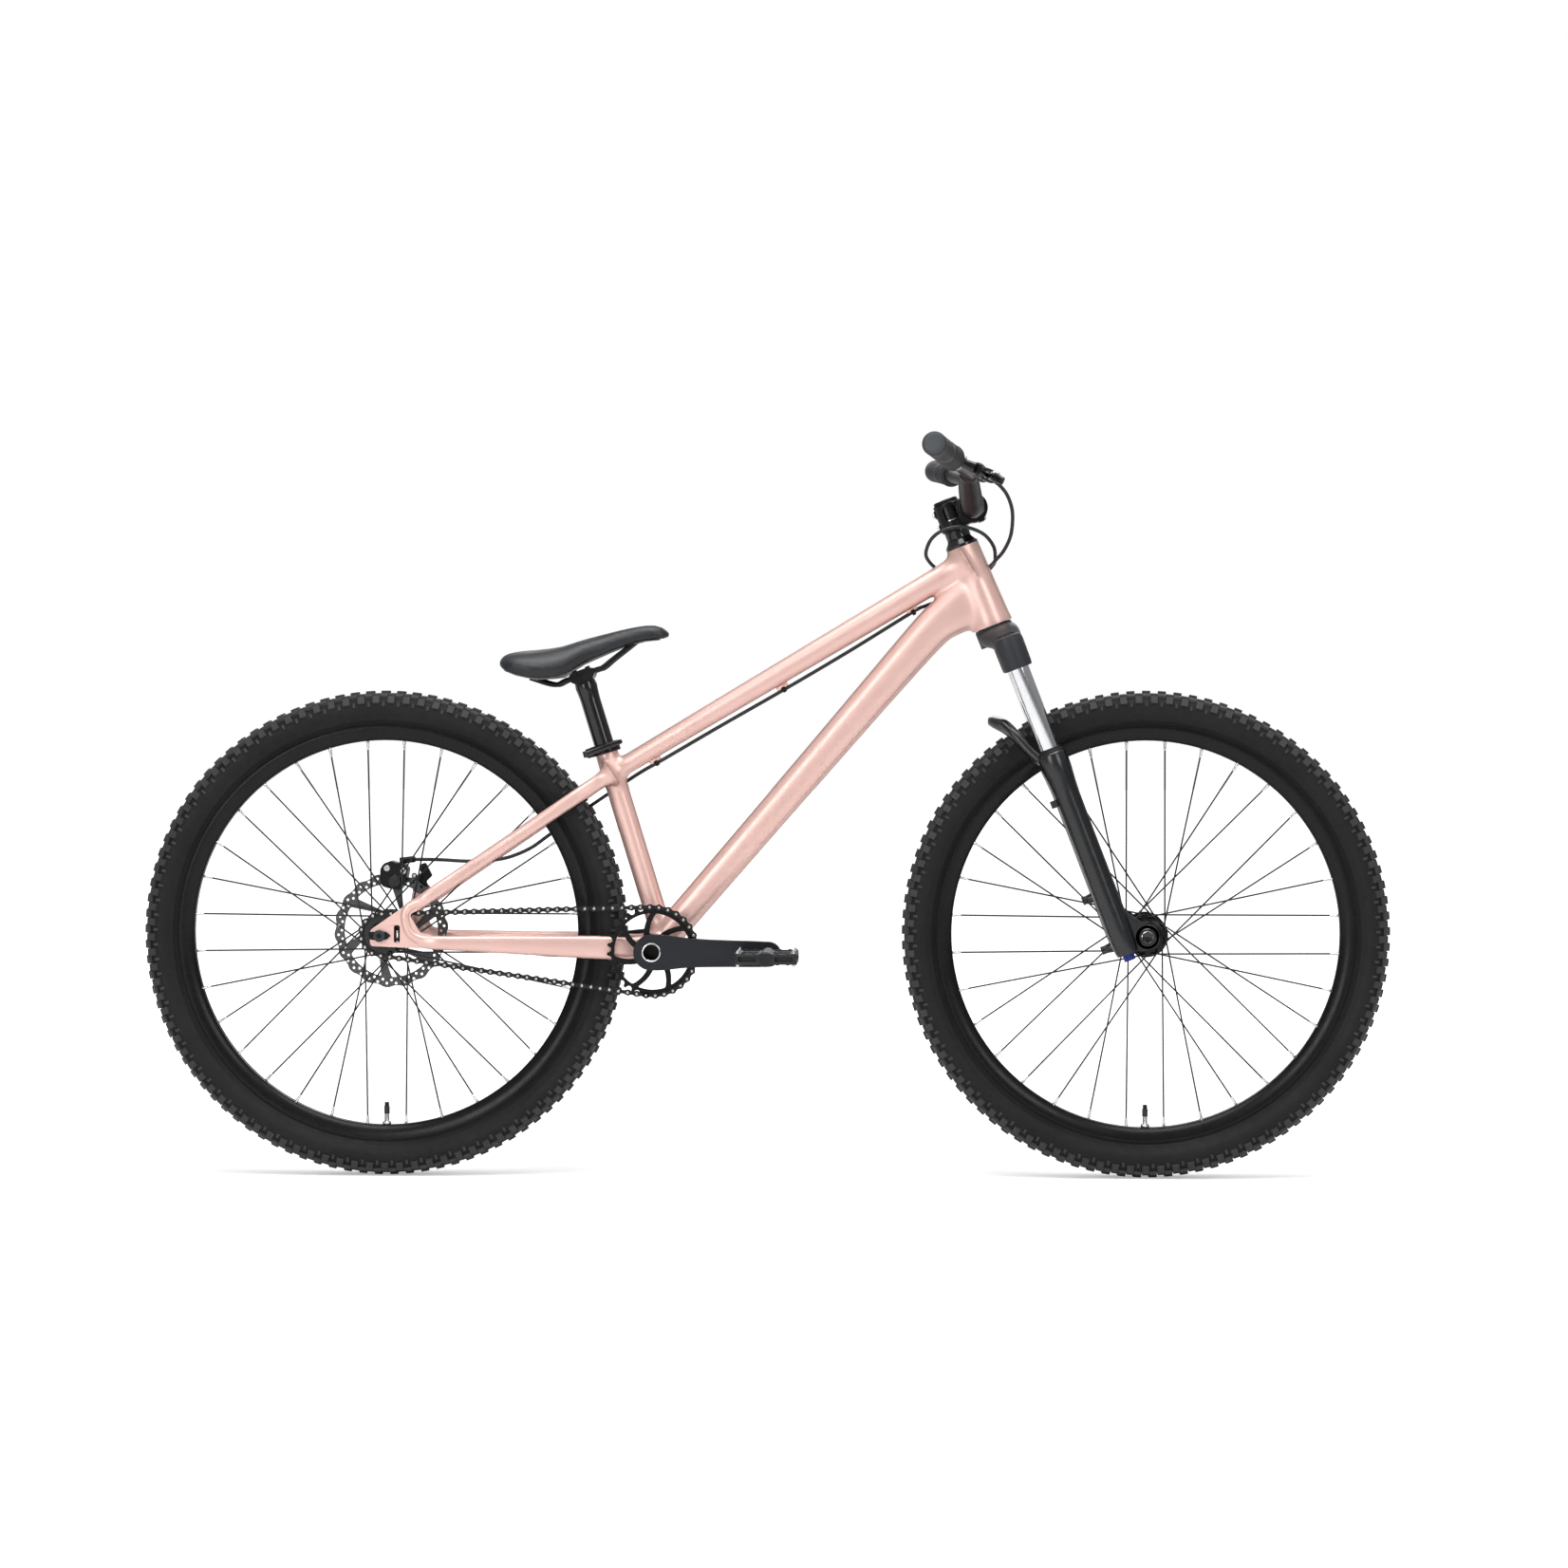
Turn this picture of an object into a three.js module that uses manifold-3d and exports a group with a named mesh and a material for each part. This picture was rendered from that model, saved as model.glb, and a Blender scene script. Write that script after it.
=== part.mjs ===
// Dirt jump bicycle: welded hardtail frame, suspension fork, one rear disc brake and one gear.
// Millimetres. +X is forward, +Y the rider's left and +Z up. The origin is on the ground halfway
// between the two axles. Steering parts are drawn along the steering axis, seat parts along the
// seat tube and wheels about their axles.
import * as THREE from 'three';
import { mergeVertices } from 'three/addons/utils/BufferGeometryUtils.js';
import Module from 'manifold-3d';

const wasm = await Module();
wasm.setup();

const degree = Math.PI / 180;
const fullTurn = 2 * Math.PI;

// Clearances
const gap = 0.3; // between pieces that touch
const overrun = 6; // how far a cutter passes the face that it cuts

// Driving sizes of the bicycle
const wheelbase = 1048;
const tyreRadius = 335;
const tyreToBracket = 38; // from the tyre's edge to the bottom bracket's centre
const bracketDrop = 22; // bottom bracket below the axles
const headAngle = 69 * degree;
const seatAngle = 73 * degree;
const forkOffset = 44; // front axle ahead of the steering axis

// Stations along the steering axis, from the foot of the front axle's offset
const headTubeFoot = 471.6;
const headTubeLength = 116;
const headTubeTop = headTubeFoot + headTubeLength;
const spacerTop = headTubeTop + 24.4;
const stemHeight = 40;
const stemTop = spacerTop + stemHeight;
const forkTravel = 100;

// Wheels
const tyreWidth = 56;
const treadThickness = 6;
const casingThickness = 4;
const rimRadius = 285.4;
const rimInnerRadius = 266.3;
const rimWidth = 30;
const rimFlange = 2.5;
const rimDepthToFloor = 8.4;
const rimNoseHalf = 8;
const beadWidth = 3.7;
const beadDepth = 5.9;
const valveRadius = 3;
const valveBore = 1.2;
const valveReach = 31; // from the rim's inner edge towards the axle
const tubeWall = 1.2;
const spokeSize = 1.9;
const spokesPerSide = 16;
const spokeCrossings = 3;
const spokeHoleCircle = 26;
const spokeLift = 2.5; // spoke bed above the flange's face
const spokeRimOffset = 4;
const spokeLayerShare = 0.9; // of a spoke's size, between the two layers that cross
const wheelSides = 24;
const hubSides = 14;
const boltSides = 8;

// Rear hub, axle and brake disc
const rearSpacing = 135; // between the dropouts
const rearAxleRadius = 5;
const rearHubHalf = 57;
const rearFlangeLeft = 30;
const rearFlangeRight = -33;
const flangeThickness = 3;
const flangeFillet = 2;
const rearFlangeRadius = 29;
const hubShellRadius = 16;
const driverRadius = 17;
const discSeatRadius = 22;
const discSeatOuter = 27;
const discCentreRadius = 17;
const discPlane = 52;
const discThickness = 1.8;
const discRadius = 80;
const lockNutRadius = 8;

// Front hub and axle
const frontSpacing = 110; // between the fork ends
const frontAxleRadius = 10;
const frontHubHalf = 54.7;
const frontFlangeLeft = 27;
const frontFlangeRight = -35;
const frontDiscFace = 42;
const frontBarrelWall = 5;
const frontFlangeRadius = 29.6;
const frontShellRadius = 18;

// Drivetrain
const linkPitch = 12.7;
const ringTeeth = 30;
const cogTeeth = 14;
const chainLine = 52; // chain's middle, right of the centre plane
const chainWidth = 7.6;
const chainHalfHeight = 4.2;
const toothThickness = 2.2;
const toothHeight = 2.1;
const toothRoot = 3.15; // tooth's valley inside the pitch circle
const channelWidth = toothThickness + 2 * gap;
const channelDepth = toothHeight + 2 * gap;
const crankLength = 160;
const crankDrop = 0.8 * degree; // right crank below the level
const crankInner = 64; // arm's inner face from the centre plane
const crankThickness = 15;
const crankHubRadius = 24.5;
const crankEndRadius = 17;
const spindleRadius = 12;

// Bottom bracket
const shellHalf = 36.5;
const shellRadius = 21.5;
const shellBore = 17;
const cupReach = 46.6;
const threadDepth = 15;

// Frame tubes
const headRadiusFoot = 28.5;
const headRadiusTop = 23;
const seatTubeRadius = 15.9;
const seatTubeLength = 291;
const seatTubeAhead = 15.5; // seat tube's axis ahead of the bottom bracket's centre
const dropoutThickness = 6;
const dropoutInner = rearSpacing / 2;

// Seatpost and saddle rails
const seatpostRadius = 13.6;
const seatpostShown = 100; // from the seat tube's top to the rails
const seatpostHead = seatTubeLength + seatpostShown;
const railTilt = 19.6 * degree;
const railRadius = 3.5;
const railHalfSpacing = 22;

// Fork
const stanchionRadius = 14;
const stanchionSpacing = 130;
const stanchionAhead = 11;
const crownTop = 468;
const crownFoot = 444;
const bossTop = 441;
const bossFoot = 404;
const lowersTop = 281;
const steererRadius = 14.3;
const steererFootRadius = 19.8;

// Cockpit
const barClampReach = 32;
const barClampHeight = spacerTop + stemHeight / 2;
const barClampRadius = 15.9;
const barRadius = 11.1;
const barHalfWidth = 380;
const gripLength = 134;
const gripRadius = 15.4;

// Derived places
const chainstayLength = tyreRadius + tyreToBracket;
const chainstayRun = Math.sqrt(chainstayLength ** 2 - bracketDrop ** 2);
const rearAxle = new THREE.Vector3(-wheelbase / 2, 0, tyreRadius);
const frontAxle = new THREE.Vector3(wheelbase / 2, 0, tyreRadius);
const bracket = new THREE.Vector3(rearAxle.x + chainstayRun, 0, tyreRadius - bracketDrop);
const steerUp = new THREE.Vector3(-Math.cos(headAngle), 0, Math.sin(headAngle));
const steerAhead = new THREE.Vector3(Math.sin(headAngle), 0, Math.cos(headAngle));
const steerFoot = frontAxle.clone().addScaledVector(steerAhead, -forkOffset);
const seatUp = new THREE.Vector3(-Math.cos(seatAngle), 0, Math.sin(seatAngle));
const seatAhead = new THREE.Vector3(Math.sin(seatAngle), 0, Math.cos(seatAngle));
const seatFoot = bracket.clone().addScaledVector(seatAhead, seatTubeAhead);
const lateral = new THREE.Vector3(0, 1, 0);
const forward = new THREE.Vector3(1, 0, 0);
const upward = new THREE.Vector3(0, 0, 1);
const ringPitchRadius = linkPitch / (2 * Math.sin(Math.PI / ringTeeth));
const cogPitchRadius = linkPitch / (2 * Math.sin(Math.PI / cogTeeth));
const facetGrowth = 1 / Math.cos(Math.PI / wheelSides); // puts a wheel's flats on its radius
const boreGrowth = 1 / Math.cos(Math.PI / hubSides); // the same for a bore round a turned part

// Materials
function finish(colour, roughness, metalness) {
  return new THREE.MeshStandardMaterial({ color: colour, roughness, metalness });
}

const paint = finish(0xe3b9ae, 0.4, 0.5);
const blackPaint = finish(0x1c1d1f, 0.45, 0.3);
const greyCast = finish(0x3a3d40, 0.5, 0.4);
const darkAlloy = finish(0x24272c, 0.35, 0.6);
const chrome = finish(0xd8dade, 0.1, 1);
const steel = finish(0x8b8c8e, 0.35, 0.9);
const chainSteel = finish(0x3c3b3d, 0.4, 0.8);
const rubber = finish(0x1b1b1c, 0.85, 0);
const gripRubber = finish(0x4a4b4e, 0.8, 0);
const plastic = finish(0x26272a, 0.6, 0);
const saddleCover = finish(0x24272c, 0.6, 0);
const barAlloy = finish(0x2b2425, 0.4, 0.4);
const blueKnob = finish(0x2b3f8c, 0.4, 0.3);

// Building blocks

function along(start, direction, distance) {
  return start.clone().addScaledVector(direction, distance);
}

function between(start, end, share) {
  return new THREE.Vector3().lerpVectors(start, end, share);
}

// Turns a closed surface's faces outward.
function facingOut(geometry) {
  const position = geometry.attributes.position;
  const index = geometry.index;
  const a = new THREE.Vector3();
  const b = new THREE.Vector3();
  const c = new THREE.Vector3();
  let volume = 0;
  for (let i = 0; i < index.count; i += 3) {
    a.fromBufferAttribute(position, index.getX(i));
    b.fromBufferAttribute(position, index.getX(i + 1));
    c.fromBufferAttribute(position, index.getX(i + 2));
    volume += a.dot(b.cross(c));
  }
  if (volume < 0) {
    for (let i = 0; i < index.count; i += 3) {
      const kept = index.getX(i);
      index.setX(i, index.getX(i + 1));
      index.setX(i + 1, kept);
    }
  }
  return geometry;
}

// Keeps only the corners, shared by the faces that meet there, and leaves out faces of no size.
function closed(geometry) {
  const bare = geometry.clone();
  bare.deleteAttribute('normal');
  bare.deleteAttribute('uv');
  const shape = mergeVertices(bare);
  const corners = Array.from(shape.index.array);
  const kept = [];
  for (let i = 0; i < corners.length; i += 3) {
    const [a, b, c] = corners.slice(i, i + 3);
    if (a !== b && b !== c && c !== a) {
      kept.push(a, b, c);
    }
  }
  shape.setIndex(kept);
  return facingOut(shape);
}

function solidOf(geometry) {
  const shape = closed(geometry);
  return new wasm.Manifold(new wasm.Mesh({
    numProp: 3,
    vertProperties: new Float32Array(shape.attributes.position.array),
    triVerts: new Uint32Array(shape.index.array),
  }));
}

function geometryOf(solid) {
  const mesh = solid.getMesh();
  const geometry = new THREE.BufferGeometry();
  geometry.setAttribute('position', new THREE.BufferAttribute(mesh.vertProperties, 3));
  geometry.setIndex(new THREE.BufferAttribute(mesh.triVerts, 1));
  geometry.computeVertexNormals();
  return geometry;
}

function joined(geometries) {
  return geometries.map(solidOf).reduce((whole, piece) => whole.add(piece));
}

function cutBy(geometry, cutters) {
  return geometryOf(cutters.reduce((rest, cutter) => rest.subtract(solidOf(cutter)), solidOf(geometry)));
}

// A ring-shaped or round solid about Y from [radius, y] corners; the outline closes on itself.
function turned(corners, sides) {
  const outline = corners.map(([radius, y]) => new THREE.Vector2(radius, y));
  outline.push(outline[0].clone());
  return new THREE.LatheGeometry(outline, sides);
}

// The same about Z.
function turnedUp(corners, sides) {
  return turned(corners, sides).rotateX(Math.PI / 2);
}

function rod(radius, start, end, sides) {
  const axis = end.clone().sub(start);
  const turn = new THREE.Quaternion().setFromUnitVectors(lateral, axis.clone().normalize());
  const geometry = new THREE.CylinderGeometry(radius, radius, axis.length(), sides);
  geometry.applyQuaternion(turn);
  const middle = between(start, end, 0.5);
  return geometry.translate(middle.x, middle.y, middle.z);
}

// A flat plate whose outline is given as [x, z] corners, between two planes across Y.
function plate(corners, low, high, holes = []) {
  const shape = new THREE.Shape(corners.map(([x, z]) => new THREE.Vector2(x, z)));
  for (const hole of holes) {
    shape.holes.push(new THREE.Path(hole.map(([x, z]) => new THREE.Vector2(x, z))));
  }
  const geometry = new THREE.ExtrudeGeometry(shape, { depth: high - low, bevelEnabled: false });
  return geometry.rotateX(Math.PI / 2).translate(0, high, 0);
}

function circle(radius, centreX, centreZ, sides, phase = 0) {
  const corners = [];
  for (let i = 0; i < sides; i += 1) {
    const angle = phase + fullTurn * i / sides;
    corners.push([centreX + radius * Math.cos(angle), centreZ + radius * Math.sin(angle)]);
  }
  return corners;
}

function block(lengthX, lengthY, lengthZ, x, y, z) {
  return new THREE.BoxGeometry(lengthX, lengthY, lengthZ).translate(x, y, z);
}

// Outline corners from shares of the size across and the size up.
function scaled(shares, across, up = across) {
  return shares.map(([x, z]) => [x * across, z * up]);
}

// A closed skin over rings that have the same number of points.
function loft(rings) {
  const sides = rings[0].length;
  const points = rings.flat().flatMap((point) => [point.x, point.y, point.z]);
  const faces = [];
  for (let ring = 0; ring < rings.length - 1; ring += 1) {
    for (let side = 0; side < sides; side += 1) {
      const next = (side + 1) % sides;
      const a = ring * sides + side;
      const b = ring * sides + next;
      faces.push(a, b, b + sides, a, b + sides, a + sides);
    }
  }
  const last = (rings.length - 1) * sides;
  for (let side = 1; side < sides - 1; side += 1) {
    faces.push(0, side + 1, side, last, last + side, last + side + 1);
  }
  const geometry = new THREE.BufferGeometry();
  geometry.setAttribute('position', new THREE.Float32BufferAttribute(points, 3));
  geometry.setIndex(faces);
  return facingOut(geometry);
}

// A rounded ring; squareness 2 is an ellipse and more is boxier.
function ovalRing(centre, across, up, width, height, sides, squareness = 2) {
  const ring = [];
  for (let i = 0; i < sides; i += 1) {
    const angle = fullTurn * (i + 0.5) / sides;
    const c = Math.cos(angle);
    const s = Math.sin(angle);
    const x = Math.sign(c) * Math.abs(c) ** (2 / squareness) * width / 2;
    const y = Math.sign(s) * Math.abs(s) ** (2 / squareness) * height / 2;
    ring.push(along(along(centre, across, x), up, y));
  }
  return ring;
}

// A tube through stations { at, width, height }; side is the direction that width runs near.
function tube(stations, side, sides, squareness = 2) {
  const rings = stations.map((station, i) => {
    const before = stations[Math.max(i - 1, 0)].at;
    const after = stations[Math.min(i + 1, stations.length - 1)].at;
    const run = after.clone().sub(before).normalize();
    const up = station.up ?? new THREE.Vector3().crossVectors(run, side).normalize();
    const across = station.up ? side : new THREE.Vector3().crossVectors(up, run);
    return ovalRing(station.at, across, up, station.width, station.height, sides, squareness);
  });
  return loft(rings);
}

// A round cord through points that are listed by hand.
function cord(points, radius, sides, steps) {
  const path = new THREE.CatmullRomCurve3(points, false, 'centripetal');
  const section = new THREE.Shape(circle(radius, 0, 0, sides).map(([x, y]) => new THREE.Vector2(x, y)));
  return new THREE.ExtrudeGeometry(section, { steps, extrudePath: path, bevelEnabled: false });
}

// Whole bicycle and its turned frames of reference
const bicycle = new THREE.Group();

function subGroup(origin, tilt) {
  const group = new THREE.Group();
  group.position.copy(origin);
  group.rotation.y = tilt;
  bicycle.add(group);
  return group;
}

const steering = subGroup(steerFoot, headAngle - Math.PI / 2);
const seat = subGroup(seatFoot, seatAngle - Math.PI / 2);
const rearWheel = subGroup(rearAxle, 0);
const frontWheel = subGroup(frontAxle, 0);
const drive = subGroup(bracket, 0);

function add(group, name, geometry, material) {
  const mesh = new THREE.Mesh(geometry, material);
  mesh.name = name;
  group.add(mesh);
}

function inSteeringFrame(geometry) {
  return geometry.rotateY(headAngle - Math.PI / 2).translate(steerFoot.x, steerFoot.y, steerFoot.z);
}

function inSeatFrame(geometry) {
  return geometry.rotateY(seatAngle - Math.PI / 2).translate(seatFoot.x, seatFoot.y, seatFoot.z);
}

// Frame: head tube and headset
const lowerBearingRadius = 26;
const upperBearingRadius = 20.9;
const bearingHeight = 8;
const headBoreRadius = 22.4;
const headUpperBore = 18.4;
const headSides = 18;

function headTubeOuter(extra) {
  return [
    [0, headTubeFoot - extra],
    [headRadiusFoot + extra, headTubeFoot - extra],
    [headRadiusTop + extra, headTubeTop + extra],
    [0, headTubeTop + extra],
  ];
}

function headTubeCutter() {
  const slope = (headRadiusFoot - headRadiusTop) / headTubeLength;
  const corners = [
    [0, headTubeFoot - overrun],
    [headRadiusFoot + gap + slope * overrun, headTubeFoot - overrun],
    [headRadiusTop + gap - slope * overrun, headTubeTop + overrun],
    [0, headTubeTop + overrun],
  ];
  return inSteeringFrame(turnedUp(corners, headSides));
}

function headTube() {
  const shoulder = bearingHeight + gap;
  const bore = turnedUp([
    [0, headTubeFoot - overrun],
    [lowerBearingRadius + gap, headTubeFoot - overrun],
    [lowerBearingRadius + gap, headTubeFoot + shoulder],
    [headBoreRadius, headTubeFoot + shoulder],
    [headUpperBore, headTubeTop - shoulder],
    [upperBearingRadius + gap, headTubeTop - shoulder],
    [upperBearingRadius + gap, headTubeTop + overrun],
    [0, headTubeTop + overrun],
  ], headSides);
  return cutBy(turnedUp(headTubeOuter(0), headSides), [bore]);
}

function bearing(outer, inner, foot) {
  return closed(turnedUp([
    [inner, foot],
    [outer, foot],
    [outer, foot + bearingHeight - gap],
    [inner, foot + bearingHeight - gap],
  ], headSides));
}

// Frame: main tubes
const topTubeAtHead = 566; // along the steering axis
const topTubeBelowTop = 41; // below the seat tube's top
const topTubeAtSeat = seatTubeLength - topTubeBelowTop;
const downTubeAtHead = 541;
const tubeSides = 12;

const topTubeSize = 34; // at the head tube
const topTubeSquareness = 2.3;

// Share of the length from the head, then shares of the size for the depth and the width
const topTubeShares = [
  [0, 1, 1], [0.12, 0.94, 0.97], [0.5, 0.84, 0.88], [0.9, 0.735, 0.794], [1, 0.706, 0.794],
];

const downTubeDepth = 40; // at the bottom bracket
const downTubeWidth = 46;
const downTubeSquareness = 2.4;
const downTubeMouthLevel = headTubeFoot + 47.4;
const downTubeMouthDepth = 86;
const downTubeMouthWidth = 42;

// Share of the length from the bottom bracket, then shares of the depth and the width, and the
// drop below the straight line as a share of the depth
const downTubeShares = [
  [0, 1, 1, 0], [0.25, 1.05, 0.957, 0], [0.5, 1.1125, 0.913, 0],
  [0.72, 1.2, 0.913, 0], [0.86, 1.3, 0.935, 0.025], [0.905, 1.45, 0.935, 0.15],
];

function topTubeEnds() {
  return [along(steerFoot, steerUp, topTubeAtHead), along(seatFoot, seatUp, topTubeAtSeat)];
}

function downTubeBlank(extra) {
  const head = along(steerFoot, steerUp, downTubeAtHead);
  const run = head.clone().sub(bracket).normalize();
  const below = new THREE.Vector3().crossVectors(lateral, run).negate();
  const down = below.z < 0 ? below : below.negate();
  const stations = downTubeShares.map(([share, depth, width, drop]) => ({
    at: along(between(bracket, head, share), down, drop * downTubeDepth),
    width: width * downTubeWidth + 2 * extra,
    height: depth * downTubeDepth + 2 * extra,
  }));
  stations.push({
    at: along(steerFoot, steerUp, downTubeMouthLevel),
    width: downTubeMouthWidth + 2 * extra,
    height: downTubeMouthDepth + 2 * extra,
    up: steerUp,
  });
  return tube(stations, lateral, tubeSides, downTubeSquareness);
}

function seatTubeCutter() {
  const radius = seatTubeRadius + gap;
  return inSeatFrame(rod(
    radius,
    new THREE.Vector3(0, 0, -overrun),
    new THREE.Vector3(0, 0, seatTubeLength + overrun),
    hubSides,
  ));
}

function bracketCutter() {
  return rod(
    shellRadius + gap,
    new THREE.Vector3(bracket.x, -cupReach - overrun, bracket.z),
    new THREE.Vector3(bracket.x, cupReach + overrun, bracket.z),
    hubSides,
  );
}

// Bosses under the top tube that hold the brake hose: share from the head, and the hose's
// distance below the tube's axis as a share of the tube's size
const hoseRadius = 2.5;
const hoseBossShares = [[0.176, 0.615], [0.54, 0.6235], [0.896, 0.55]];
const hoseBossLength = 9;
const hoseBossWidth = 6;

function hoseBoss([share, drop]) {
  const [head, end] = topTubeEnds();
  const run = end.clone().sub(head);
  const reach = drop * topTubeSize - hoseRadius - gap;
  const angle = Math.atan2(run.z, -run.x);
  const boss = block(hoseBossLength, hoseBossWidth, reach, 0, 0, -reach / 2);
  const centre = between(head, end, share);
  return boss.rotateY(angle).translate(centre.x, centre.y, centre.z);
}

function topTube() {
  const [head, end] = topTubeEnds();
  const stations = topTubeShares.map(([share, depth, width]) => ({
    at: between(head, end, share),
    width: width * topTubeSize,
    height: depth * topTubeSize,
  }));
  const bosses = hoseBossShares.map(hoseBoss);
  const blank = tube(stations, lateral, tubeSides, topTubeSquareness);
  const whole = geometryOf(joined([blank, ...bosses]));
  return cutBy(whole, [headTubeCutter(), downTubeBlank(gap), seatTubeCutter()]);
}

function downTube() {
  return cutBy(downTubeBlank(0), [headTubeCutter(), bracketCutter()]);
}

function seatTube() {
  const outer = inSeatFrame(turnedUp([
    [0, 0],
    [seatTubeRadius, 0],
    [seatTubeRadius, seatTubeLength],
    [0, seatTubeLength],
  ], hubSides));
  const bore = inSeatFrame(rod(
    seatpostRadius + gap,
    new THREE.Vector3(0, 0, seatTubeLength - seatpostInsertion - gap),
    new THREE.Vector3(0, 0, seatTubeLength + overrun),
    hubSides,
  ));
  return cutBy(outer, [bore, downTubeBlank(gap), bracketCutter()]);
}

function bracketShell() {
  return closed(turned([
    [shellBore, -shellHalf],
    [shellRadius, -shellHalf],
    [shellRadius, shellHalf],
    [shellBore, shellHalf],
  ], hubSides));
}

// Frame: rear triangle
const stayWidth = 14;
const stayOut = dropoutInner + dropoutThickness / 2; // at the dropouts, from the centre plane
const staySquareness = 2.6;
const axleSlotHeight = rearAxleRadius + gap; // half

// Chainstay: its ends from the bracket's centre and from the rear axle, and its depth in front
const chainstayRootBack = 8;
const chainstayRootRise = 2;
const chainstayTipAhead = 66;
const chainstayTipDrop = 9;
const chainstayDepth = 36;

// Share of the length from the front, then of the depth and of the distance out
const chainstayShares = [
  [0, 1, 0.418], [0.12, 0.944, 0.533], [0.3, 0.889, 0.596],
  [0.7, 0.694, 0.809], [0.93, 0.569, 1], [1, 0.556, 1],
];

const seatstayTipAhead = 55;
const seatstayTipRise = 45.6;
const seatstayDepth = 22;
const seatstayShares = [
  [0, 1, 0.332], [0.1, 0.955, 0.418], [0.2, 0.932, 0.546], [0.35, 0.909, 0.638],
  [0.7, 0.886, 0.752], [0.93, 0.864, 1], [1, 0.841, 1],
];

// The flat dropout, as shares of its reach ahead of the rear axle
const dropoutReach = 72;
const dropoutShares = [
  [-0.194, 0.097], [0.333, 0.465], [0.694, 0.729], [0.819, 0.528], [0.569, 0.403],
  [0.769, 0.056], [1, 0.021], [1, -0.25], [-0.181, -0.199],
];
const dropoutWindowShares = [[0.275, 0.09], [0.386, 0.09], [0.386, -0.132], [0.275, -0.132]];
const brakeTabShares = [
  [0.333, 0.444], [0.417, 0.889], [0.611, 0.958], [0.736, 0.833], [0.778, 0.611],
];
const dropoutCorners = scaled(dropoutShares, dropoutReach);
const dropoutWindow = scaled(dropoutWindowShares, dropoutReach);
const brakeTabCorners = scaled(brakeTabShares, dropoutReach);

function stayStations(shares, depth, start, end, side) {
  return shares.map(([share, deep, out]) => {
    const at = between(start, end, share);
    at.y = side * out * stayOut;
    return { at, width: stayWidth, height: deep * depth };
  });
}

function axleSlot(side) {
  const [tip] = dropoutCorners[0];
  const cutter = [
    [tip - overrun, -axleSlotHeight], [axleSlotHeight, -axleSlotHeight],
    [axleSlotHeight + axleSlotHeight, 0],
    [axleSlotHeight, axleSlotHeight], [tip - overrun, axleSlotHeight],
  ];
  return sidePlate(cutter, side, overrun);
}

// A plate in the dropouts' plane, given from the rear axle.
function sidePlate(corners, side, extra = 0) {
  const inner = dropoutInner - extra;
  const outer = dropoutInner + dropoutThickness + extra;
  const geometry = plate(corners, side > 0 ? inner : -outer, side > 0 ? outer : -inner);
  return geometry.translate(rearAxle.x, 0, rearAxle.z);
}

function chainstayBlank(side) {
  const start = new THREE.Vector3(bracket.x - chainstayRootBack, 0, bracket.z + chainstayRootRise);
  const end = new THREE.Vector3(rearAxle.x + chainstayTipAhead, 0, rearAxle.z - chainstayTipDrop);
  const stations = stayStations(chainstayShares, chainstayDepth, start, end, side);
  return tube(stations, lateral, tubeSides, staySquareness);
}

function chainstay(side) {
  const pieces = [chainstayBlank(side), sidePlate(dropoutCorners, side)];
  if (side > 0) {
    pieces.push(sidePlate(brakeTabCorners, side));
  }
  const window = sidePlate(dropoutWindow, side, overrun);
  return cutBy(geometryOf(joined(pieces)), [axleSlot(side), window, bracketCutter()]);
}

function seatstay(side) {
  const start = along(seatFoot, seatUp, topTubeAtSeat);
  const end = new THREE.Vector3(rearAxle.x + seatstayTipAhead, 0, rearAxle.z + seatstayTipRise);
  const stations = stayStations(seatstayShares, seatstayDepth, start, end, side);
  const blank = tube(stations, lateral, tubeSides, staySquareness);
  const cutters = [sidePlate(dropoutCorners, side, gap), seatTubeCutter()];
  if (side > 0) {
    cutters.push(sidePlate(brakeTabCorners, side, gap));
  }
  return cutBy(blank, cutters);
}

// Bottom bracket cup with its bearing; side is +1 on the left.
function bracketCup(side) {
  const thread = shellBore - gap;
  const flangeFoot = shellHalf + gap;
  const bore = (spindleRadius + gap) * boreGrowth;
  return closed(turned([
    [bore, side * (flangeFoot - threadDepth)],
    [thread, side * (flangeFoot - threadDepth)],
    [thread, side * flangeFoot],
    [shellRadius - gap, side * flangeFoot],
    [shellRadius - gap, side * cupReach],
    [bore, side * cupReach],
  ], hubSides));
}

// Seatpost, collar and saddle
const seatpostInsertion = 110;
const seatpostWall = 2.4;
const collarHeight = 14;
const collarWall = 4.2;
const collarDrop = 13; // collar's foot below the tube's top
const collarEarLength = 9;
const collarEarWidth = 18;
const collarSlot = 3;
const collarSkewerRadius = 2.5;
const collarSkewerReach = 3;
const leverPivotRadius = 5.5;
const leverLength = 52;
const leverThickness = 4;
const leverWidth = 9;
const leverTipRise = 3;
const leverShares = [0, 0.35, 0.7, 1]; // of its length
const leverBowShare = 0.2; // of its thickness
const leverTaperShare = 0.25; // of its width
const cradleLength = 38;
const cradleHalfWidth = 27;
const cradleDepth = 11;
const cradleTaper = 5;
const clampDepth = 7;

function seatpost() {
  const foot = seatTubeLength - seatpostInsertion;
  const neck = seatpostHead - cradleDepth / 2;
  const barrel = turnedUp([
    [0, foot],
    [seatpostRadius, foot],
    [seatpostRadius, neck],
    [0, neck],
  ], hubSides);
  const bore = turnedUp([
    [0, foot - overrun],
    [seatpostRadius - seatpostWall, foot - overrun],
    [seatpostRadius - seatpostWall, neck - cradleDepth],
    [0, neck - cradleDepth],
  ], hubSides);
  const hollow = cutBy(barrel, [bore]);
  return cutBy(geometryOf(joined([hollow, railBlock(-cradleDepth, 0)])), [railCutter(1), railCutter(-1)]);
}

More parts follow.
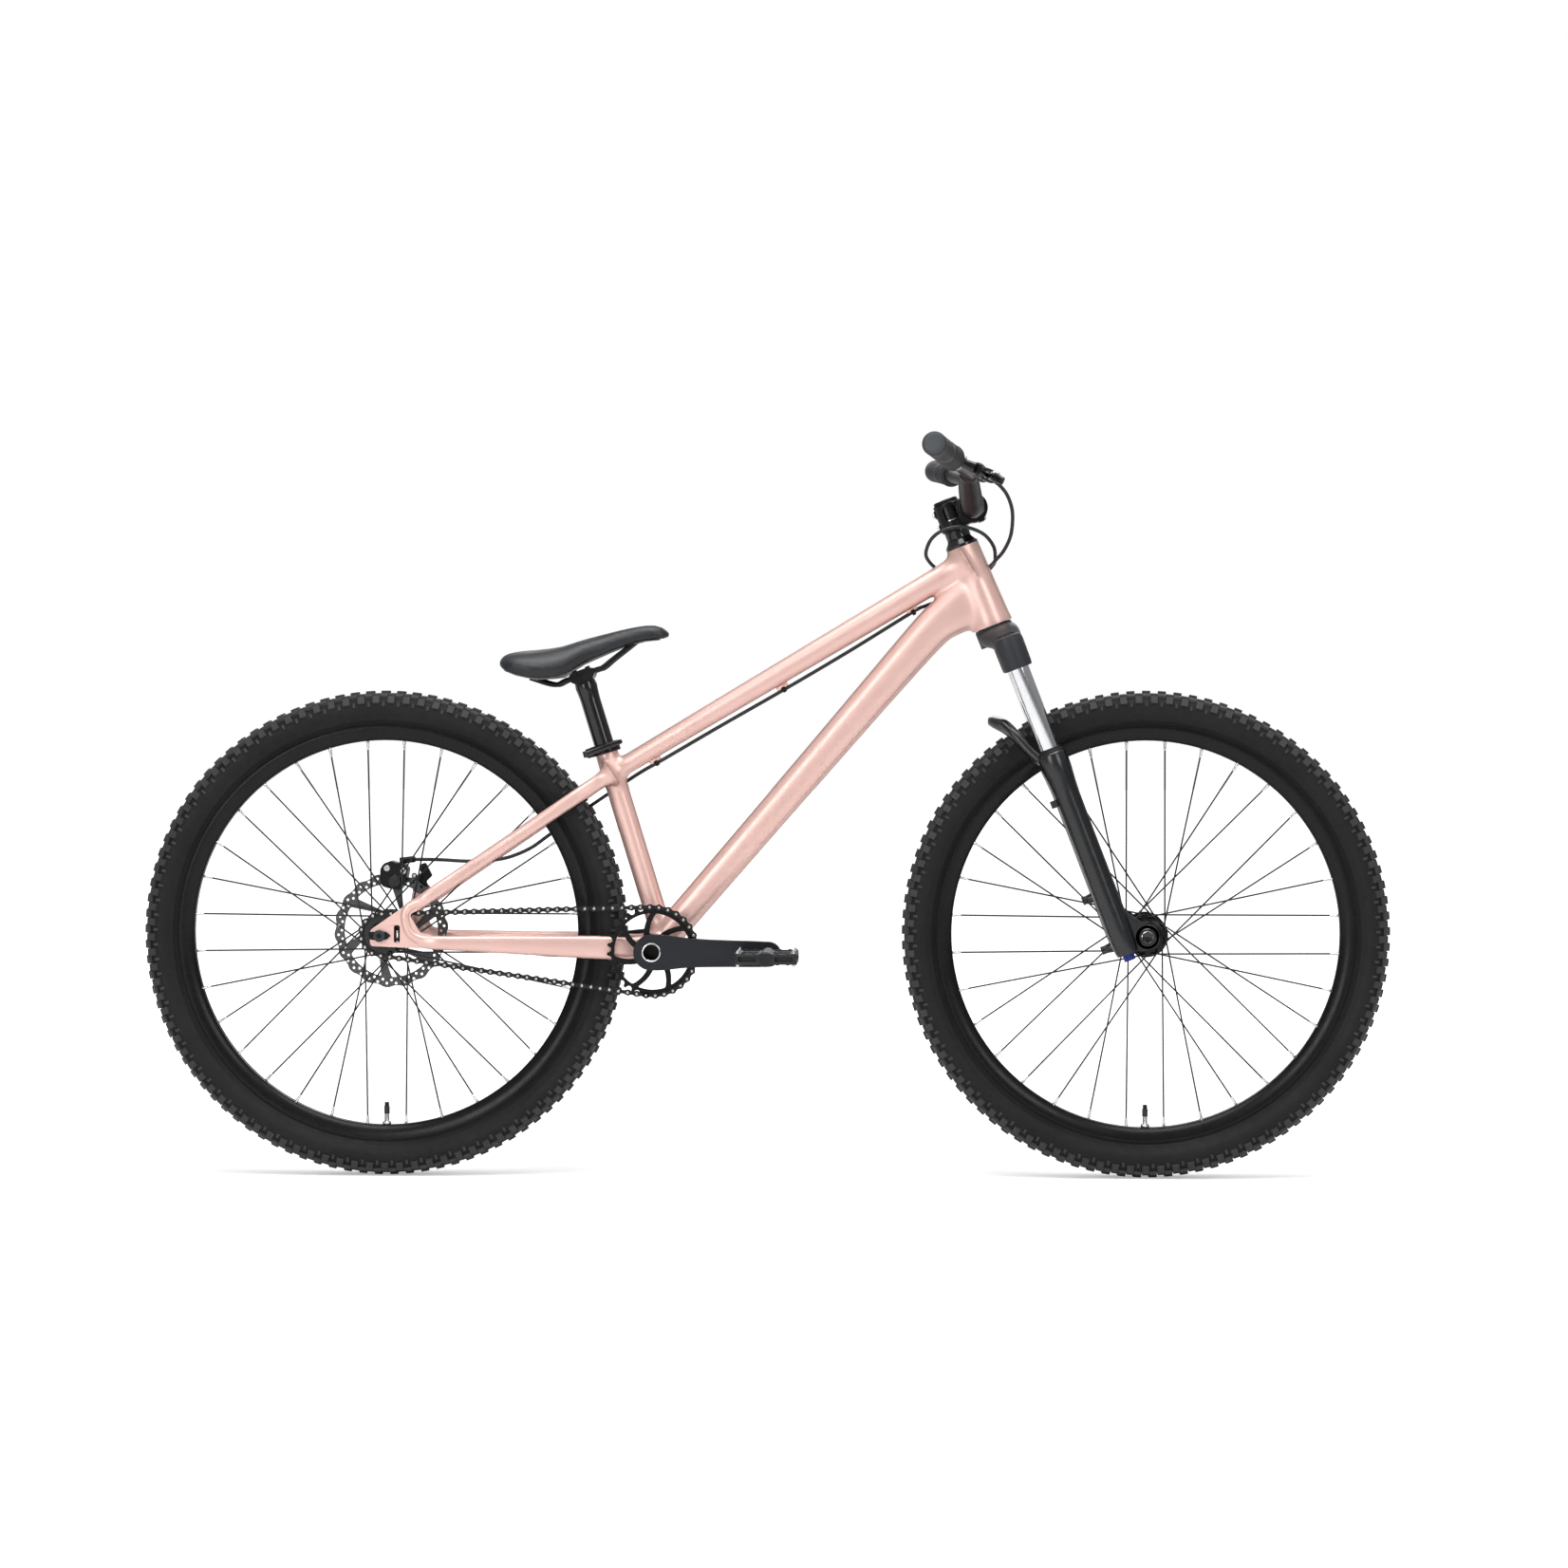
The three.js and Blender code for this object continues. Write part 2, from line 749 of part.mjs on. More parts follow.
// The rails' own frame, turned from the seat tube's: x along the rails and z square to them.
function onRails(geometry) {
  const tilt = Math.PI / 2 - seatAngle - railTilt;
  return geometry.rotateY(tilt).translate(0, 0, seatpostHead);
}

function railBlock(low, high) {
  const corners = [
    [-cradleLength / 2, high], [cradleLength / 2, high],
    [cradleLength / 2 - cradleTaper, low], [-cradleLength / 2 + cradleTaper, low],
  ];
  return onRails(plate(corners, -cradleHalfWidth, cradleHalfWidth));
}

function railCutter(side) {
  return onRails(rod(
    railRadius + gap,
    new THREE.Vector3(-cradleLength, side * railHalfSpacing, 0),
    new THREE.Vector3(cradleLength, side * railHalfSpacing, 0),
    8,
  ));
}

function seatpostClamp() {
  const top = plate([
    [-cradleLength / 2, gap], [cradleLength / 2, gap],
    [cradleLength / 2 - clampDepth, clampDepth], [-cradleLength / 2 + clampDepth, clampDepth],
  ], -cradleHalfWidth, cradleHalfWidth);
  return cutBy(onRails(top), [railCutter(1), railCutter(-1)]);
}

function seatCollar() {
  const inner = seatTubeRadius + gap;
  const outer = inner + collarWall;
  const foot = seatTubeLength - collarDrop;
  const ring = turnedUp([
    [inner, foot],
    [outer, foot],
    [outer, foot + collarHeight],
    [inner, foot + collarHeight],
  ], hubSides);
  const ears = block(
    collarEarLength,
    collarEarWidth,
    collarHeight,
    -outer - collarEarLength / 2 + collarWall / 2,
    0,
    foot + collarHeight / 2,
  );
  const slot = block(
    collarEarLength + overrun + collarWall,
    collarSlot,
    collarHeight + 2 * overrun,
    -outer - collarEarLength / 2,
    0,
    foot + collarHeight / 2,
  );
  const skewerX = -outer - collarEarLength / 2;
  const skewerReach = collarEarWidth / 2 + collarSkewerReach;
  const skewer = rod(
    collarSkewerRadius,
    new THREE.Vector3(skewerX, -skewerReach, foot + collarHeight / 2),
    new THREE.Vector3(skewerX, skewerReach, foot + collarHeight / 2),
    boltSides,
  );
  const split = solidOf(geometryOf(joined([ring, ears]))).subtract(solidOf(slot));
  return geometryOf(split.add(solidOf(skewer)));
}

// Cam lever beside the collar, on the right, closed forward.
function clampLever() {
  const outer = seatTubeRadius + gap + collarWall;
  const pivotX = -outer - collarEarLength / 2;
  const pivotY = -collarEarWidth / 2 - collarSkewerReach - gap - leverPivotRadius;
  const middle = seatTubeLength - collarDrop + collarHeight / 2;
  const cam = rod(
    leverPivotRadius,
    new THREE.Vector3(pivotX, pivotY, middle - leverWidth / 2),
    new THREE.Vector3(pivotX, pivotY, middle + leverWidth / 2),
    12,
  );
  const leverY = -Math.max(Math.abs(pivotY), outer + gap + leverThickness);
  const stations = leverShares.map((share) => ({
    at: new THREE.Vector3(
      pivotX + leverLength * share,
      leverY - leverThickness * leverBowShare * Math.sin(Math.PI * share),
      middle + leverTipRise * share,
    ),
    width: leverThickness,
    height: leverWidth * (1 - leverTaperShare * share),
  }));
  return geometryOf(joined([cam, tube(stations, lateral, 8, 3)]));
}

// Saddle rails: one wire, bent at the nose. Places are along and square to the rails' frame.
const railNoseAhead = 96;
const railNoseRise = 22;
const railTailBack = 68;
const railTailRise = 20;
const railStraightShares = [-1.053, -0.553, 0.553, 0.816]; // of the cradle's length
const railBendShares = [[0.5, 0.82, 0.273], [0.9, 0.5, 0.85]]; // ahead, out and up, from the nose
const railTailSpreadShare = 1.15;
const railSides = 6;
const railSteps = 28;

function railPath() {
  const half = [
    new THREE.Vector3(-railTailBack, railHalfSpacing * railTailSpreadShare, railTailRise),
    ...railStraightShares.map((share) => new THREE.Vector3(cradleLength * share, railHalfSpacing, 0)),
    ...railBendShares.map(([ahead, out, up]) => new THREE.Vector3(
      railNoseAhead * ahead,
      railHalfSpacing * out,
      railNoseRise * up,
    )),
  ];
  const nose = new THREE.Vector3(railNoseAhead, 0, railNoseRise);
  const other = half.map((point) => new THREE.Vector3(point.x, -point.y, point.z)).reverse();
  return [...half, nose, ...other];
}

function saddleRails() {
  return closed(onRails(cord(railPath(), railRadius, railSides, railSteps)));
}

const saddleNoseAhead = 119; // of the rails' middle
const saddleHalfWidth = 70;
const saddleNoseRise = 70;

// Cross-sections from tail to nose, as shares of these sizes: along, half width, crown and skirt
const saddleShares = [
  [-0.941, 0.571, 0.329, 0.186], [-0.874, 0.814, 0.429, 0.086], [-0.739, 0.957, 0.479, 0],
  [-0.504, 1, 0.507, -0.086], [-0.235, 0.886, 0.571, -0.043], [0, 0.657, 0.693, 0.214],
  [0.235, 0.443, 0.8, 0.386], [0.487, 0.343, 0.921, 0.564], [0.723, 0.314, 1, 0.671],
  [0.891, 0.264, 0.986, 0.7], [1, 0.157, 0.871, 0.729],
];
const saddleCrownShares = [
  [1, 0.36], [0.9, 0.66], [0.7, 0.88], [0.36, 0.985], [0, 0.955],
  [-0.36, 0.985], [-0.7, 0.88], [-0.9, 0.66], [-1, 0.36],
];
const saddleSkirtShares = [[-0.93, 0.04], [-0.72, 0], [-0.3, 0.1], [0.3, 0.1], [0.72, 0], [0.93, 0.04]];

function saddleForm() {
  const origin = along(seatFoot, seatUp, seatpostHead);
  const outline = [...saddleCrownShares, ...saddleSkirtShares];
  return loft(saddleShares.map(([ahead, half, crown, skirt]) => outline.map(([out, up]) => (
    new THREE.Vector3(
      origin.x + ahead * saddleNoseAhead,
      half * saddleHalfWidth * out,
      origin.z + saddleNoseRise * THREE.MathUtils.lerp(skirt, crown, up),
    )
  ))));
}

function saddle() {
  const clear = inSeatFrame(onRails(cord(railPath(), railRadius + gap, railSides, railSteps)));
  const room = inSeatFrame(onRails(block(
    cradleLength + 2 * overrun,
    2 * cradleHalfWidth + 2 * overrun,
    2 * clampDepth + overrun,
    0,
    0,
    0,
  )));
  return cutBy(saddleForm(), [clear, room]);
}

// Fork: crown with steerer, stanchions and lower legs, along the steering axis
const steererShort = 3; // of the stem's top
const steererTop = stemTop - steererShort;
const steererWall = 2.6;
const steererTaperShares = [0.224, 0.638]; // of the head tube's length
const [taperFoot, taperTop] = steererTaperShares.map((share) => headTubeFoot + share * headTubeLength);
const raceRadius = 25;
const raceTop = headTubeFoot - gap;
const bossRadius = 20.5;
const legRadius = 18;
const legCollarRadius = 20.2;
const legToeTaper = 3;
const legToeHeight = 16;
const legCollarHeight = 12;
const legFoot = -12;
const legBoreFoot = 22;
const bottomOutRoom = 5;
const stanchionFoot = legBoreFoot + forkTravel + bottomOutRoom;
const legSides = 14;

const crownLength = 50; // front to rear, at the middle
const crownDepth = 28;
const crownFall = crownTop - bossFoot;
const crownSquareness = 3;

// Crown arm: share of the way out to the stanchion, then of the length, the depth, the stanchions'
// lead and the fall of the arm's middle below the crown's top
const crownShares = [
  [0.3, 1, 0.857, 0.136, 0.203], [0.75, 0.8, 0.964, 0.7, 0.344], [1.05, 0.68, 1, 0.955, 0.484],
];

// Stations of one side, given from the middle outward by out, joined to the same on the other side.
function bothSides(half) {
  const place = (station, side) => {
    const at = station.at.clone();
    at.y = side * station.out * stanchionSpacing / 2;
    return { ...station, at };
  };
  const right = [...half].reverse().map((station) => place(station, -1));
  const left = half.filter((station) => station.out > 0).map((station) => place(station, 1));
  return [...right, ...left];
}

function stanchionPoint(side, height) {
  return new THREE.Vector3(stanchionAhead, side * stanchionSpacing / 2, height);
}

function forkCrown() {
  const half = crownShares.map(([out, length, depth, ahead, fall]) => ({
    out,
    at: new THREE.Vector3(stanchionAhead * ahead, 0, crownTop - crownFall * fall),
    width: length * crownLength,
    height: depth * crownDepth,
    up: upward,
  }));
  const arms = tube(bothSides(half), forward, tubeSides, crownSquareness);
  const bosses = [1, -1].map((side) => rod(
    bossRadius,
    stanchionPoint(side, bossFoot),
    stanchionPoint(side, bossTop),
    hubSides,
  ));
  const steerer = turnedUp([
    [0, crownFoot],
    [raceRadius, crownFoot],
    [raceRadius, raceTop],
    [steererFootRadius, raceTop],
    [steererFootRadius, taperFoot],
    [steererRadius, taperTop],
    [steererRadius, steererTop],
    [0, steererTop],
  ], hubSides);
  const bore = rod(
    steererRadius - steererWall,
    new THREE.Vector3(0, 0, crownFoot - crownTop),
    new THREE.Vector3(0, 0, steererTop + overrun),
    hubSides,
  );
  const sockets = [1, -1].map((side) => rod(
    stanchionRadius + gap,
    stanchionPoint(side, bossFoot - overrun),
    stanchionPoint(side, crownTop + overrun),
    legSides,
  ));
  return cutBy(geometryOf(joined([arms, ...bosses, steerer])), [bore, ...sockets]);
}

function stanchion(side) {
  return closed(rod(
    stanchionRadius,
    stanchionPoint(side, stanchionFoot),
    stanchionPoint(side, bossTop),
    legSides,
  ));
}

// Reverse arch behind the legs
const archReach = 57; // behind the legs
const archRise = 67; // above their tops
const archWidth = 16;
const archDepth = 22;
const archSquareness = 3;

// Share of the way out to the leg, then of the reach, the rise, the width and the depth
const archShares = [
  [0, 1, 1, 1, 0.636], [0.35, 0.947, 0.955, 0.94, 0.727], [0.7, 0.72, 0.72, 0.875, 0.86],
  [0.92, 0.38, 0.05, 0.875, 0.86], [0.98, 0, -0.328, 0.94, 1],
];
const hoseGuideSize = 11;
const hoseGuideWall = 2.4;
const hoseGuideLevel = 214;

// Fork end around the axle: shares of the way from the leg to the axle, and of the end's height
const forkEndThickness = 15;
const forkEndHeight = 78;
const forkEndShares = [
  [-0.455, 0.026], [-0.364, -0.141], [0.303, -0.154], [0.879, -0.223], [1.273, -0.192],
  [1.515, -0.038], [1.455, 0.115], [1.091, 0.224], [0.515, 0.564], [0.455, 1], [-0.303, 1],
];
const brakeBossRadius = 6;
const brakeBossReach = 13;
const brakeBossPitch = 74; // between the two posts of a disc brake
const brakeBossUpper = 69;
const brakeBossLevels = [brakeBossUpper, brakeBossUpper - brakeBossPitch];

function forkArch() {
  const half = archShares.map(([out, back, rise, width, depth]) => ({
    out,
    at: new THREE.Vector3(stanchionAhead - back * archReach, 0, lowersTop + rise * archRise),
    width: width * archWidth,
    height: depth * archDepth,
  }));
  return tube(bothSides(half), forward, boltSides, archSquareness);
}

function forkLeg(side) {
  const leg = turnedUp([
    [0, legFoot],
    [legRadius - legToeTaper, legFoot],
    [legRadius, legFoot + legToeHeight],
    [legRadius, lowersTop - legCollarHeight],
    [legCollarRadius, lowersTop - legCollarHeight],
    [legCollarRadius, lowersTop],
    [0, lowersTop],
  ], legSides);
  return leg.translate(stanchionAhead, side * stanchionSpacing / 2, 0);
}

function forkEnd(side) {
  const inner = frontSpacing / 2;
  const outer = inner + forkEndThickness;
  const corners = scaled(forkEndShares, forkOffset - stanchionAhead, forkEndHeight);
  const end = plate(corners, side > 0 ? inner : -outer, side > 0 ? outer : -inner);
  return end.translate(stanchionAhead, 0, 0);
}

function forkLowers() {
  const brakeBosses = brakeBossLevels.map((level) => rod(
    brakeBossRadius,
    stanchionPoint(1, level),
    along(stanchionPoint(1, level), forward, -legRadius - brakeBossReach),
    boltSides,
  ));
  const guideX = stanchionAhead - legRadius - hoseGuideSize / 2 + hoseGuideWall;
  const guide = block(
    hoseGuideSize,
    hoseGuideSize,
    hoseGuideSize,
    guideX,
    -stanchionSpacing / 2,
    hoseGuideLevel,
  );
  const guideHole = block(
    hoseGuideSize - 2 * hoseGuideWall,
    hoseGuideSize - 2 * hoseGuideWall,
    hoseGuideSize + overrun,
    guideX - hoseGuideWall / 2,
    -stanchionSpacing / 2,
    hoseGuideLevel,
  );
  const legs = [1, -1].flatMap((side) => [forkLeg(side), forkEnd(side)]);
  const whole = geometryOf(joined([...legs, forkArch(), ...brakeBosses, guide]));
  const bores = [1, -1].map((side) => rod(
    stanchionRadius + gap,
    stanchionPoint(side, legBoreFoot),
    stanchionPoint(side, crownFoot),
    legSides,
  ));
  const axleHole = rod(
    frontAxleRadius + gap,
    new THREE.Vector3(forkOffset, -stanchionSpacing, 0),
    new THREE.Vector3(forkOffset, stanchionSpacing, 0),
    hubSides,
  );
  return cutBy(whole, [...bores, axleHole, guideHole]);
}

const frontAxleHead = 12;
const frontAxleHeadDepth = 3;
const frontAxleBore = 8.3;

function frontAxlePin() {
  const outer = frontSpacing / 2 + forkEndThickness;
  return closed(turned([
    [frontAxleBore, -outer - frontAxleHeadDepth],
    [frontAxleHead, -outer - frontAxleHeadDepth],
    [frontAxleHead, -outer - gap],
    [frontAxleRadius, -outer - gap],
    [frontAxleRadius, outer],
    [frontAxleBore, outer],
  ], hubSides));
}

const knobRadius = 8;
const knobHeight = 9;

function reboundKnob() {
  const top = legFoot - gap;
  return closed(turnedUp([
    [0, top],
    [knobRadius, top],
    [knobRadius, top - knobHeight],
    [0, top - knobHeight],
  ], 12).translate(stanchionAhead, -stanchionSpacing / 2, 0));
}

// Cockpit, along the steering axis
const coverRadius = 22.6;
const coverHeight = 7;
const coverRim = 2.45;
const spacerRadius = 17;

function headsetSpacer() {
  const foot = headTubeTop + gap;
  const bore = steererRadius + gap;
  return closed(turnedUp([
    [bore, foot],
    [coverRadius, foot],
    [coverRadius, foot + coverRim],
    [spacerRadius, foot + coverHeight],
    [spacerRadius, spacerTop - gap],
    [bore, spacerTop - gap],
  ], headSides));
}

const stemClampRadius = 19;
const stemWidth = 46;
const stemBoltRadius = 4;
const stemBoltReach = 6;
const stemBoltLevelShares = [0.22, 0.72];
const faceplateSplit = 1.2;
const faceplateEarDepth = 10.25;
const faceplateEarReach = 1.5;
const stemFrontRadius = 20.5;
const stemWindowShare = 0.3;
const stemBodyShares = [0.78, 0.86, 0.47]; // of the width and height, and the level of its middle
const stemWindowAheadShare = 0.34;

function stem() {
  const barrel = rod(
    stemClampRadius,
    new THREE.Vector3(0, 0, spacerTop),
    new THREE.Vector3(0, 0, stemTop),
    hubSides,
  );
  const [bodyWidth, bodyHeight, bodyLevel] = stemBodyShares;
  const middle = spacerTop + stemHeight * bodyLevel;
  const body = block(
    barClampReach,
    stemWidth * bodyWidth,
    stemHeight * bodyHeight,
    barClampReach / 2,
    0,
    middle,
  );
  const clamp = rod(
    stemFrontRadius,
    new THREE.Vector3(barClampReach, -stemWidth / 2, barClampHeight),
    new THREE.Vector3(barClampReach, stemWidth / 2, barClampHeight),
    hubSides,
  );
  const bolts = stemBoltLevelShares.map((share) => rod(
    stemBoltRadius,
    new THREE.Vector3(-stemClampRadius - stemBoltReach, 0, spacerTop + stemHeight * share),
    new THREE.Vector3(-stemClampRadius + overrun / 2, 0, spacerTop + stemHeight * share),
    6,
  ));
  const bore = rod(
    steererRadius + gap,
    new THREE.Vector3(0, 0, spacerTop - overrun),
    new THREE.Vector3(0, 0, stemTop + overrun),
    hubSides,
  );
  const window = rod(
    stemHeight * stemWindowShare / 2 + gap,
    new THREE.Vector3(barClampReach * stemWindowAheadShare, -stemWidth, middle),
    new THREE.Vector3(barClampReach * stemWindowAheadShare, stemWidth, middle),
    boltSides,
  );
  const solid = solidOf(geometryOf(joined([barrel, body, clamp, ...bolts])));
  const cut = [bore, barBore(), faceplateRoom(faceplateSplit / 2)];
  const rest = cut.reduce((whole, cutter) => whole.subtract(solidOf(cutter)), solid);
  return geometryOf(rest.subtract(solidOf(window).subtract(solidOf(barrel))));
}

function barBore() {
  return rod(
    (barClampRadius + gap) * boreGrowth,
    new THREE.Vector3(barClampReach, -stemWidth, barClampHeight),
    new THREE.Vector3(barClampReach, stemWidth, barClampHeight),
    hubSides,
  );
}

function faceplateRoom(offset) {
  const depth = 2 * stemFrontRadius;
  return block(depth, 2 * stemWidth, 2 * depth, barClampReach + offset + depth / 2, 0, barClampHeight);
}

function stemFaceplate() {
  const clamp = rod(
    stemFrontRadius,
    new THREE.Vector3(barClampReach, -stemWidth / 2, barClampHeight),
    new THREE.Vector3(barClampReach, stemWidth / 2, barClampHeight),
    hubSides,
  );
  const ears = block(
    faceplateEarDepth,
    stemWidth,
    2 * (stemFrontRadius + faceplateEarReach),
    barClampReach + faceplateEarDepth / 2,
    0,
    barClampHeight,
  );
  const whole = joined([clamp, ears]).subtract(solidOf(barBore()));
  return geometryOf(whole.intersect(solidOf(faceplateRoom(faceplateSplit))));
}

const topCapThickness = 4;
const topCapBolt = 5;
const topCapBoltRise = 1;

function topCap() {
  const foot = stemTop + gap;
  return closed(turnedUp([
    [0, foot - overrun / 2],
    [steererRadius - steererWall - gap, foot - overrun / 2],
    [steererRadius - steererWall - gap, foot],
    [spacerRadius, foot],
    [spacerRadius, foot + topCapThickness],
    [topCapBolt, foot + topCapThickness],
    [topCapBolt, foot + topCapThickness + topCapBoltRise],
    [0, foot + topCapThickness + topCapBoltRise],
  ], hubSides));
}

// Handlebar: its outer bend from the clamp, and its end
const barBendOut = 122;
const barBendAhead = 10;
const barBendRise = 45.2;
const barEndBack = 24;
const barEndRise = 82.5;

// Shares of the way out to the bend, ahead and up, and of the clamp's extra radius
const barShares = [
  [0, 0, 0, 1], [0.213, 0, 0, 1], [0.344, 0.05, 0.066, 0.94], [0.475, 0.2, 0.288, 0.73],
  [0.721, 0.65, 0.73, 0.3125], [0.852, 0.95, 0.918, 0.104], [1, 1, 1, 0],
];
const barStations = barShares.map(([out, ahead, rise, size]) => ({
  out: out * barBendOut,
  ahead: barClampReach + ahead * barBendAhead,
  rise: rise * barBendRise,
  radius: THREE.MathUtils.lerp(barRadius, barClampRadius, size),
}));
barStations.push({
  out: barHalfWidth,
  ahead: barClampReach - barEndBack,
  rise: barEndRise,
  radius: barRadius,
});
const barSides = 12;

function barPoint(side, out) {
  const outer = barStations[barStations.length - 1];
  const bend = barStations[barStations.length - 2];
  const share = (out - bend.out) / (outer.out - bend.out);
  return new THREE.Vector3(
    THREE.MathUtils.lerp(bend.ahead, outer.ahead, share),
    side * out,
    barClampHeight + THREE.MathUtils.lerp(bend.rise, outer.rise, share),
  );
}

function barEnd(side, inner, outer) {
  return [barPoint(side, inner), barPoint(side, outer)];
}

function handlebar() {
  const half = barStations.slice(1).reverse().map((station) => ({ ...station, out: -station.out }));
  return tube([...half, ...barStations].map((station) => ({
    at: new THREE.Vector3(station.ahead, station.out, barClampHeight + station.rise),
    width: 2 * station.radius,
    height: 2 * station.radius,
  })), forward, barSides);
}

// Grip sleeve: share of its length from the inner end, radius as a share of the grip's
const gripShares = [[0, 1.12], [0.04, 1.12], [0.055, 0.98], [0.62, 1.04], [0.985, 1.03], [1, 0.95]];
const gripEndWall = 2.2;

function grip(side) {
  const [start, end] = barEnd(side, barHalfWidth - gripLength + gripEndWall, barHalfWidth);
  const run = end.clone().sub(start).normalize();
  const tip = along(end, run, gripEndWall + gap);
  const stations = gripShares.map(([share, size]) => ({
    at: between(start, tip, share),
    width: 2 * gripRadius * size,
    height: 2 * gripRadius * size,
  }));
  const boreRadius = (barRadius + gap) * boreGrowth;
  const bore = rod(boreRadius, along(start, run, -overrun), along(end, run, gap), hubSides);
  return cutBy(tube(stations, forward, barSides), [bore]);
}

// Brake lever on the right: clamp, hydraulic body and blade
const leverToGrip = 10; // between the lever's clamp and the grip
const leverClampOut = barHalfWidth - gripLength - leverToGrip;
const leverClampHalf = 7;
const leverClampRadius = 15.5;
const leverDrop = 44 * degree; // towards the ground from straight ahead
const masterAhead = 31;
const masterRadius = 9.5;
const masterLength = 70;
const masterInset = 8; // from the clamp's middle
const bladePivotInset = 32;
const masterOuter = leverClampOut - masterInset;
const masterInner = masterOuter - masterLength;
const bladePivotOut = leverClampOut - bladePivotInset;
const bladePivotAhead = 47;
const bladeThickness = 6;
const bladeHeight = 12;
const bladeReach = 124; // from the pivot to the tip
const bladeAhead = 87; // tip ahead of the bar
const bladeRootShare = 0.55;
const leverNeckFoot = 11; // inside the clamp's ring
const leverNeckWidth = 13;
const leverYokeWidth = 18;
const leverYokeHeight = 17;
const leverYokeTip = 5; // past the pivot
const leverSlotStart = 7; // ahead of the cylinder's axis

function leverPoint(out, distance) {
  const centre = barPoint(-1, out);
  return new THREE.Vector3(
    centre.x + distance * Math.cos(leverDrop),
    centre.y,
    centre.z - distance * Math.sin(leverDrop),
  );
}

function leverUp() {
  return new THREE.Vector3(Math.sin(leverDrop), 0, Math.cos(leverDrop));
}

function brakeMaster() {
  const clampRing = rod(
    leverClampRadius,
    leverPoint(leverClampOut + leverClampHalf, 0),
    leverPoint(leverClampOut - leverClampHalf, 0),
    hubSides,
  );
  const neck = tube([
    { at: leverPoint(leverClampOut, leverNeckFoot), width: leverNeckWidth, height: leverNeckWidth },
    { at: leverPoint(masterOuter, masterAhead), width: leverNeckWidth, height: leverNeckWidth },
  ], lateral, 4, 8);
  const cylinder = rod(
    masterRadius,
    leverPoint(masterOuter, masterAhead),
    leverPoint(masterInner, masterAhead),
    12,
  );
  const yoke = tube([
    { at: leverPoint(bladePivotOut, masterAhead), width: leverYokeWidth, height: leverYokeHeight },
    {
      at: leverPoint(bladePivotOut, bladePivotAhead + leverYokeTip),
      width: leverYokeWidth,
      height: leverYokeHeight,
    },
  ], lateral, 4, 8);
  const slotHeight = bladeHeight * bladeRootShare + 4 * gap;
  const slot = tube([
    { at: leverPoint(bladePivotOut, masterAhead + leverSlotStart), width: bladeReach, height: slotHeight },
    { at: leverPoint(bladePivotOut, bladeAhead), width: bladeReach, height: slotHeight },
  ], lateral, 4, 8);
  const boreRadius = (barRadius + gap) * boreGrowth;
  const bore = rod(boreRadius, barPoint(-1, masterInner), barPoint(-1, barHalfWidth), hubSides);
  return cutBy(geometryOf(joined([clampRing, neck, cylinder, yoke])), [bore, slot]);
}

// Shares of the blade's reach past the pivot, of its tip's distance ahead and of its height
const bladeShares = [
  [-0.065, 0.5, bladeRootShare], [0.081, 0.592, bladeRootShare], [0.145, 0.655, 0.9],
  [0.331, 0.724, 1], [0.66, 0.76, 0.95], [0.88, 0.85, 0.9], [1, 1, 0.7],
];

function brakeBlade() {
  const up = leverUp();
  const ahead = new THREE.Vector3(Math.cos(leverDrop), 0, -Math.sin(leverDrop));
  const rings = bladeShares.map(([out, distance, height]) => ovalRing(
    leverPoint(bladePivotOut + out * bladeReach, distance * bladeAhead),
    ahead,
    up,
    bladeThickness,
    bladeHeight * height,
    boltSides,
  ));
  return closed(loft(rings));
}

// Wheels, about their axles

// Where the tyre is widest: share of the way from the rim's edge to the ground
const tyreWaistShare = 0.44;
const tyreShoulderShares = [0.87, 1.35]; // of the half width and of the tread's thickness
const tyreCrownShare = 0.4;
const casingCrownShare = 0.62;
const tyreWaist = THREE.MathUtils.lerp(rimRadius, tyreRadius, tyreWaistShare);

function tyre() {
  const half = tyreWidth / 2;
  const beadOuter = rimWidth / 2 - rimFlange - gap;
  const beadInner = beadOuter - beadWidth;
  const [shoulderOut, shoulderDrop] = tyreShoulderShares;
  const right = [
    [beadInner, rimRadius - beadDepth],
    [beadOuter, rimRadius - beadDepth],
    [beadOuter, rimRadius + 2 * gap],
    [half, tyreWaist],
    [half * shoulderOut, tyreRadius - treadThickness * shoulderDrop],
    [half * tyreCrownShare, tyreRadius],
  ];
  const inside = tyreInside();
  const loop = [...right, ...mirrored(right), ...mirrored(inside).reverse(), ...[...inside].reverse()];
  return wheelRing(loop);
}

// The casing's inner outline, from the bead to the crown, as [out, radius].
function tyreInside() {
  const half = tyreWidth / 2;
  return [
    [rimWidth / 2 - rimFlange - gap - beadWidth, rimRadius + treadThickness / 2],
    [half - casingThickness, tyreWaist],
    [half * casingCrownShare, tyreRadius - treadThickness - casingThickness],
  ];
}

function mirrored(corners) {
  return [...corners].reverse().map(([out, radius]) => [-out, radius]);
}

// A ring whose flats, not its corners, lie on the stated radii, with a flat on the ground.
function wheelRing(loop) {
  const outline = loop.map(([out, radius]) => [radius * facetGrowth, out]);
  return closed(turned(outline, wheelSides).rotateY(Math.PI / wheelSides));
}

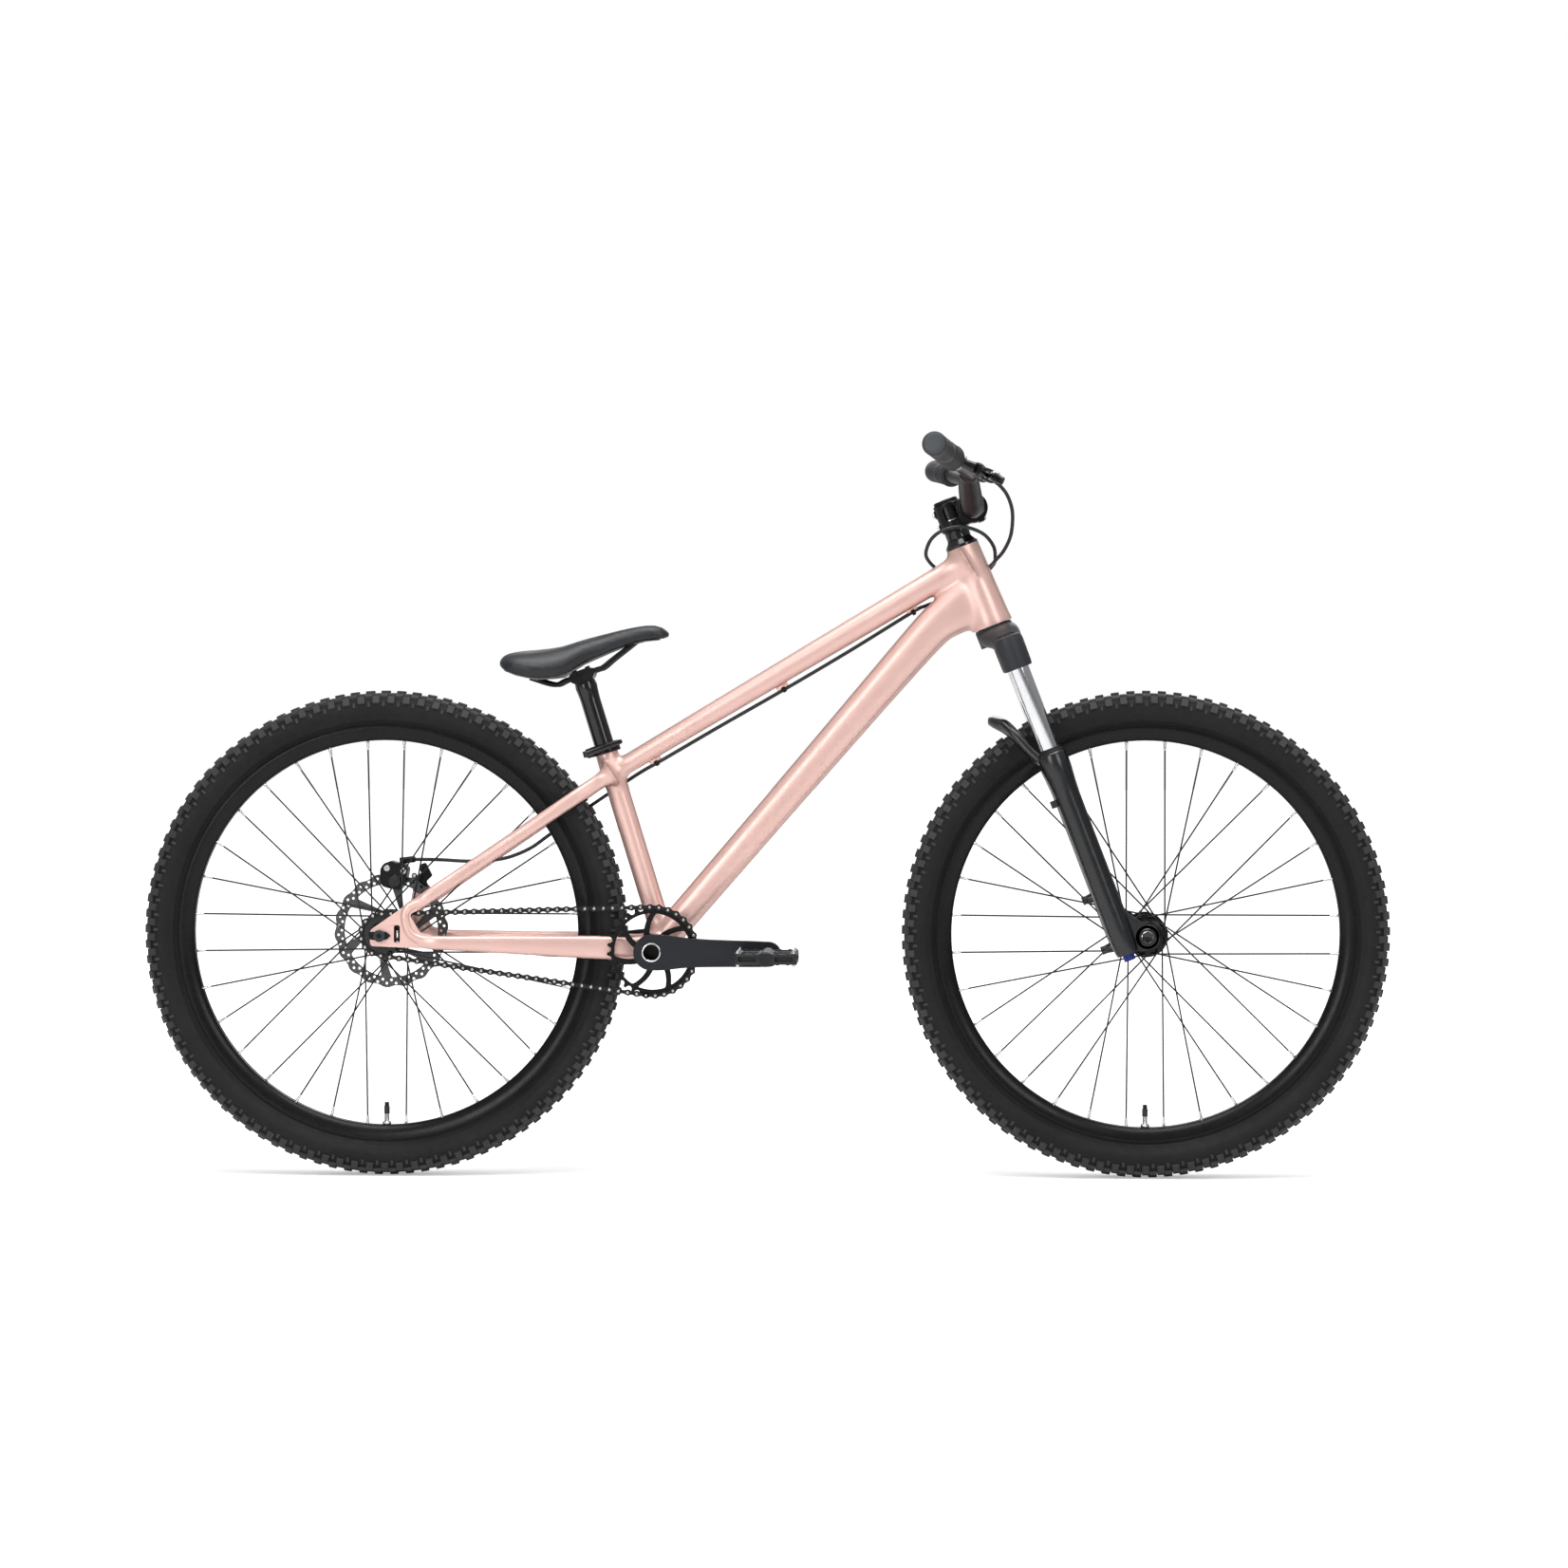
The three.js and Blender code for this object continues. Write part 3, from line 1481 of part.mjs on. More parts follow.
function innerTube() {
  const ease = 2 * gap;
  const [foot, waist, crown] = tyreInside();
  const outside = [
    [foot[0] - ease, foot[1] + ease],
    [waist[0] - ease, waist[1]],
    [crown[0] - ease, crown[1] - ease],
  ];
  const inside = [
    [foot[0] - ease - tubeWall, foot[1] + ease + tubeWall],
    [crown[0] - ease - tubeWall, crown[1] - ease - tubeWall],
  ];
  const ring = (corners) => wheelRing([...corners, ...mirrored(corners)]);
  const stemTip = -(rimInnerRadius - valveReach);
  const stem = rod(
    valveRadius,
    new THREE.Vector3(0, 0, -rimRadius - treadThickness),
    new THREE.Vector3(0, 0, stemTip),
    boltSides,
  );
  const bore = rod(
    valveBore,
    new THREE.Vector3(0, 0, -rimRadius - treadThickness - overrun),
    new THREE.Vector3(0, 0, stemTip + overrun),
    6,
  );
  return cutBy(geometryOf(joined([ring(outside), stem])), [ring(inside), bore]);
}

function rim() {
  const half = rimWidth / 2;
  const floor = rimRadius - rimDepthToFloor;
  const right = [
    [half - rimFlange, floor],
    [half - rimFlange, rimRadius],
    [half, rimRadius],
    [rimNoseHalf, rimInnerRadius],
  ];
  const ring = wheelRing([...right, ...mirrored(right)]);
  const hole = rod(
    valveRadius + gap,
    new THREE.Vector3(0, 0, -rimInnerRadius + overrun),
    new THREE.Vector3(0, 0, -rimRadius),
    boltSides,
  );
  return cutBy(ring, [hole]);
}

// Radius at which a spoke ends at this angle, just inside the rim's nearest flat.
function spokeReach(angle) {
  const flat = fullTurn / wheelSides;
  const offset = angle - flat * Math.round(angle / flat);
  return rimInnerRadius / Math.cos(offset) - 2 * gap;
}

// A square bar with two of its edges in the plane of the axle.
function spoke(start, end) {
  const run = end.clone().sub(start).normalize();
  const across = new THREE.Vector3().crossVectors(run, lateral).normalize();
  const edge = new THREE.Vector3().crossVectors(across, run);
  const half = spokeSize * Math.SQRT1_2;
  return loft([start, end].map((at) => [
    along(at, edge, half), along(at, across, half), along(at, edge, -half), along(at, across, -half),
  ]));
}

// Sixteen spokes on one side, crossed three times and touching where they cross.
function spokes(side, bed) {
  const step = fullTurn / spokesPerSide;
  const first = (side > 0 ? 1 : 3) * step / 4 + Math.PI / 2;
  const sweep = spokeCrossings * step;
  const rods = [];
  for (let i = 0; i < spokesPerSide; i += 1) {
    const rimAngle = first + i * step;
    const heading = i % 2 ? -1 : 1;
    const hubAngle = rimAngle + heading * sweep;
    const layer = spokeSize * (1 + heading * spokeLayerShare) / 2;
    const reach = spokeReach(rimAngle);
    rods.push(spoke(
      new THREE.Vector3(
        spokeHoleCircle * Math.cos(hubAngle),
        side * (Math.abs(bed) + spokeLift + layer),
        spokeHoleCircle * Math.sin(hubAngle),
      ),
      new THREE.Vector3(
        reach * Math.cos(rimAngle),
        side * (spokeRimOffset + layer),
        reach * Math.sin(rimAngle),
      ),
    ));
  }
  return geometryOf(joined(rods));
}

function rearHub() {
  const bore = (rearAxleRadius + gap) * boreGrowth;
  const right = rearFlangeRight - flangeThickness;
  const left = rearFlangeLeft + flangeThickness;
  const seatFace = discPlane - discThickness / 2 - gap;
  return closed(turned([
    [bore, -rearHubHalf],
    [driverRadius, -rearHubHalf],
    [driverRadius, right],
    [rearFlangeRadius, right],
    [rearFlangeRadius, rearFlangeRight],
    [hubShellRadius, rearFlangeRight + flangeFillet],
    [hubShellRadius, rearFlangeLeft - flangeFillet],
    [rearFlangeRadius, rearFlangeLeft],
    [rearFlangeRadius, left],
    [discSeatRadius, left],
    [discSeatOuter, seatFace],
    [discCentreRadius, seatFace],
    [discCentreRadius, rearHubHalf],
    [bore, rearHubHalf],
  ], hubSides));
}

const axleNutDepth = 8;
const axleNutRadius = 9;

function rearAxlePin() {
  const inner = dropoutInner - gap;
  const outer = dropoutInner + dropoutThickness + gap;
  const end = outer + axleNutDepth;
  const profile = [
    [0, -end], [axleNutRadius, -end], [axleNutRadius, -outer], [rearAxleRadius, -outer],
    [rearAxleRadius, -inner], [lockNutRadius, -inner], [lockNutRadius, -rearHubHalf - gap],
    [rearAxleRadius, -rearHubHalf - gap],
  ];
  const half = profile.map(([radius, y]) => [radius, -y]).reverse();
  return closed(turned([...profile, ...half], boltSides));
}

// Brake disc: outer band, inner ring and slanted arms
const discBand = 14;
const discRingOuter = 30;
const discArms = 6;
const discSides = 32;
const discInnerShares = [0, 0.5, 1]; // of a window, along its inner and outer edges
const discOuterShares = [1, 0.5, 0];
const discArmSweep = 24 * degree;
const discArmHalf = 6.5 * degree;

function brakeDisc() {
  const low = discPlane - discThickness / 2;
  const high = discPlane + discThickness / 2;
  const holes = [circle((discCentreRadius + gap) * boreGrowth, 0, 0, hubSides)];
  const bandInner = discRadius - discBand;
  for (let i = 0; i < discArms; i += 1) {
    const start = fullTurn * i / discArms + discArmHalf;
    const end = fullTurn * (i + 1) / discArms - discArmHalf;
    const span = end - start;
    const corners = discInnerShares.map((share) => polar(discRingOuter, start + span * share));
    const back = discOuterShares.map((share) => polar(
      bandInner,
      start + discArmSweep + span * share,
    ));
    holes.push([...corners, ...back]);
  }
  return closed(plate(circle(discRadius, 0, 0, discSides), low, high, holes));
}

function polar(radius, angle) {
  return [radius * Math.cos(angle), radius * Math.sin(angle)];
}

function frontHub() {
  const bore = (frontAxleRadius + gap) * boreGrowth;
  const right = frontFlangeRight;
  const left = frontFlangeLeft + flangeThickness;
  const barrel = bore + frontBarrelWall;
  return closed(turned([
    [bore, -frontHubHalf],
    [barrel, -frontHubHalf],
    [barrel, right],
    [frontFlangeRadius, right],
    [frontFlangeRadius, right + flangeThickness],
    [frontShellRadius, right + flangeThickness + flangeFillet],
    [frontShellRadius, frontFlangeLeft - flangeFillet],
    [frontFlangeRadius, frontFlangeLeft],
    [frontFlangeRadius, left],
    [discSeatRadius, left],
    [discSeatOuter, frontDiscFace],
    [barrel, frontDiscFace],
    [barrel, frontHubHalf],
    [bore, frontHubHalf],
  ], hubSides));
}

// Drivetrain

// A toothed disc as [x, z] corners: a valley and a tip for each tooth.
function toothedOutline(teeth, pitchRadius) {
  const corners = [];
  const root = pitchRadius - toothRoot;
  const tip = pitchRadius + toothHeight;
  for (let i = 0; i < teeth; i += 1) {
    const step = fullTurn / teeth;
    const angle = i * step;
    corners.push(polar(root, angle), polar(tip, angle + step / 2));
  }
  return corners;
}

const ringHubRadius = 20;
const ringBandDepth = 10.2; // from the pitch circle inward
const ringWindowShares = [1, 0.5, 0]; // of a window, along its outer edge
const ringSpokes = 7;
const ringSpokeHalf = 7 * degree;
const ringSpokePhase = 39 * degree;

function chainring() {
  const low = -chainLine - toothThickness / 2;
  const high = -chainLine + toothThickness / 2;
  const bandInner = ringPitchRadius - ringBandDepth;
  const windows = [];
  for (let i = 0; i < ringSpokes; i += 1) {
    const start = ringSpokePhase + fullTurn * i / ringSpokes + ringSpokeHalf;
    const end = ringSpokePhase + fullTurn * (i + 1) / ringSpokes - ringSpokeHalf;
    const inner = [0, 1].map((share) => polar(
      ringHubRadius,
      start + ringSpokeHalf + (end - start - 2 * ringSpokeHalf) * share,
    ));
    const outer = ringWindowShares.map((share) => polar(bandInner, start + (end - start) * share));
    windows.push([...inner, ...outer]);
  }
  windows.push(circle((spindleRadius + gap) * boreGrowth, 0, 0, hubSides));
  return closed(plate(toothedOutline(ringTeeth, ringPitchRadius), low, high, windows));
}

function rearCog() {
  const low = -chainLine - toothThickness / 2;
  const high = -chainLine + toothThickness / 2;
  const hole = circle((driverRadius + gap) * boreGrowth, 0, 0, hubSides);
  return closed(plate(toothedOutline(cogTeeth, cogPitchRadius), low, high, [hole]));
}

const ringSteps = 16; // chain's facets round the chainring and the cog
const cogSteps = 8;

// Outline of the taut loop round both sprockets, moved out by offset, from the bracket.
function chainOutline(offset) {
  const toAxle = new THREE.Vector2(rearAxle.x - bracket.x, rearAxle.z - bracket.z);
  const distance = toAxle.length();
  const heading = Math.atan2(toAxle.y, toAxle.x);
  const lean = Math.acos((ringPitchRadius - cogPitchRadius) / distance);
  const corners = [];
  for (let i = 0; i <= ringSteps; i += 1) {
    const angle = heading + lean + (fullTurn - 2 * lean) * i / ringSteps;
    corners.push(polar(ringPitchRadius + offset, angle));
  }
  for (let i = 0; i <= cogSteps; i += 1) {
    const angle = heading - lean + 2 * lean * i / cogSteps;
    const [x, z] = polar(cogPitchRadius + offset, angle);
    corners.push([x + toAxle.x, z + toAxle.y]);
  }
  return corners;
}

function chain() {
  const low = -chainLine - chainWidth / 2;
  const high = -chainLine + chainWidth / 2;
  const band = plate(chainOutline(chainHalfHeight), low, high, [chainOutline(-chainHalfHeight)]);
  const channel = plate(
    chainOutline(channelDepth),
    -chainLine - channelWidth / 2,
    -chainLine + channelWidth / 2,
  );
  return cutBy(band, [channel]);
}

// Crank arm outline from the spindle: along the arm as a share of its length, half height
const crankUpperShares = [[0.16, 0.93], [0.34, 0.8], [0.62, 0.74], [0.86, 0.72]];
const crankSides = 7;

function crankOutline(direction) {
  const corners = [];
  for (let i = 0; i <= crankSides; i += 1) {
    const angle = Math.PI * (0.5 + i / crankSides);
    corners.push([direction * crankHubRadius * Math.cos(angle), crankHubRadius * Math.sin(angle)]);
  }
  for (const [share, height] of crankUpperShares) {
    corners.push([direction * crankLength * share, -crankHubRadius * height]);
  }
  for (let i = 0; i <= crankSides; i += 1) {
    const angle = -Math.PI / 2 + Math.PI * i / crankSides;
    corners.push([
      direction * (crankLength + crankEndRadius * Math.cos(angle)),
      crankEndRadius * Math.sin(angle),
    ]);
  }
  for (const [share, height] of [...crankUpperShares].reverse()) {
    corners.push([direction * crankLength * share, crankHubRadius * height]);
  }
  return corners;
}

const bossRadiusAtSpindle = 18;
const spindleStand = 1;
const bossLap = 2; // how far a boss runs into its arm
const pedalCollarStep = 2;
const spindleWall = 2.5;
const pedalAxleRadius = 6;
const pedalAxleTip = 4.5; // radius inside the pedal's bearings
const pedalGap = 6;
const pedalWidth = 96;
const pedalLength = 84;
const pedalThickness = 17;
const pedalBossRadius = 9;
const pedalRail = 9;
const pedalRib = 8; // between the windows of each half
const pedalNotch = 5.8; // height of the groove along each end

function crankArm(side) {
  const direction = side < 0 ? 1 : -1;
  const inner = side * crankInner;
  const outer = side * (crankInner + crankThickness);
  const low = Math.min(inner, outer);
  const high = Math.max(inner, outer);
  const pedalHole = circle(pedalAxleRadius + gap, direction * crankLength, 0, 12);
  const arm = plate(crankOutline(direction), low, high, [pedalHole]);
  const bossTip = side < 0 ? -(chainLine + toothThickness / 2 + gap) : cupReach + gap;
  const boss = rod(
    bossRadiusAtSpindle,
    new THREE.Vector3(0, bossTip, 0),
    new THREE.Vector3(0, side * (crankInner + bossLap), 0),
    hubSides,
  );
  if (side > 0) {
    const bore = rod(
      spindleRadius + gap,
      new THREE.Vector3(0, 0, 0),
      new THREE.Vector3(0, outer + overrun, 0),
      hubSides,
    );
    return cutBy(geometryOf(joined([arm, boss])), [bore]).rotateY(crankDrop);
  }
  const spindle = rod(
    spindleRadius,
    new THREE.Vector3(0, outer - spindleStand, 0),
    new THREE.Vector3(0, crankInner + crankThickness + spindleStand, 0),
    hubSides,
  );
  const hollow = rod(
    spindleRadius - spindleWall,
    new THREE.Vector3(0, outer - overrun, 0),
    new THREE.Vector3(0, crankInner + crankThickness + overrun, 0),
    12,
  );
  return cutBy(geometryOf(joined([arm, boss, spindle])), [hollow]).rotateY(crankDrop);
}

function pedalPlace(side) {
  const direction = side < 0 ? 1 : -1;
  return [direction * crankLength * Math.cos(crankDrop), -direction * crankLength * Math.sin(crankDrop)];
}

function pedalAxle(side) {
  const [x, z] = pedalPlace(side);
  const armOuter = crankInner + crankThickness;
  const tip = armOuter + pedalGap + pedalWidth - pedalRail;
  return closed(turned([
    [0, side * crankInner],
    [pedalAxleRadius, side * crankInner],
    [pedalAxleRadius, side * (armOuter + gap)],
    [pedalAxleRadius + pedalCollarStep, side * (armOuter + gap)],
    [pedalAxleRadius + pedalCollarStep, side * (armOuter + pedalGap - gap)],
    [pedalAxleTip, side * (armOuter + pedalGap - gap)],
    [pedalAxleTip, side * tip],
    [0, side * tip],
  ], 12).translate(x, 0, z));
}

function pedal(side) {
  const [x, z] = pedalPlace(side);
  const inner = crankInner + crankThickness + pedalGap;
  const middle = inner + pedalWidth / 2;
  const body = block(pedalLength, pedalWidth, pedalThickness, 0, side * middle, 0);
  const boss = rod(
    pedalBossRadius,
    new THREE.Vector3(0, side * inner, 0),
    new THREE.Vector3(0, side * (inner + pedalWidth), 0),
    12,
  );
  const windowLength = (pedalLength - 2 * pedalRail) / 2 - pedalBossRadius;
  const windowWidth = (pedalWidth - pedalRib) / 2 - pedalRail;
  const windows = [-1, 1].flatMap((end) => [-1, 1].map((half) => block(
    windowLength,
    windowWidth,
    pedalThickness + overrun,
    end * (pedalBossRadius + windowLength / 2),
    side * middle + half * (pedalRib + windowWidth) / 2,
    0,
  )));
  const bore = rod(
    pedalAxleTip + gap,
    new THREE.Vector3(0, side * (inner - overrun), 0),
    new THREE.Vector3(0, side * (inner + pedalWidth - pedalRail + gap), 0),
    12,
  );
  const sides = [-1, 1].map((end) => block(
    pedalRail,
    pedalWidth - 2 * pedalRail,
    pedalNotch,
    end * (pedalLength / 2),
    side * middle,
    0,
  ));
  const whole = geometryOf(joined([body, boss]));
  return cutBy(whole, [...windows, bore, ...sides]).translate(x, 0, z);
}

// Rear brake: caliper over the disc and the bracket that carries it, from the rear axle

// The caliper's side, as shares of the disc's radius
const caliperShares = [
  [-0.2125, 0.8], [-0.175, 0.7], [-0.05, 0.6625], [0.15, 0.6625], [0.275, 0.725],
  [0.35, 0.9], [0.3375, 1.1], [0.225, 1.2], [-0.025, 1.225], [-0.1625, 1.15],
];
const caliperCorners = scaled(caliperShares, discRadius);
const caliperInner = 36;
const caliperOuter = 66.6;
const banjoRadius = 4;
const banjoLength = 20;
const banjoAhead = 34;
const banjoRise = 99.4;
const hoseEndOut = 46;
const discSlot = 4;
const caliperSlotTop = 84;
const bracketPlateInner = 58;
const adapterShares = [
  [0.375, 0.6875], [0.525, 0.625], [0.65, 0.75], [0.625, 0.925], [0.75, 1],
  [0.725, 1.1875], [0.55, 1.2125], [0.425, 1.1], [0.35625, 0.875],
];

function caliper() {
  const body = plate(caliperCorners, caliperInner, caliperOuter);
  const slot = plate(
    circle(caliperSlotTop, 0, 0, discSides),
    discPlane - discSlot / 2,
    discPlane + discSlot / 2,
  );
  const banjo = rod(
    banjoRadius,
    new THREE.Vector3(banjoAhead - banjoLength, hoseEndOut, banjoRise),
    new THREE.Vector3(banjoAhead, hoseEndOut, banjoRise),
    10,
  );
  return cutBy(geometryOf(joined([body, banjo])), [slot]);
}

function caliperBracket() {
  const corners = scaled(adapterShares, discRadius);
  const blank = plate(corners, bracketPlateInner, dropoutInner - gap);
  const room = plate(caliperCorners, caliperInner - gap, caliperOuter + gap).translate(gap, 0, 0);
  return cutBy(blank, [room, plate(caliperCorners, caliperInner - gap, dropoutInner)]);
}

// Brake hose: its route by hand, from the lever to the caliper, as [x, y, z]
const hoseSides = 8;
const hoseSteps = 56;
const hoseRoute = [
  [301.8, -157.2, 957.5], [303.2, -150, 957], [310, -140, 954], [322, -125, 946], [333, -108, 932],
  [339.5, -86, 911], [338, -58, 883], [329, -38, 862], [317, -12, 848], [310.3, 15, 841.6],
  [297.5, 32, 835.6], [262, 35, 831], [238, 24, 838], [226, 8, 848], [222, -10, 859],
  [228.5, -25, 876], [242, -32, 887.5], [259, -34, 893], [279, -32, 893], [301, -29, 884],
  [314.5, -18, 868], [317.2, 3, 852], [314.1, 23, 842.5], [299.5, 39, 829], [266, 41, 808],
  [240, 24, 794], [220, 7, 786], [203, 0, 777.5], [115.7, 0, 723.7], [26.7, 0, 671.2],
  [-62, 0, 620.5], [-140, 1, 575], [-166, 8, 560.5], [-188, 23, 547], [-215, 32, 529],
  [-246, 36, 508], [-275, 37, 488], [-303, 36, 468], [-327, 35.5, 451], [-355, 35.5, 439],
  [-380, 35.5, 434], [-415, 36, 432.5], [-449, 41, 434], [-470, 45, 434.4], [-489.7, 46, 434.4],
];

function brakeHose() {
  const points = hoseRoute.map(([x, y, z]) => new THREE.Vector3(x, y, z));
  return closed(cord(points, hoseRadius, hoseSides, hoseSteps));
}

add(steering, 'head_tube', headTube(), paint);
const lowerBore = (steererFootRadius + gap) * boreGrowth;
const upperBore = (steererRadius + gap) * boreGrowth;
const lowerBearing = bearing(lowerBearingRadius, lowerBore, headTubeFoot + gap);
const upperBearing = bearing(upperBearingRadius, upperBore, headTubeTop - bearingHeight);
add(steering, 'headset_bearing_lower', lowerBearing, steel);
add(steering, 'headset_bearing_upper', upperBearing, steel);
add(bicycle, 'top_tube', topTube(), paint);
add(bicycle, 'down_tube', downTube(), paint);
add(bicycle, 'seat_tube', seatTube(), paint);
add(drive, 'bottom_bracket_shell', bracketShell(), paint);
for (const [name, side] of [['left', 1], ['right', -1]]) {
  add(bicycle, `chainstay_${name}`, chainstay(side), paint);
  add(bicycle, `seatstay_${name}`, seatstay(side), paint);
  add(drive, `bracket_cup_${name}`, bracketCup(side), blackPaint);
}
add(seat, 'seat_collar', seatCollar(), blackPaint);
add(seat, 'seat_clamp_lever', clampLever(), blackPaint);
add(seat, 'seatpost', seatpost(), blackPaint);
add(seat, 'seatpost_clamp', seatpostClamp(), blackPaint);
add(seat, 'saddle_rails', saddleRails(), blackPaint);
add(bicycle, 'saddle', saddle(), saddleCover);
add(bicycle, 'brake_hose', brakeHose(), rubber);
add(steering, 'fork_crown', forkCrown(), greyCast);
for (const [name, side] of [['left', 1], ['right', -1]]) {
  add(steering, `stanchion_${name}`, stanchion(side), chrome);
  add(steering, `grip_${name}`, grip(side), gripRubber);
  add(drive, `crank_arm_${name}`, crankArm(side), darkAlloy);
  add(drive, `pedal_axle_${name}`, pedalAxle(side), steel);
  add(drive, `pedal_${name}`, pedal(side), plastic);
}
add(steering, 'fork_lowers', forkLowers(), blackPaint);
add(steering, 'rebound_knob', reboundKnob(), blueKnob);
add(steering, 'headset_spacer', headsetSpacer(), blackPaint);
add(steering, 'stem', stem(), blackPaint);
add(steering, 'stem_faceplate', stemFaceplate(), blackPaint);
add(steering, 'top_cap', topCap(), blackPaint);
add(steering, 'handlebar', handlebar(), barAlloy);
add(steering, 'brake_lever_body', brakeMaster(), blackPaint);
add(steering, 'brake_lever', brakeBlade(), blackPaint);
for (const [name, wheel, beds] of [
  ['front', frontWheel, [frontFlangeLeft + flangeThickness, frontFlangeRight]],
  ['rear', rearWheel, [rearFlangeLeft + flangeThickness, rearFlangeRight - flangeThickness]],
]) {
  add(wheel, `${name}_tyre`, tyre(), rubber);
  add(wheel, `${name}_inner_tube`, innerTube(), rubber);
  add(wheel, `${name}_rim`, rim(), blackPaint);
  add(wheel, `${name}_spokes_left`, spokes(1, beds[0]), steel);
  add(wheel, `${name}_spokes_right`, spokes(-1, beds[1]), steel);
}
add(frontWheel, 'front_hub', frontHub(), blackPaint);
add(frontWheel, 'front_axle', frontAxlePin(), blackPaint);
add(rearWheel, 'rear_hub', rearHub(), blackPaint);
add(rearWheel, 'rear_axle', rearAxlePin(), blackPaint);
add(rearWheel, 'brake_disc', brakeDisc(), steel);
add(rearWheel, 'brake_caliper', caliper(), blackPaint);
add(rearWheel, 'caliper_bracket', caliperBracket(), blackPaint);
add(rearWheel, 'rear_cog', rearCog(), steel);
add(drive, 'chainring', chainring(), blackPaint);
add(drive, 'chain', chain(), chainSteel);

export default bicycle;
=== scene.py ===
# Dirt jump bicycle dressed over its CAD frame. Sizes are in millimetres until a mesh is made.
from math import acos, asin, atan2, copysign, cos, hypot, pi, radians, sin, sqrt

import bmesh
import bpy
from mathutils import Matrix, Vector
from mathutils.geometry import tessellate_polygon


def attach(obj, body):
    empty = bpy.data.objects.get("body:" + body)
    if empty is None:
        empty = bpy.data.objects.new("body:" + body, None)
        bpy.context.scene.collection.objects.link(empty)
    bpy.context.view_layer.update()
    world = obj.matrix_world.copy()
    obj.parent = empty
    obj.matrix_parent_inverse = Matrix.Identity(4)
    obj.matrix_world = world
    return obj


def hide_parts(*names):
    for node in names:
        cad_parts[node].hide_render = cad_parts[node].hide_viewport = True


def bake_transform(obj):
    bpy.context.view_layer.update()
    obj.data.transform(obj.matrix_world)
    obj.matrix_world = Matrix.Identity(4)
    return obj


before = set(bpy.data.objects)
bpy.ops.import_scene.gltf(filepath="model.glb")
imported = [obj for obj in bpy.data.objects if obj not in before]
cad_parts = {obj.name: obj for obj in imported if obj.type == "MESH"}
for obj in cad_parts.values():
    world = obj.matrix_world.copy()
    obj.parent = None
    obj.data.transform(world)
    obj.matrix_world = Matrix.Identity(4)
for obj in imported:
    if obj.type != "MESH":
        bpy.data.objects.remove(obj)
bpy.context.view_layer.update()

MM = 0.001
TURN = 2 * pi
X, Y, Z = Vector((1, 0, 0)), Vector((0, 1, 0)), Vector((0, 0, 1))

# Places and directions shared by the pieces
HEAD, SEAT = radians(69), radians(73)
STEER_UP = Vector((-cos(HEAD), 0, sin(HEAD)))
STEER_AHEAD = Vector((sin(HEAD), 0, cos(HEAD)))
SEAT_UP = Vector((-cos(SEAT), 0, sin(SEAT)))
SEAT_AHEAD = Vector((sin(SEAT), 0, cos(SEAT)))
REAR, FRONT = Vector((-524, 0, 335)), Vector((524, 0, 335))
CHAINSTAY, BRACKET_LEVEL = 373, 313
BRACKET = Vector((REAR.x + sqrt(CHAINSTAY ** 2 - (REAR.z - BRACKET_LEVEL) ** 2), 0, BRACKET_LEVEL))
AXLE_AHEAD = 44
STEER_FOOT = FRONT - AXLE_AHEAD * STEER_AHEAD
SEAT_FOOT = BRACKET + 15.5 * SEAT_AHEAD
RAIL_TILT = radians(19.6)
RAIL_AHEAD = Matrix.Rotation(-RAIL_TILT, 3, "Y") @ X
RAIL_UP = Matrix.Rotation(-RAIL_TILT, 3, "Y") @ Z

# Measures shared by the pieces
LEG_AHEAD, LEG_OUT = 11, 65
BAR_AHEAD, BAR_LEVEL = 32, 632
RAIL_OUT, RAIL_LEVEL = 22, 391
STAY_OUT = 70.5
CRANK, PEDAL_OUT = 160, 133
LINK = 12.7
SIDES = {1: "left", -1: "right"}


def steer(ahead, out, up):
    """A point measured from the foot of the steering line."""
    return STEER_FOOT + STEER_AHEAD * ahead + Y * out + STEER_UP * up


def seat(ahead, out, up):
    """A point measured from the foot of the seat tube."""
    return SEAT_FOOT + SEAT_AHEAD * ahead + Y * out + SEAT_UP * up


def rails(ahead, out, up):
    """A point measured from the middle of the saddle's tilted rails."""
    return seat(0, 0, RAIL_LEVEL) + RAIL_AHEAD * ahead + Y * out + RAIL_UP * up


def leg(side):
    """Foot and direction of a fork leg's middle line."""
    return steer(LEG_AHEAD, side * LEG_OUT, 0), STEER_UP


STEERER, POST = (steer(0, 0, 0), STEER_UP), (seat(0, 0, 0), SEAT_UP)
BAR_SEAT = steer(BAR_AHEAD, 0, BAR_LEVEL), Y
TOP_HEAD, TOP_SEAT = steer(0, 0, 566), seat(0, 0, 250)


def lerp(a, b, t):
    return a + (b - a) * t


# Camera: level with the bicycle's middle, a little ahead of and above its right side
camera = bpy.data.objects.new("camera", bpy.data.cameras.new("camera"))
bpy.context.collection.objects.link(camera)
target = Vector((0.0267, 0, 0.5412))
turn, rise = radians(2.15), radians(1.45)
away = Vector((sin(turn) * cos(rise), -cos(turn) * cos(rise), sin(rise)))
camera.location = target + 5.97 * away
camera.rotation_euler = (target - camera.location).to_track_quat("-Z", "Y").to_euler()
camera.data.lens = 99.42
camera.data.sensor_width = 36
camera.data.clip_end = 100
bpy.context.scene.camera = camera
bpy.context.scene.view_settings.view_transform = "Standard"


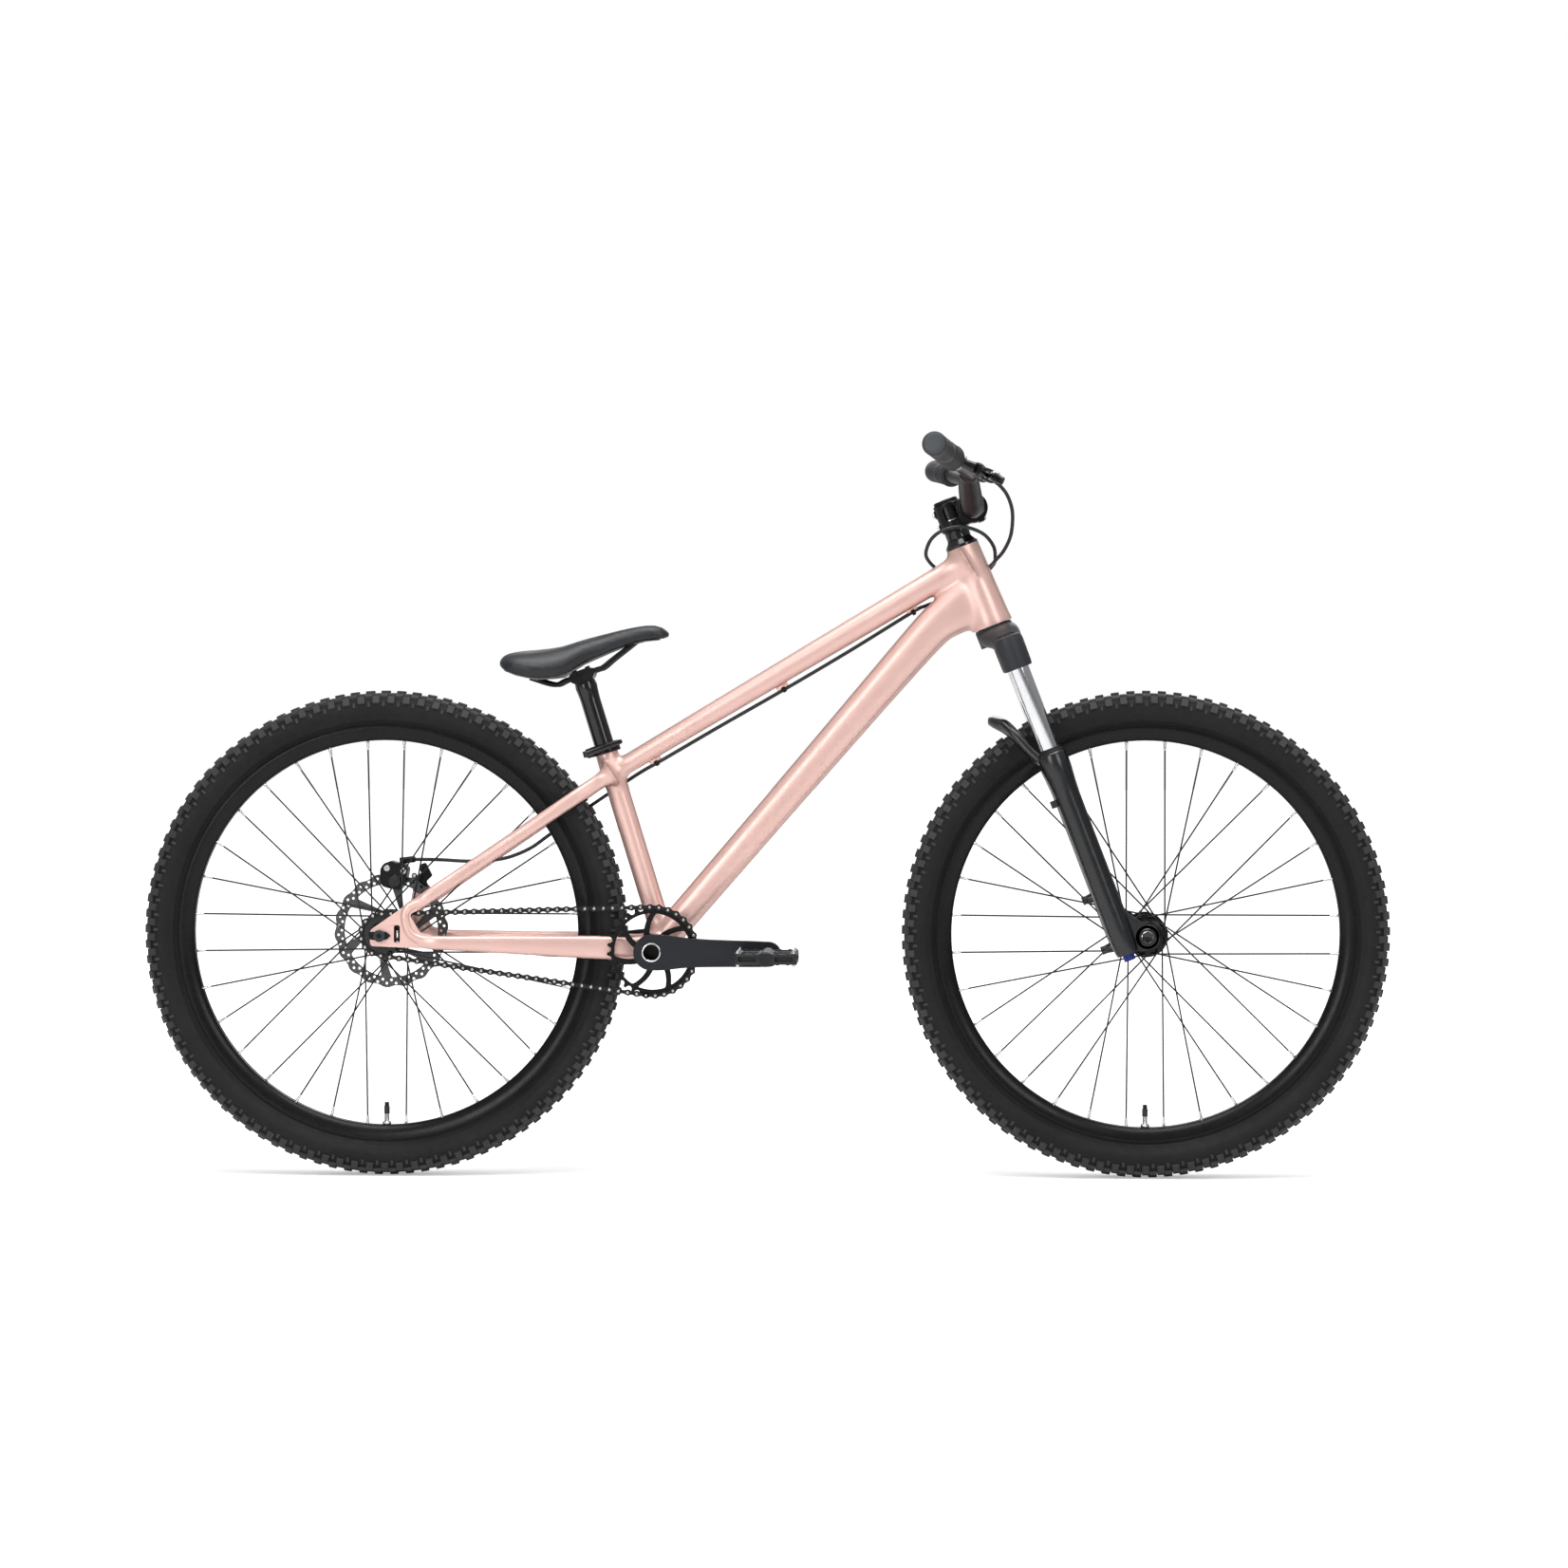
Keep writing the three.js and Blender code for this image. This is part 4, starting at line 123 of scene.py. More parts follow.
# Materials
class Nodes:
    """The node tree of a material or world, with short ways to add to it."""

    def __init__(self, owner):
        owner.use_nodes = True
        self.tree = owner.node_tree

    def feed(self, node, inputs):
        """Sets each input to a value or links it to another node's output."""
        for name, value in inputs.items():
            if isinstance(value, bpy.types.NodeSocket):
                self.tree.links.new(value, node.inputs[name])
            else:
                node.inputs[name].default_value = value

    def add(self, kind, inputs, output=0, **settings):
        node = self.tree.nodes.new("ShaderNode" + kind)
        for name, value in settings.items():
            setattr(node, name, value)
        self.feed(node, inputs)
        return node.outputs[output]

    def noise(self, vector, scale, detail=4.0):
        return self.add("TexNoise", {"Vector": vector, "Scale": scale, "Detail": detail}, "Fac")

    def ranged(self, value, low, high, start=0.3, end=0.7):
        return self.add("MapRange", {"Value": value, "From Min": start, "From Max": end, "To Min": low,
                                     "To Max": high}, "Result")

    def mixed(self, factor, first, second):
        return self.add("Mix", {0: factor, 6: first, 7: second}, 2, data_type="RGBA")

    def mottled(self, value, dark, light):
        return self.mixed(self.ranged(value, 0, 1), (*dark, 1), (*light, 1))

    def bump(self, height, distance):
        return self.add("Bump", {"Height": height, "Distance": distance, "Strength": 1.0}, "Normal")


def finish(name):
    """A new material with its nodes, shader and object coordinates."""
    material = bpy.data.materials.new(name)
    nodes = Nodes(material)
    return material, nodes, nodes.tree.nodes["Principled BSDF"], nodes.add("TexCoord", {}, "Object")


def surface(name, dark, light, rough, metal=0.0, grain=300, patches=18, bump=0.000004, coat=0.0,
            coat_rough=0.1, specular=0.5):
    """A finish with soft patches of colour, uneven roughness and a fine grain."""
    material, nodes, shader, place = finish(name)
    nodes.feed(shader, {
        "Base Color": nodes.mottled(nodes.noise(place, patches), dark, light),
        "Roughness": nodes.ranged(nodes.noise(place, 90), *rough), "Metallic": metal,
        "Specular IOR Level": specular, "Coat Weight": coat, "Coat Roughness": coat_rough,
        "Normal": nodes.bump(nodes.noise(place, grain, 3), bump)})
    return material


def rose_paint_with_painted_shade():
    """Rose paint under a satin lacquer, pale where it faces you, with painted shade: darkened to brown where
    the surface turns away from the view.
    """
    material, nodes, shader, place = finish("frame_paint")
    facing = nodes.add("LayerWeight", {"Blend": 0.5}, "Facing")
    base = nodes.mottled(nodes.noise(place, 9), (0.79, 0.51, 0.455), (0.81, 0.535, 0.48))
    nodes.feed(shader, {
        # painted shade: the base colour is mixed towards dark brown where the surface turns away from the
        # view
        "Base Color": nodes.mixed(nodes.ranged(facing, 0, 1, 0.42, 0.98), base, (0.36, 0.175, 0.13, 1)),
        "Roughness": nodes.ranged(nodes.noise(place, 60), 0.34, 0.40), "Metallic": 0.5, "Coat Weight": 0.2,
        "Coat Roughness": 0.36})
    return material


def brushed(name, dark, light, rough, scale):
    """Bright metal with fine lines from its machining."""
    material, nodes, shader, place = finish(name)
    lines = nodes.noise(nodes.add("Mapping", {"Vector": place, "Scale": scale}), 1, 2)
    nodes.feed(shader, {
        "Base Color": nodes.mottled(lines, dark, light), "Roughness": nodes.ranged(lines, *rough),
        "Metallic": 1, "Normal": nodes.bump(lines, 0.000004)})
    return material


def grained(name, dark, light, rough, size, bump, sheen=0.0):
    """A moulded or leathery skin with a pebbled grain."""
    material, nodes, shader, place = finish(name)
    cells = nodes.add("TexVoronoi", {"Vector": place, "Scale": size}, "Distance", feature="SMOOTH_F1")
    nodes.feed(shader, {
        "Base Color": nodes.mottled(nodes.noise(place, 25), dark, light),
        "Roughness": nodes.ranged(nodes.noise(place, 120), *rough), "Sheen Weight": sheen,
        "Normal": nodes.bump(cells, bump)})
    return material


PAINT_AND_SHADE = rose_paint_with_painted_shade()
RUBBER = surface("tyre_rubber", (0.0075, 0.0075, 0.008), (0.011, 0.011, 0.0115), (0.5, 0.66), patches=14,
                 bump=0.000008, specular=0.22)
BLACK = surface("black_paint", (0.004, 0.004, 0.0045), (0.006, 0.006, 0.0065), (0.24, 0.32), specular=0.22)
GLOSS = surface("gloss_black", (0.003, 0.003, 0.0035), (0.005, 0.005, 0.0055), (0.14, 0.22), coat=0.3,
                coat_rough=0.06, bump=0.000001)
LOWERS = surface("lowers_black", (0.004, 0.0048, 0.006), (0.0062, 0.007, 0.0084), (0.2, 0.26), coat=0.25,
                 coat_rough=0.3)
CROWN = surface("crown_grey", (0.022, 0.025, 0.029), (0.028, 0.031, 0.036), (0.4, 0.5), specular=0.3)
ALLOY = surface("dark_alloy", (0.012, 0.0135, 0.018), (0.016, 0.018, 0.023), (0.3, 0.4), metal=0.4,
                grain=900)
BAR_ALLOY = surface("bar_alloy", (0.012, 0.0085, 0.008), (0.017, 0.012, 0.011), (0.3, 0.4), metal=0.3)
TREAD = grained("tread_rubber", (0.017, 0.017, 0.0175), (0.025, 0.025, 0.0255), (0.5, 0.6), 700, 0.00001)
PLASTIC = grained("black_plastic", (0.009, 0.0095, 0.011), (0.014, 0.0145, 0.016), (0.4, 0.52), 1200, 0.00001)
GRIP = grained("grip_rubber", (0.020, 0.021, 0.023), (0.028, 0.029, 0.032), (0.5, 0.62), 900, 0.00001)
GRIP_END = grained("grip_end", (0.034, 0.039, 0.046), (0.044, 0.049, 0.057), (0.42, 0.52), 900, 0.000005)
COVER = grained("saddle_cover", (0.0055, 0.007, 0.0095), (0.008, 0.0097, 0.0128), (0.4, 0.5), 1400, 0.00001,
                sheen=0.04)
CABLE = surface("hose_rubber", (0.008, 0.008, 0.0085), (0.013, 0.013, 0.014), (0.35, 0.5), grain=1500)
CHROME = brushed("stanchion_chrome", (0.78, 0.79, 0.81), (0.84, 0.85, 0.87), (0.06, 0.11), (300, 300, 14))
STEEL = brushed("steel", (0.33, 0.33, 0.34), (0.5, 0.5, 0.51), (0.26, 0.4), (700, 60, 700))
COG = brushed("cog_steel", (0.03, 0.03, 0.031), (0.06, 0.06, 0.062), (0.3, 0.42), (700, 60, 700))
ROTOR = brushed("rotor_steel", (0.075, 0.075, 0.078), (0.13, 0.13, 0.135), (0.3, 0.42), (700, 60, 700))
BRIGHT = brushed("bright_bolt", (0.62, 0.62, 0.63), (0.75, 0.75, 0.76), (0.18, 0.3), (900, 900, 900))
CHAIN = brushed("chain_steel", (0.02, 0.0195, 0.019), (0.05, 0.048, 0.046), (0.3, 0.42), (500, 500, 500))
SPOKE = surface("spoke_black", (0.006, 0.006, 0.0065), (0.01, 0.01, 0.0105), (0.3, 0.4), metal=0.2)
BLUE = surface("blue_anodised", (0.02, 0.035, 0.2), (0.03, 0.05, 0.27), (0.25, 0.35), metal=0.6)
RIVET = brushed("chain_rivet", (0.55, 0.54, 0.53), (0.68, 0.67, 0.66), (0.2, 0.32), (900, 900, 900))


# Mesh building
def frame_of(axis, near=Z):
    """Two directions square to axis, the first as near as may be to the one given."""
    axis = axis.normalized()
    if abs(axis.dot(near)) > 0.99:
        near = X if abs(axis.dot(X)) < 0.9 else Y
    first = (near - axis * axis.dot(near)).normalized()
    return first, axis.cross(first)


def smooth_path(points, steps):
    """Points along a curve through the given ones, spaced for a listed route."""
    ends = [2 * points[0] - points[1], *points, 2 * points[-1] - points[-2]]
    path = []
    for i in range(1, len(ends) - 2):
        a, b, c, d = ends[i - 1:i + 3]
        for k in range(steps):
            t = k / steps
            path.append(0.5 * (2 * b + (c - a) * t + (2 * a - 5 * b + 4 * c - d) * t * t
                               + (3 * b - a - 3 * c + d) * t ** 3))
    return [*path, points[-1]]


def oval(width, height, sides, squareness=2.0):
    """An ellipse, or with more squareness a rounded box, as pairs."""
    ring = []
    for i in range(sides):
        c, s = cos(TURN * i / sides), sin(TURN * i / sides)
        ring.append((copysign(abs(c) ** (2 / squareness), c) * width / 2,
                     copysign(abs(s) ** (2 / squareness), s) * height / 2))
    return ring


def rounded(corners, radius, steps=4):
    """The outline with each corner replaced by an arc."""
    path = []
    points = [Vector(c) for c in corners]
    for i, corner in enumerate(points):
        before, after = points[i - 1] - corner, points[(i + 1) % len(points)] - corner
        reach = min(radius, before.length * 0.45, after.length * 0.45)
        start, end = corner + before.normalized() * reach, corner + after.normalized() * reach
        for k in range(steps + 1):
            t = k / steps
            path.append(tuple(start * (1 - t) ** 2 + corner * 2 * t * (1 - t) + end * t * t))
    return path


def polar(radius, angle):
    return radius * cos(angle), radius * sin(angle)


def on_wheel(radius, angle, out=0.0):
    """A point round an axle: angle from ahead towards up, out to the left."""
    return Vector((radius * cos(angle), out, radius * sin(angle)))


def box(x0, z0, x1, z1):
    """The corners of an upright rectangle, or the profile of a turned rod or ring."""
    return [(x0, z0), (x1, z0), (x1, z1), (x0, z1)]


def drum(inner, outer, low, high, edge):
    """The profile of a turned disc or ring with both outer edges taken off."""
    return [(inner, low), (outer - edge, low), (outer, low + edge), (outer, high - edge),
            (outer - edge, high), (inner, high)]


def circle(radius, sides, x=0.0, z=0.0):
    return [(x + radius * cos(TURN * i / sides), z + radius * sin(TURN * i / sides)) for i in range(sides)]


class Form:
    """Closed surfaces gathered into one mesh."""

    def __init__(self):
        self.points, self.faces = [], []

    def add(self, points, faces):
        base = len(self.points)
        self.points += [Vector(p) for p in points]
        self.faces += [[base + i for i in face] for face in faces]
        return self

    def loft(self, rings, closed=False):
        sides, faces = len(rings[0]), []
        count = len(rings)
        for r in range(count if closed else count - 1):
            for s in range(sides):
                a, b = r * sides, (r + 1) % count * sides
                faces.append([a + s, a + (s + 1) % sides, b + (s + 1) % sides, b + s])
        if not closed:
            faces.append(list(range(sides))[::-1])
            faces.append([(count - 1) * sides + s for s in range(sides)])
        return self.add([p for ring in rings for p in ring], faces)

    def turned(self, origin, axis, profile, sides=48, closed=False):
        """Round about an axis; profile is radius and distance along. Closed is a ring's section."""
        first, second = frame_of(axis)
        axis = axis.normalized()
        rings = []
        for radius, distance in profile:
            radius = max(radius, 0.01)
            rings.append([origin + axis * distance + first * (radius * cos(TURN * k / sides))
                          + second * (radius * sin(TURN * k / sides)) for k in range(sides)])
        return self.loft(rings, closed)

    def swept(self, path, sizes, sides=12, squareness=2.0, near=Y):
        """A tube along a path; sizes is a radius or a width and height for each point."""
        rings = []
        for i, at in enumerate(path):
            run = (path[min(i + 1, len(path) - 1)] - path[max(i - 1, 0)]).normalized()
            across, up = frame_of(run, near)
            size = sizes[i] if isinstance(sizes, list) else sizes
            width, height = size if isinstance(size, tuple) else (2 * size, 2 * size)
            rings.append([at + across * a + up * b for a, b in oval(width, height, sides, squareness)])
        return self.loft(rings)

    def plate(self, outline, low, high, place, holes=()):
        """A flat plate; place turns (x, z, y) into a point."""
        loops = [list(outline), *[list(hole) for hole in holes]]
        triangles = tessellate_polygon([[Vector((x, z, 0)) for x, z in loop] for loop in loops])
        count = sum(len(loop) for loop in loops)
        points = [place(x, z, y) for y in (low, high) for loop in loops for x, z in loop]
        faces = [list(t) for t in triangles] + [[i + count for i in reversed(t)] for t in triangles]
        base = 0
        for loop in loops:
            size = len(loop)
            for i in range(size):
                a, b = base + i, base + (i + 1) % size
                faces.append([a, b, b + count, a + count])
            base += size
        return self.add(points, faces)

    def ball(self, centre, radius, axis=Z, squash=1.0, sides=16):
        steps = sides // 2
        return self.turned(centre, axis, [
            (radius * sin(pi * k / steps), -radius * squash * cos(pi * k / steps))
            for k in range(steps + 1)], sides)

    def bolt(self, at, axis, radius, depth, socket=0.45):
        """A round head with a socket in its face."""
        return self.turned(at, axis, [
            (0, 0), (radius, 0), (radius, depth * 0.75), (radius * 0.88, depth), (radius * socket, depth),
            (radius * socket, depth * 0.35), (0, depth * 0.35)], 20)

    def make(self, name, material, body=None, replaces=(), bevel=0.0, segments=2, angle=35, weld=True,
             cutters=()):
        """The forms as one object: cut, edges rounded, set on a body and standing for some solids."""
        mesh = bpy.data.meshes.new(name)
        mesh.from_pydata([p * MM for p in self.points], [], self.faces)
        shape = bmesh.new()
        shape.from_mesh(mesh)
        if weld:
            bmesh.ops.remove_doubles(shape, verts=shape.verts, dist=0.00002)
        bmesh.ops.recalc_face_normals(shape, faces=shape.faces)
        shape.to_mesh(mesh)
        shape.free()
        mesh.polygons.foreach_set("use_smooth", [True] * len(mesh.polygons))
        mesh.set_sharp_from_angle(angle=radians(angle))
        mesh.materials.append(material)
        obj = bpy.data.objects.new(name, mesh)
        bpy.context.collection.objects.link(obj)
        if cutters:
            cut(obj, *cutters)
        if bevel:
            soften(obj, bevel, segments)
        if body:
            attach(obj, body)
        if replaces:
            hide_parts(*replaces)
        return obj


def modify(obj, kind, **settings):
    """Adds a modifier of a kind with the settings given."""
    modifier = obj.modifiers.new(kind.lower(), kind)
    for name, value in settings.items():
        setattr(modifier, name, value)
    return modifier


def soften(obj, width, segments=2):
    """Rounds an object's sharp edges, so that they catch the light."""
    modify(obj, "BEVEL", width=width * MM, segments=segments, limit_method="ANGLE", angle_limit=radians(32),
           harden_normals=True)


def baked(obj):
    """Applies an object's modifiers to its mesh."""
    bpy.context.view_layer.update()
    graph = bpy.context.evaluated_depsgraph_get()
    mesh = bpy.data.meshes.new_from_object(obj.evaluated_get(graph))
    obj.modifiers.clear()
    obj.data = mesh
    obj.data.polygons.foreach_set("use_smooth", [True] * len(obj.data.polygons))


def cut(obj, *cutters, solver="EXACT"):
    """Takes other closed forms away from a piece."""
    for cutter in cutters:
        tool = cutter.make("cutter", BLACK)
        modify(obj, "BOOLEAN", operation="DIFFERENCE", solver=solver, use_self=solver == "EXACT", object=tool)
        baked(obj)
        bpy.data.objects.remove(tool)
    obj.data.set_sharp_from_angle(angle=radians(30))


def about(centre):
    """Places a side-view outline at a centre: x forward, z up, y across."""
    return lambda x, z, y: centre + Vector((x, y, z))


def in_side_view(place):
    """Reorders a place function to take a plate's (x, z, y)."""
    return lambda x, z, y: place(x, y, z)


in_steering, in_seat, in_rails = in_side_view(steer), in_side_view(seat), in_side_view(rails)


def mirrored(profile):
    """A profile and its image on the other side of the middle plane."""
    return profile + [(radius, -y) for radius, y in reversed(profile)]


# Wheels
STEP = TURN / 16
FLANGE, SPOKE_BED = 26, 266


def tyre(axle, name):
    """A casing with its hollow, and five rows of knobs on each half of the tread."""
    side = [(286.6, 8.6), (283.0, 9.4), (283.0, 12.0), (287.4, 12.6), (289.4, 14.6), (291.6, 16.9),
            (293.0, 18.4), (293.6, 19.6), (295.6, 21.0), (297.2, 21.6), (300.5, 24.2), (304.5, 26.0),
            (309.0, 26.9), (313.5, 26.8), (317.5, 26.0), (320.5, 25.2), (323.4, 23.6), (326.6, 20.6),
            (328.2, 16.6), (329.4, 11.0), (329.8, 4.0)]
    inside = [(290.0, -9.6), (306.0, -23.6), (321.0, -19.6), (326.4, -8.0)]
    form = Form().turned(axle, Y, mirrored(side) + mirrored(inside), 144, closed=True)
    # knobs: section corners as (radius, y), phase and half length along the tread
    rows = [
        ([(329.2, 1.2), (335.0, 1.7), (334.7, 7.2), (329.0, 7.8)], 0.0, 5.4),
        ([(328.4, 9.6), (331.7, 10.0), (330.9, 15.4), (327.6, 16.0)], 0.5, 4.4),
        ([(326.4, 17.4), (331.2, 17.6), (328.4, 24.4), (324.6, 22.8)], 0.0, 5.4),
        ([(324.6, 22.2), (328.0, 24.8), (318.6, 28.4), (316.8, 25.8)], 0.5, 5.0),
        ([(319.6, 24.8), (319.6, 27.6), (313.4, 28.0), (313.6, 26.2)], 0.0, 1.9),
    ]
    pitches, tread = 97, 328
    walls = [[0, 1, 2, 3], [4, 5, 6, 7], [0, 1, 5, 4], [1, 2, 6, 5], [2, 3, 7, 6], [3, 0, 4, 7]]
    knobs = Form()
    for corners, phase, half in rows:
        for sign in (1, -1):
            shift = phase + (0.04 if sign > 0 else 0)
            for i in range(pitches):
                points = []
                for end in (-1, 1):
                    for k, (radius, y) in enumerate(corners):
                        spread = half * (1.06 if k in (0, 3) else 0.94)
                        angle = TURN * (i + shift) / pitches + end * spread / tread
                        points.append(axle + Vector((radius * sin(angle), sign * y, radius * cos(angle))))
                knobs.add(points, walls)
    knobs.make(f"{name}_tyre_knobs", TREAD, f"{name}_wheel", weld=False)
    form.make(f"{name}_tyre_tread", RUBBER, f"{name}_wheel", [f"{name}_tyre"], weld=False)


def rim(axle, name):
    """The hoop's hollow section, and the valve at the bottom with its cap and nut."""
    half = [(285.4, 14.9), (285.4, 13.0), (284.4, 12.6), (279.0, 12.5), (277.0, 12.3), (276.8, 6.0)]
    outside = [(285.0, 15.0), (283.6, 15.0), (279.0, 14.2), (273.6, 12.2), (269.2, 9.4), (266.9, 7.4),
               (266.3, 5.5)]
    profile = [*reversed(outside), *half]
    form = Form().turned(axle, Y, mirrored(profile), 144, closed=True)
    form.make(f"{name}_rim_hoop", BLACK, f"{name}_wheel", [f"{name}_rim"])
    foot = Form()
    down = -Z
    foot.turned(axle, down, [(0, 236.4), (2.3, 236.6), (2.6, 237.6), (2.6, 240.5)], 16)
    foot.turned(axle, down, [(3.7, 240.5), (3.9, 241.5), (3.9, 250.5), (3.4, 251.5)], 16)
    foot.make(f"{name}_valve_cap", PLASTIC, f"{name}_wheel")
    stem = Form().turned(axle, down, [(3.15, 250.0), (3.15, 262.6)], 16)
    stem.turned(axle, down, [(3.2, 262.0), (5.6, 262.0), (6.2, 262.8), (6.2, 264.6), (5.6, 265.6),
                             (3.2, 266.2)], 24)
    for i in range(8):
        stem.turned(axle, down, [(3.15, 252.0 + i * 1.2), (3.42, 252.6 + i * 1.2),
                                 (3.15, 253.2 + i * 1.2)], 16)
    stem.make(f"{name}_valve_stem", BRIGHT, f"{name}_wheel")


def spokes(axle, name, side, bed):
    """One side's sixteen crossed wires and their nipples."""
    wires, nipples = Form(), Form()
    first = (1 if side > 0 else 3) * STEP / 4 + pi / 2
    for i in range(16):
        angle = first + i * STEP
        heading = -1 if i % 2 else 1
        layer = 1.9 * (1 + heading * 0.9) / 2
        inner = axle + on_wheel(FLANGE, angle + heading * 3 * STEP, side * (abs(bed) + 2.5 + layer))
        outer = axle + on_wheel(SPOKE_BED, angle, side * (4 + layer))
        run = (outer - inner).normalized()
        sink = inner - Y * side * (3 + layer)
        wires.swept([sink, inner - Y * side * 0.8, inner + run * 1.4, inner + run * 4,
                     outer - run * 10], 1.15, 8)
        nipples.turned(outer, -run, [(1.4, -2), (2.1, -1), (2.1, 3.5), (1.75, 4.5), (1.7, 10), (1.3, 11.6),
                                     (1.0, 12)], 12)
    word = SIDES[side]
    wires.make(f"{name}_spoke_wires_{word}", SPOKE, f"{name}_wheel", [f"{name}_spokes_{word}"])
    nipples.make(f"{name}_nipples_{word}", BRIGHT, f"{name}_wheel")


def wheel(axle, name, beds):
    tyre(axle, name)
    rim(axle, name)
    spokes(axle, name, 1, beds[0])
    spokes(axle, name, -1, beds[1])


wheel(FRONT, "front", (30, -35))
wheel(REAR, "rear", (33, -36))


def hub(axle, name, profile):
    form = Form().turned(axle, Y, profile, 64, closed=True)
    form.make(f"{name}_hub_shell", BLACK, f"{name}_wheel", [f"{name}_hub"], angle=28)


hub(FRONT, "front", [
    (10.3, -54.7), (15.0, -54.7), (15.3, -54.2), (15.3, -46), (17.8, -45), (18.4, -38), (22, -35.8),
    (28.9, -35), (29.6, -34.4), (29.6, -32.8), (28.9, -32.1), (22, -31.6), (18.6, -29.4), (17.4, -24),
    (17.0, -3), (17.4, 18), (18.6, 24.2), (22, 26.6), (28.9, 27.1), (29.6, 27.8), (29.6, 29.3), (28.9, 29.9),
    (22.6, 30.4), (22.0, 31.4), (22.4, 36), (26.4, 39.4), (26.9, 41.2), (26.4, 42), (15.6, 42), (15.3, 42.4),
    (15.3, 54.2), (15.0, 54.7), (10.3, 54.7)])
hub(REAR, "rear", [
    (5.3, -57), (16.4, -57), (17, -56.4), (17, -36.6), (28.3, -36), (29, -35.3), (29, -33.7), (28.3, -33),
    (21, -32.4), (17.6, -30), (16.2, -25), (15.8, 0), (16.2, 22), (17.6, 27), (21, 29.4), (28.3, 30),
    (29, 30.7), (29, 32.3), (28.3, 33), (22.8, 33.4), (22, 34.6), (22.4, 46), (26.4, 49.2), (26.9, 50.2),
    (26.4, 50.8), (17, 50.8), (17, 56.2), (16.4, 57), (5.3, 57)])


# Brake disc
def brake_disc():
    """A waved rotor with six windows and two rings of holes, bolted to the hub."""
    outer = []
    for i in range(216):
        wave = sin(TURN * i * 18 / 216)
        outer.append(polar(78.7 + 1.3 * copysign(abs(wave) ** 0.7, wave), TURN * i / 216))
    holes = [circle(17.9, 40)]
    for i in range(6):
        start, span = TURN * i / 6 + radians(6.5), TURN / 6 - radians(13)
        window = [(30, start + span * k / 6) for k in range(7)]
        window += [(65.5, start + radians(24) + span * (6 - k) / 6) for k in range(7)]
        holes.append(rounded([polar(*p) for p in window], 2.5, 2))
    for i in range(36):
        for radius, shift in ((69.4, 0), (74.3, 0.5)):
            holes.append(circle(1.9, 10, *polar(radius, TURN * (i + shift) / 36)))
    form = Form().plate(outer, 51.1, 52.9, about(REAR), holes)
    form.make("brake_rotor", ROTOR, "rear_wheel", ["brake_disc"], angle=50)
    bolts = Form()
    for i in range(6):
        bolts.bolt(REAR + on_wheel(23.5, TURN * i / 6, 52.9), Y, 2.9, 1.6)
    bolts.make("rotor_bolts", BLACK, "rear_wheel")


brake_disc()


# Frame: tubes as rings of stations that flow into the joints
def stations(path, sizes, steps):
    """Finer stations along a straight or bent tube: points and width and height pairs."""
    points = smooth_path(path, steps)
    spread = smooth_path([Vector((w, h, 0)) for w, h in sizes], steps)
    return points, [(s.x, s.y) for s in spread]


def fillet(points, sizes, start=0.0, end=0.0):
    """Swells a tube where it meets another, as a dressed weld does; start and end are reaches."""
    total = [0.0]
    for a, b in zip(points, points[1:]):
        total.append(total[-1] + (b - a).length)
    swollen = []
    for distance, (width, height) in zip(total, sizes):
        extra = 0.0
        for reach, gone in ((start, distance), (end, total[-1] - distance)):
            if reach and gone < reach:
                t = 1 - gone / reach
                extra += reach * 0.55 * (1 - sqrt(max(0.0, 1 - t * t)))
        swollen.append((width + 2 * extra, height + 2 * extra))
    return points, swollen


def resampled(points, sizes, spacing):
    """Stations at an even spacing."""
    out_points, out_sizes = [], []
    for i in range(len(points) - 1):
        count = max(1, round((points[i + 1] - points[i]).length / spacing))
        for k in range(count):
            t = k / count
            out_points.append(points[i].lerp(points[i + 1], t))
            out_sizes.append(tuple(lerp(a, b, t) for a, b in zip(sizes[i], sizes[i + 1])))
    return [*out_points, points[-1]], [*out_sizes, sizes[-1]]


def fused(obj, voxel):
    """Runs overlapping solids into one skin, so that a cut finds a clean inside."""
    modify(obj, "REMESH", mode="VOXEL", voxel_size=voxel)
    modify(obj, "SMOOTH", iterations=5, factor=0.5)
    baked(obj)


def head_tube():
    return Form().turned(*STEERER, [
        (0, 466), (28.5, 466), (28.5, 478.5), (27.9, 480.5), (27.5, 486), (25.5, 530), (23.6, 575),
        (23.3, 579), (23.3, 593), (0, 593)], 64)


def top_tube():
    # shares: place, depth, width
    shares = [(0, 1, 1), (0.12, 0.94, 0.97), (0.5, 0.84, 0.88), (0.9, 0.735, 0.794), (1, 0.706, 0.794)]
    path = [TOP_HEAD.lerp(TOP_SEAT, s) for s, _, _ in shares]
    points, sizes = stations(path, [(34 * w + 1.9, 34 * h + 1.9) for _, h, w in shares], 10)
    points, sizes = resampled(points, sizes, 2.5)
    points, sizes = fillet(points, sizes, 36, 24)
    return Form().swept(points, sizes, 40, 2.5)


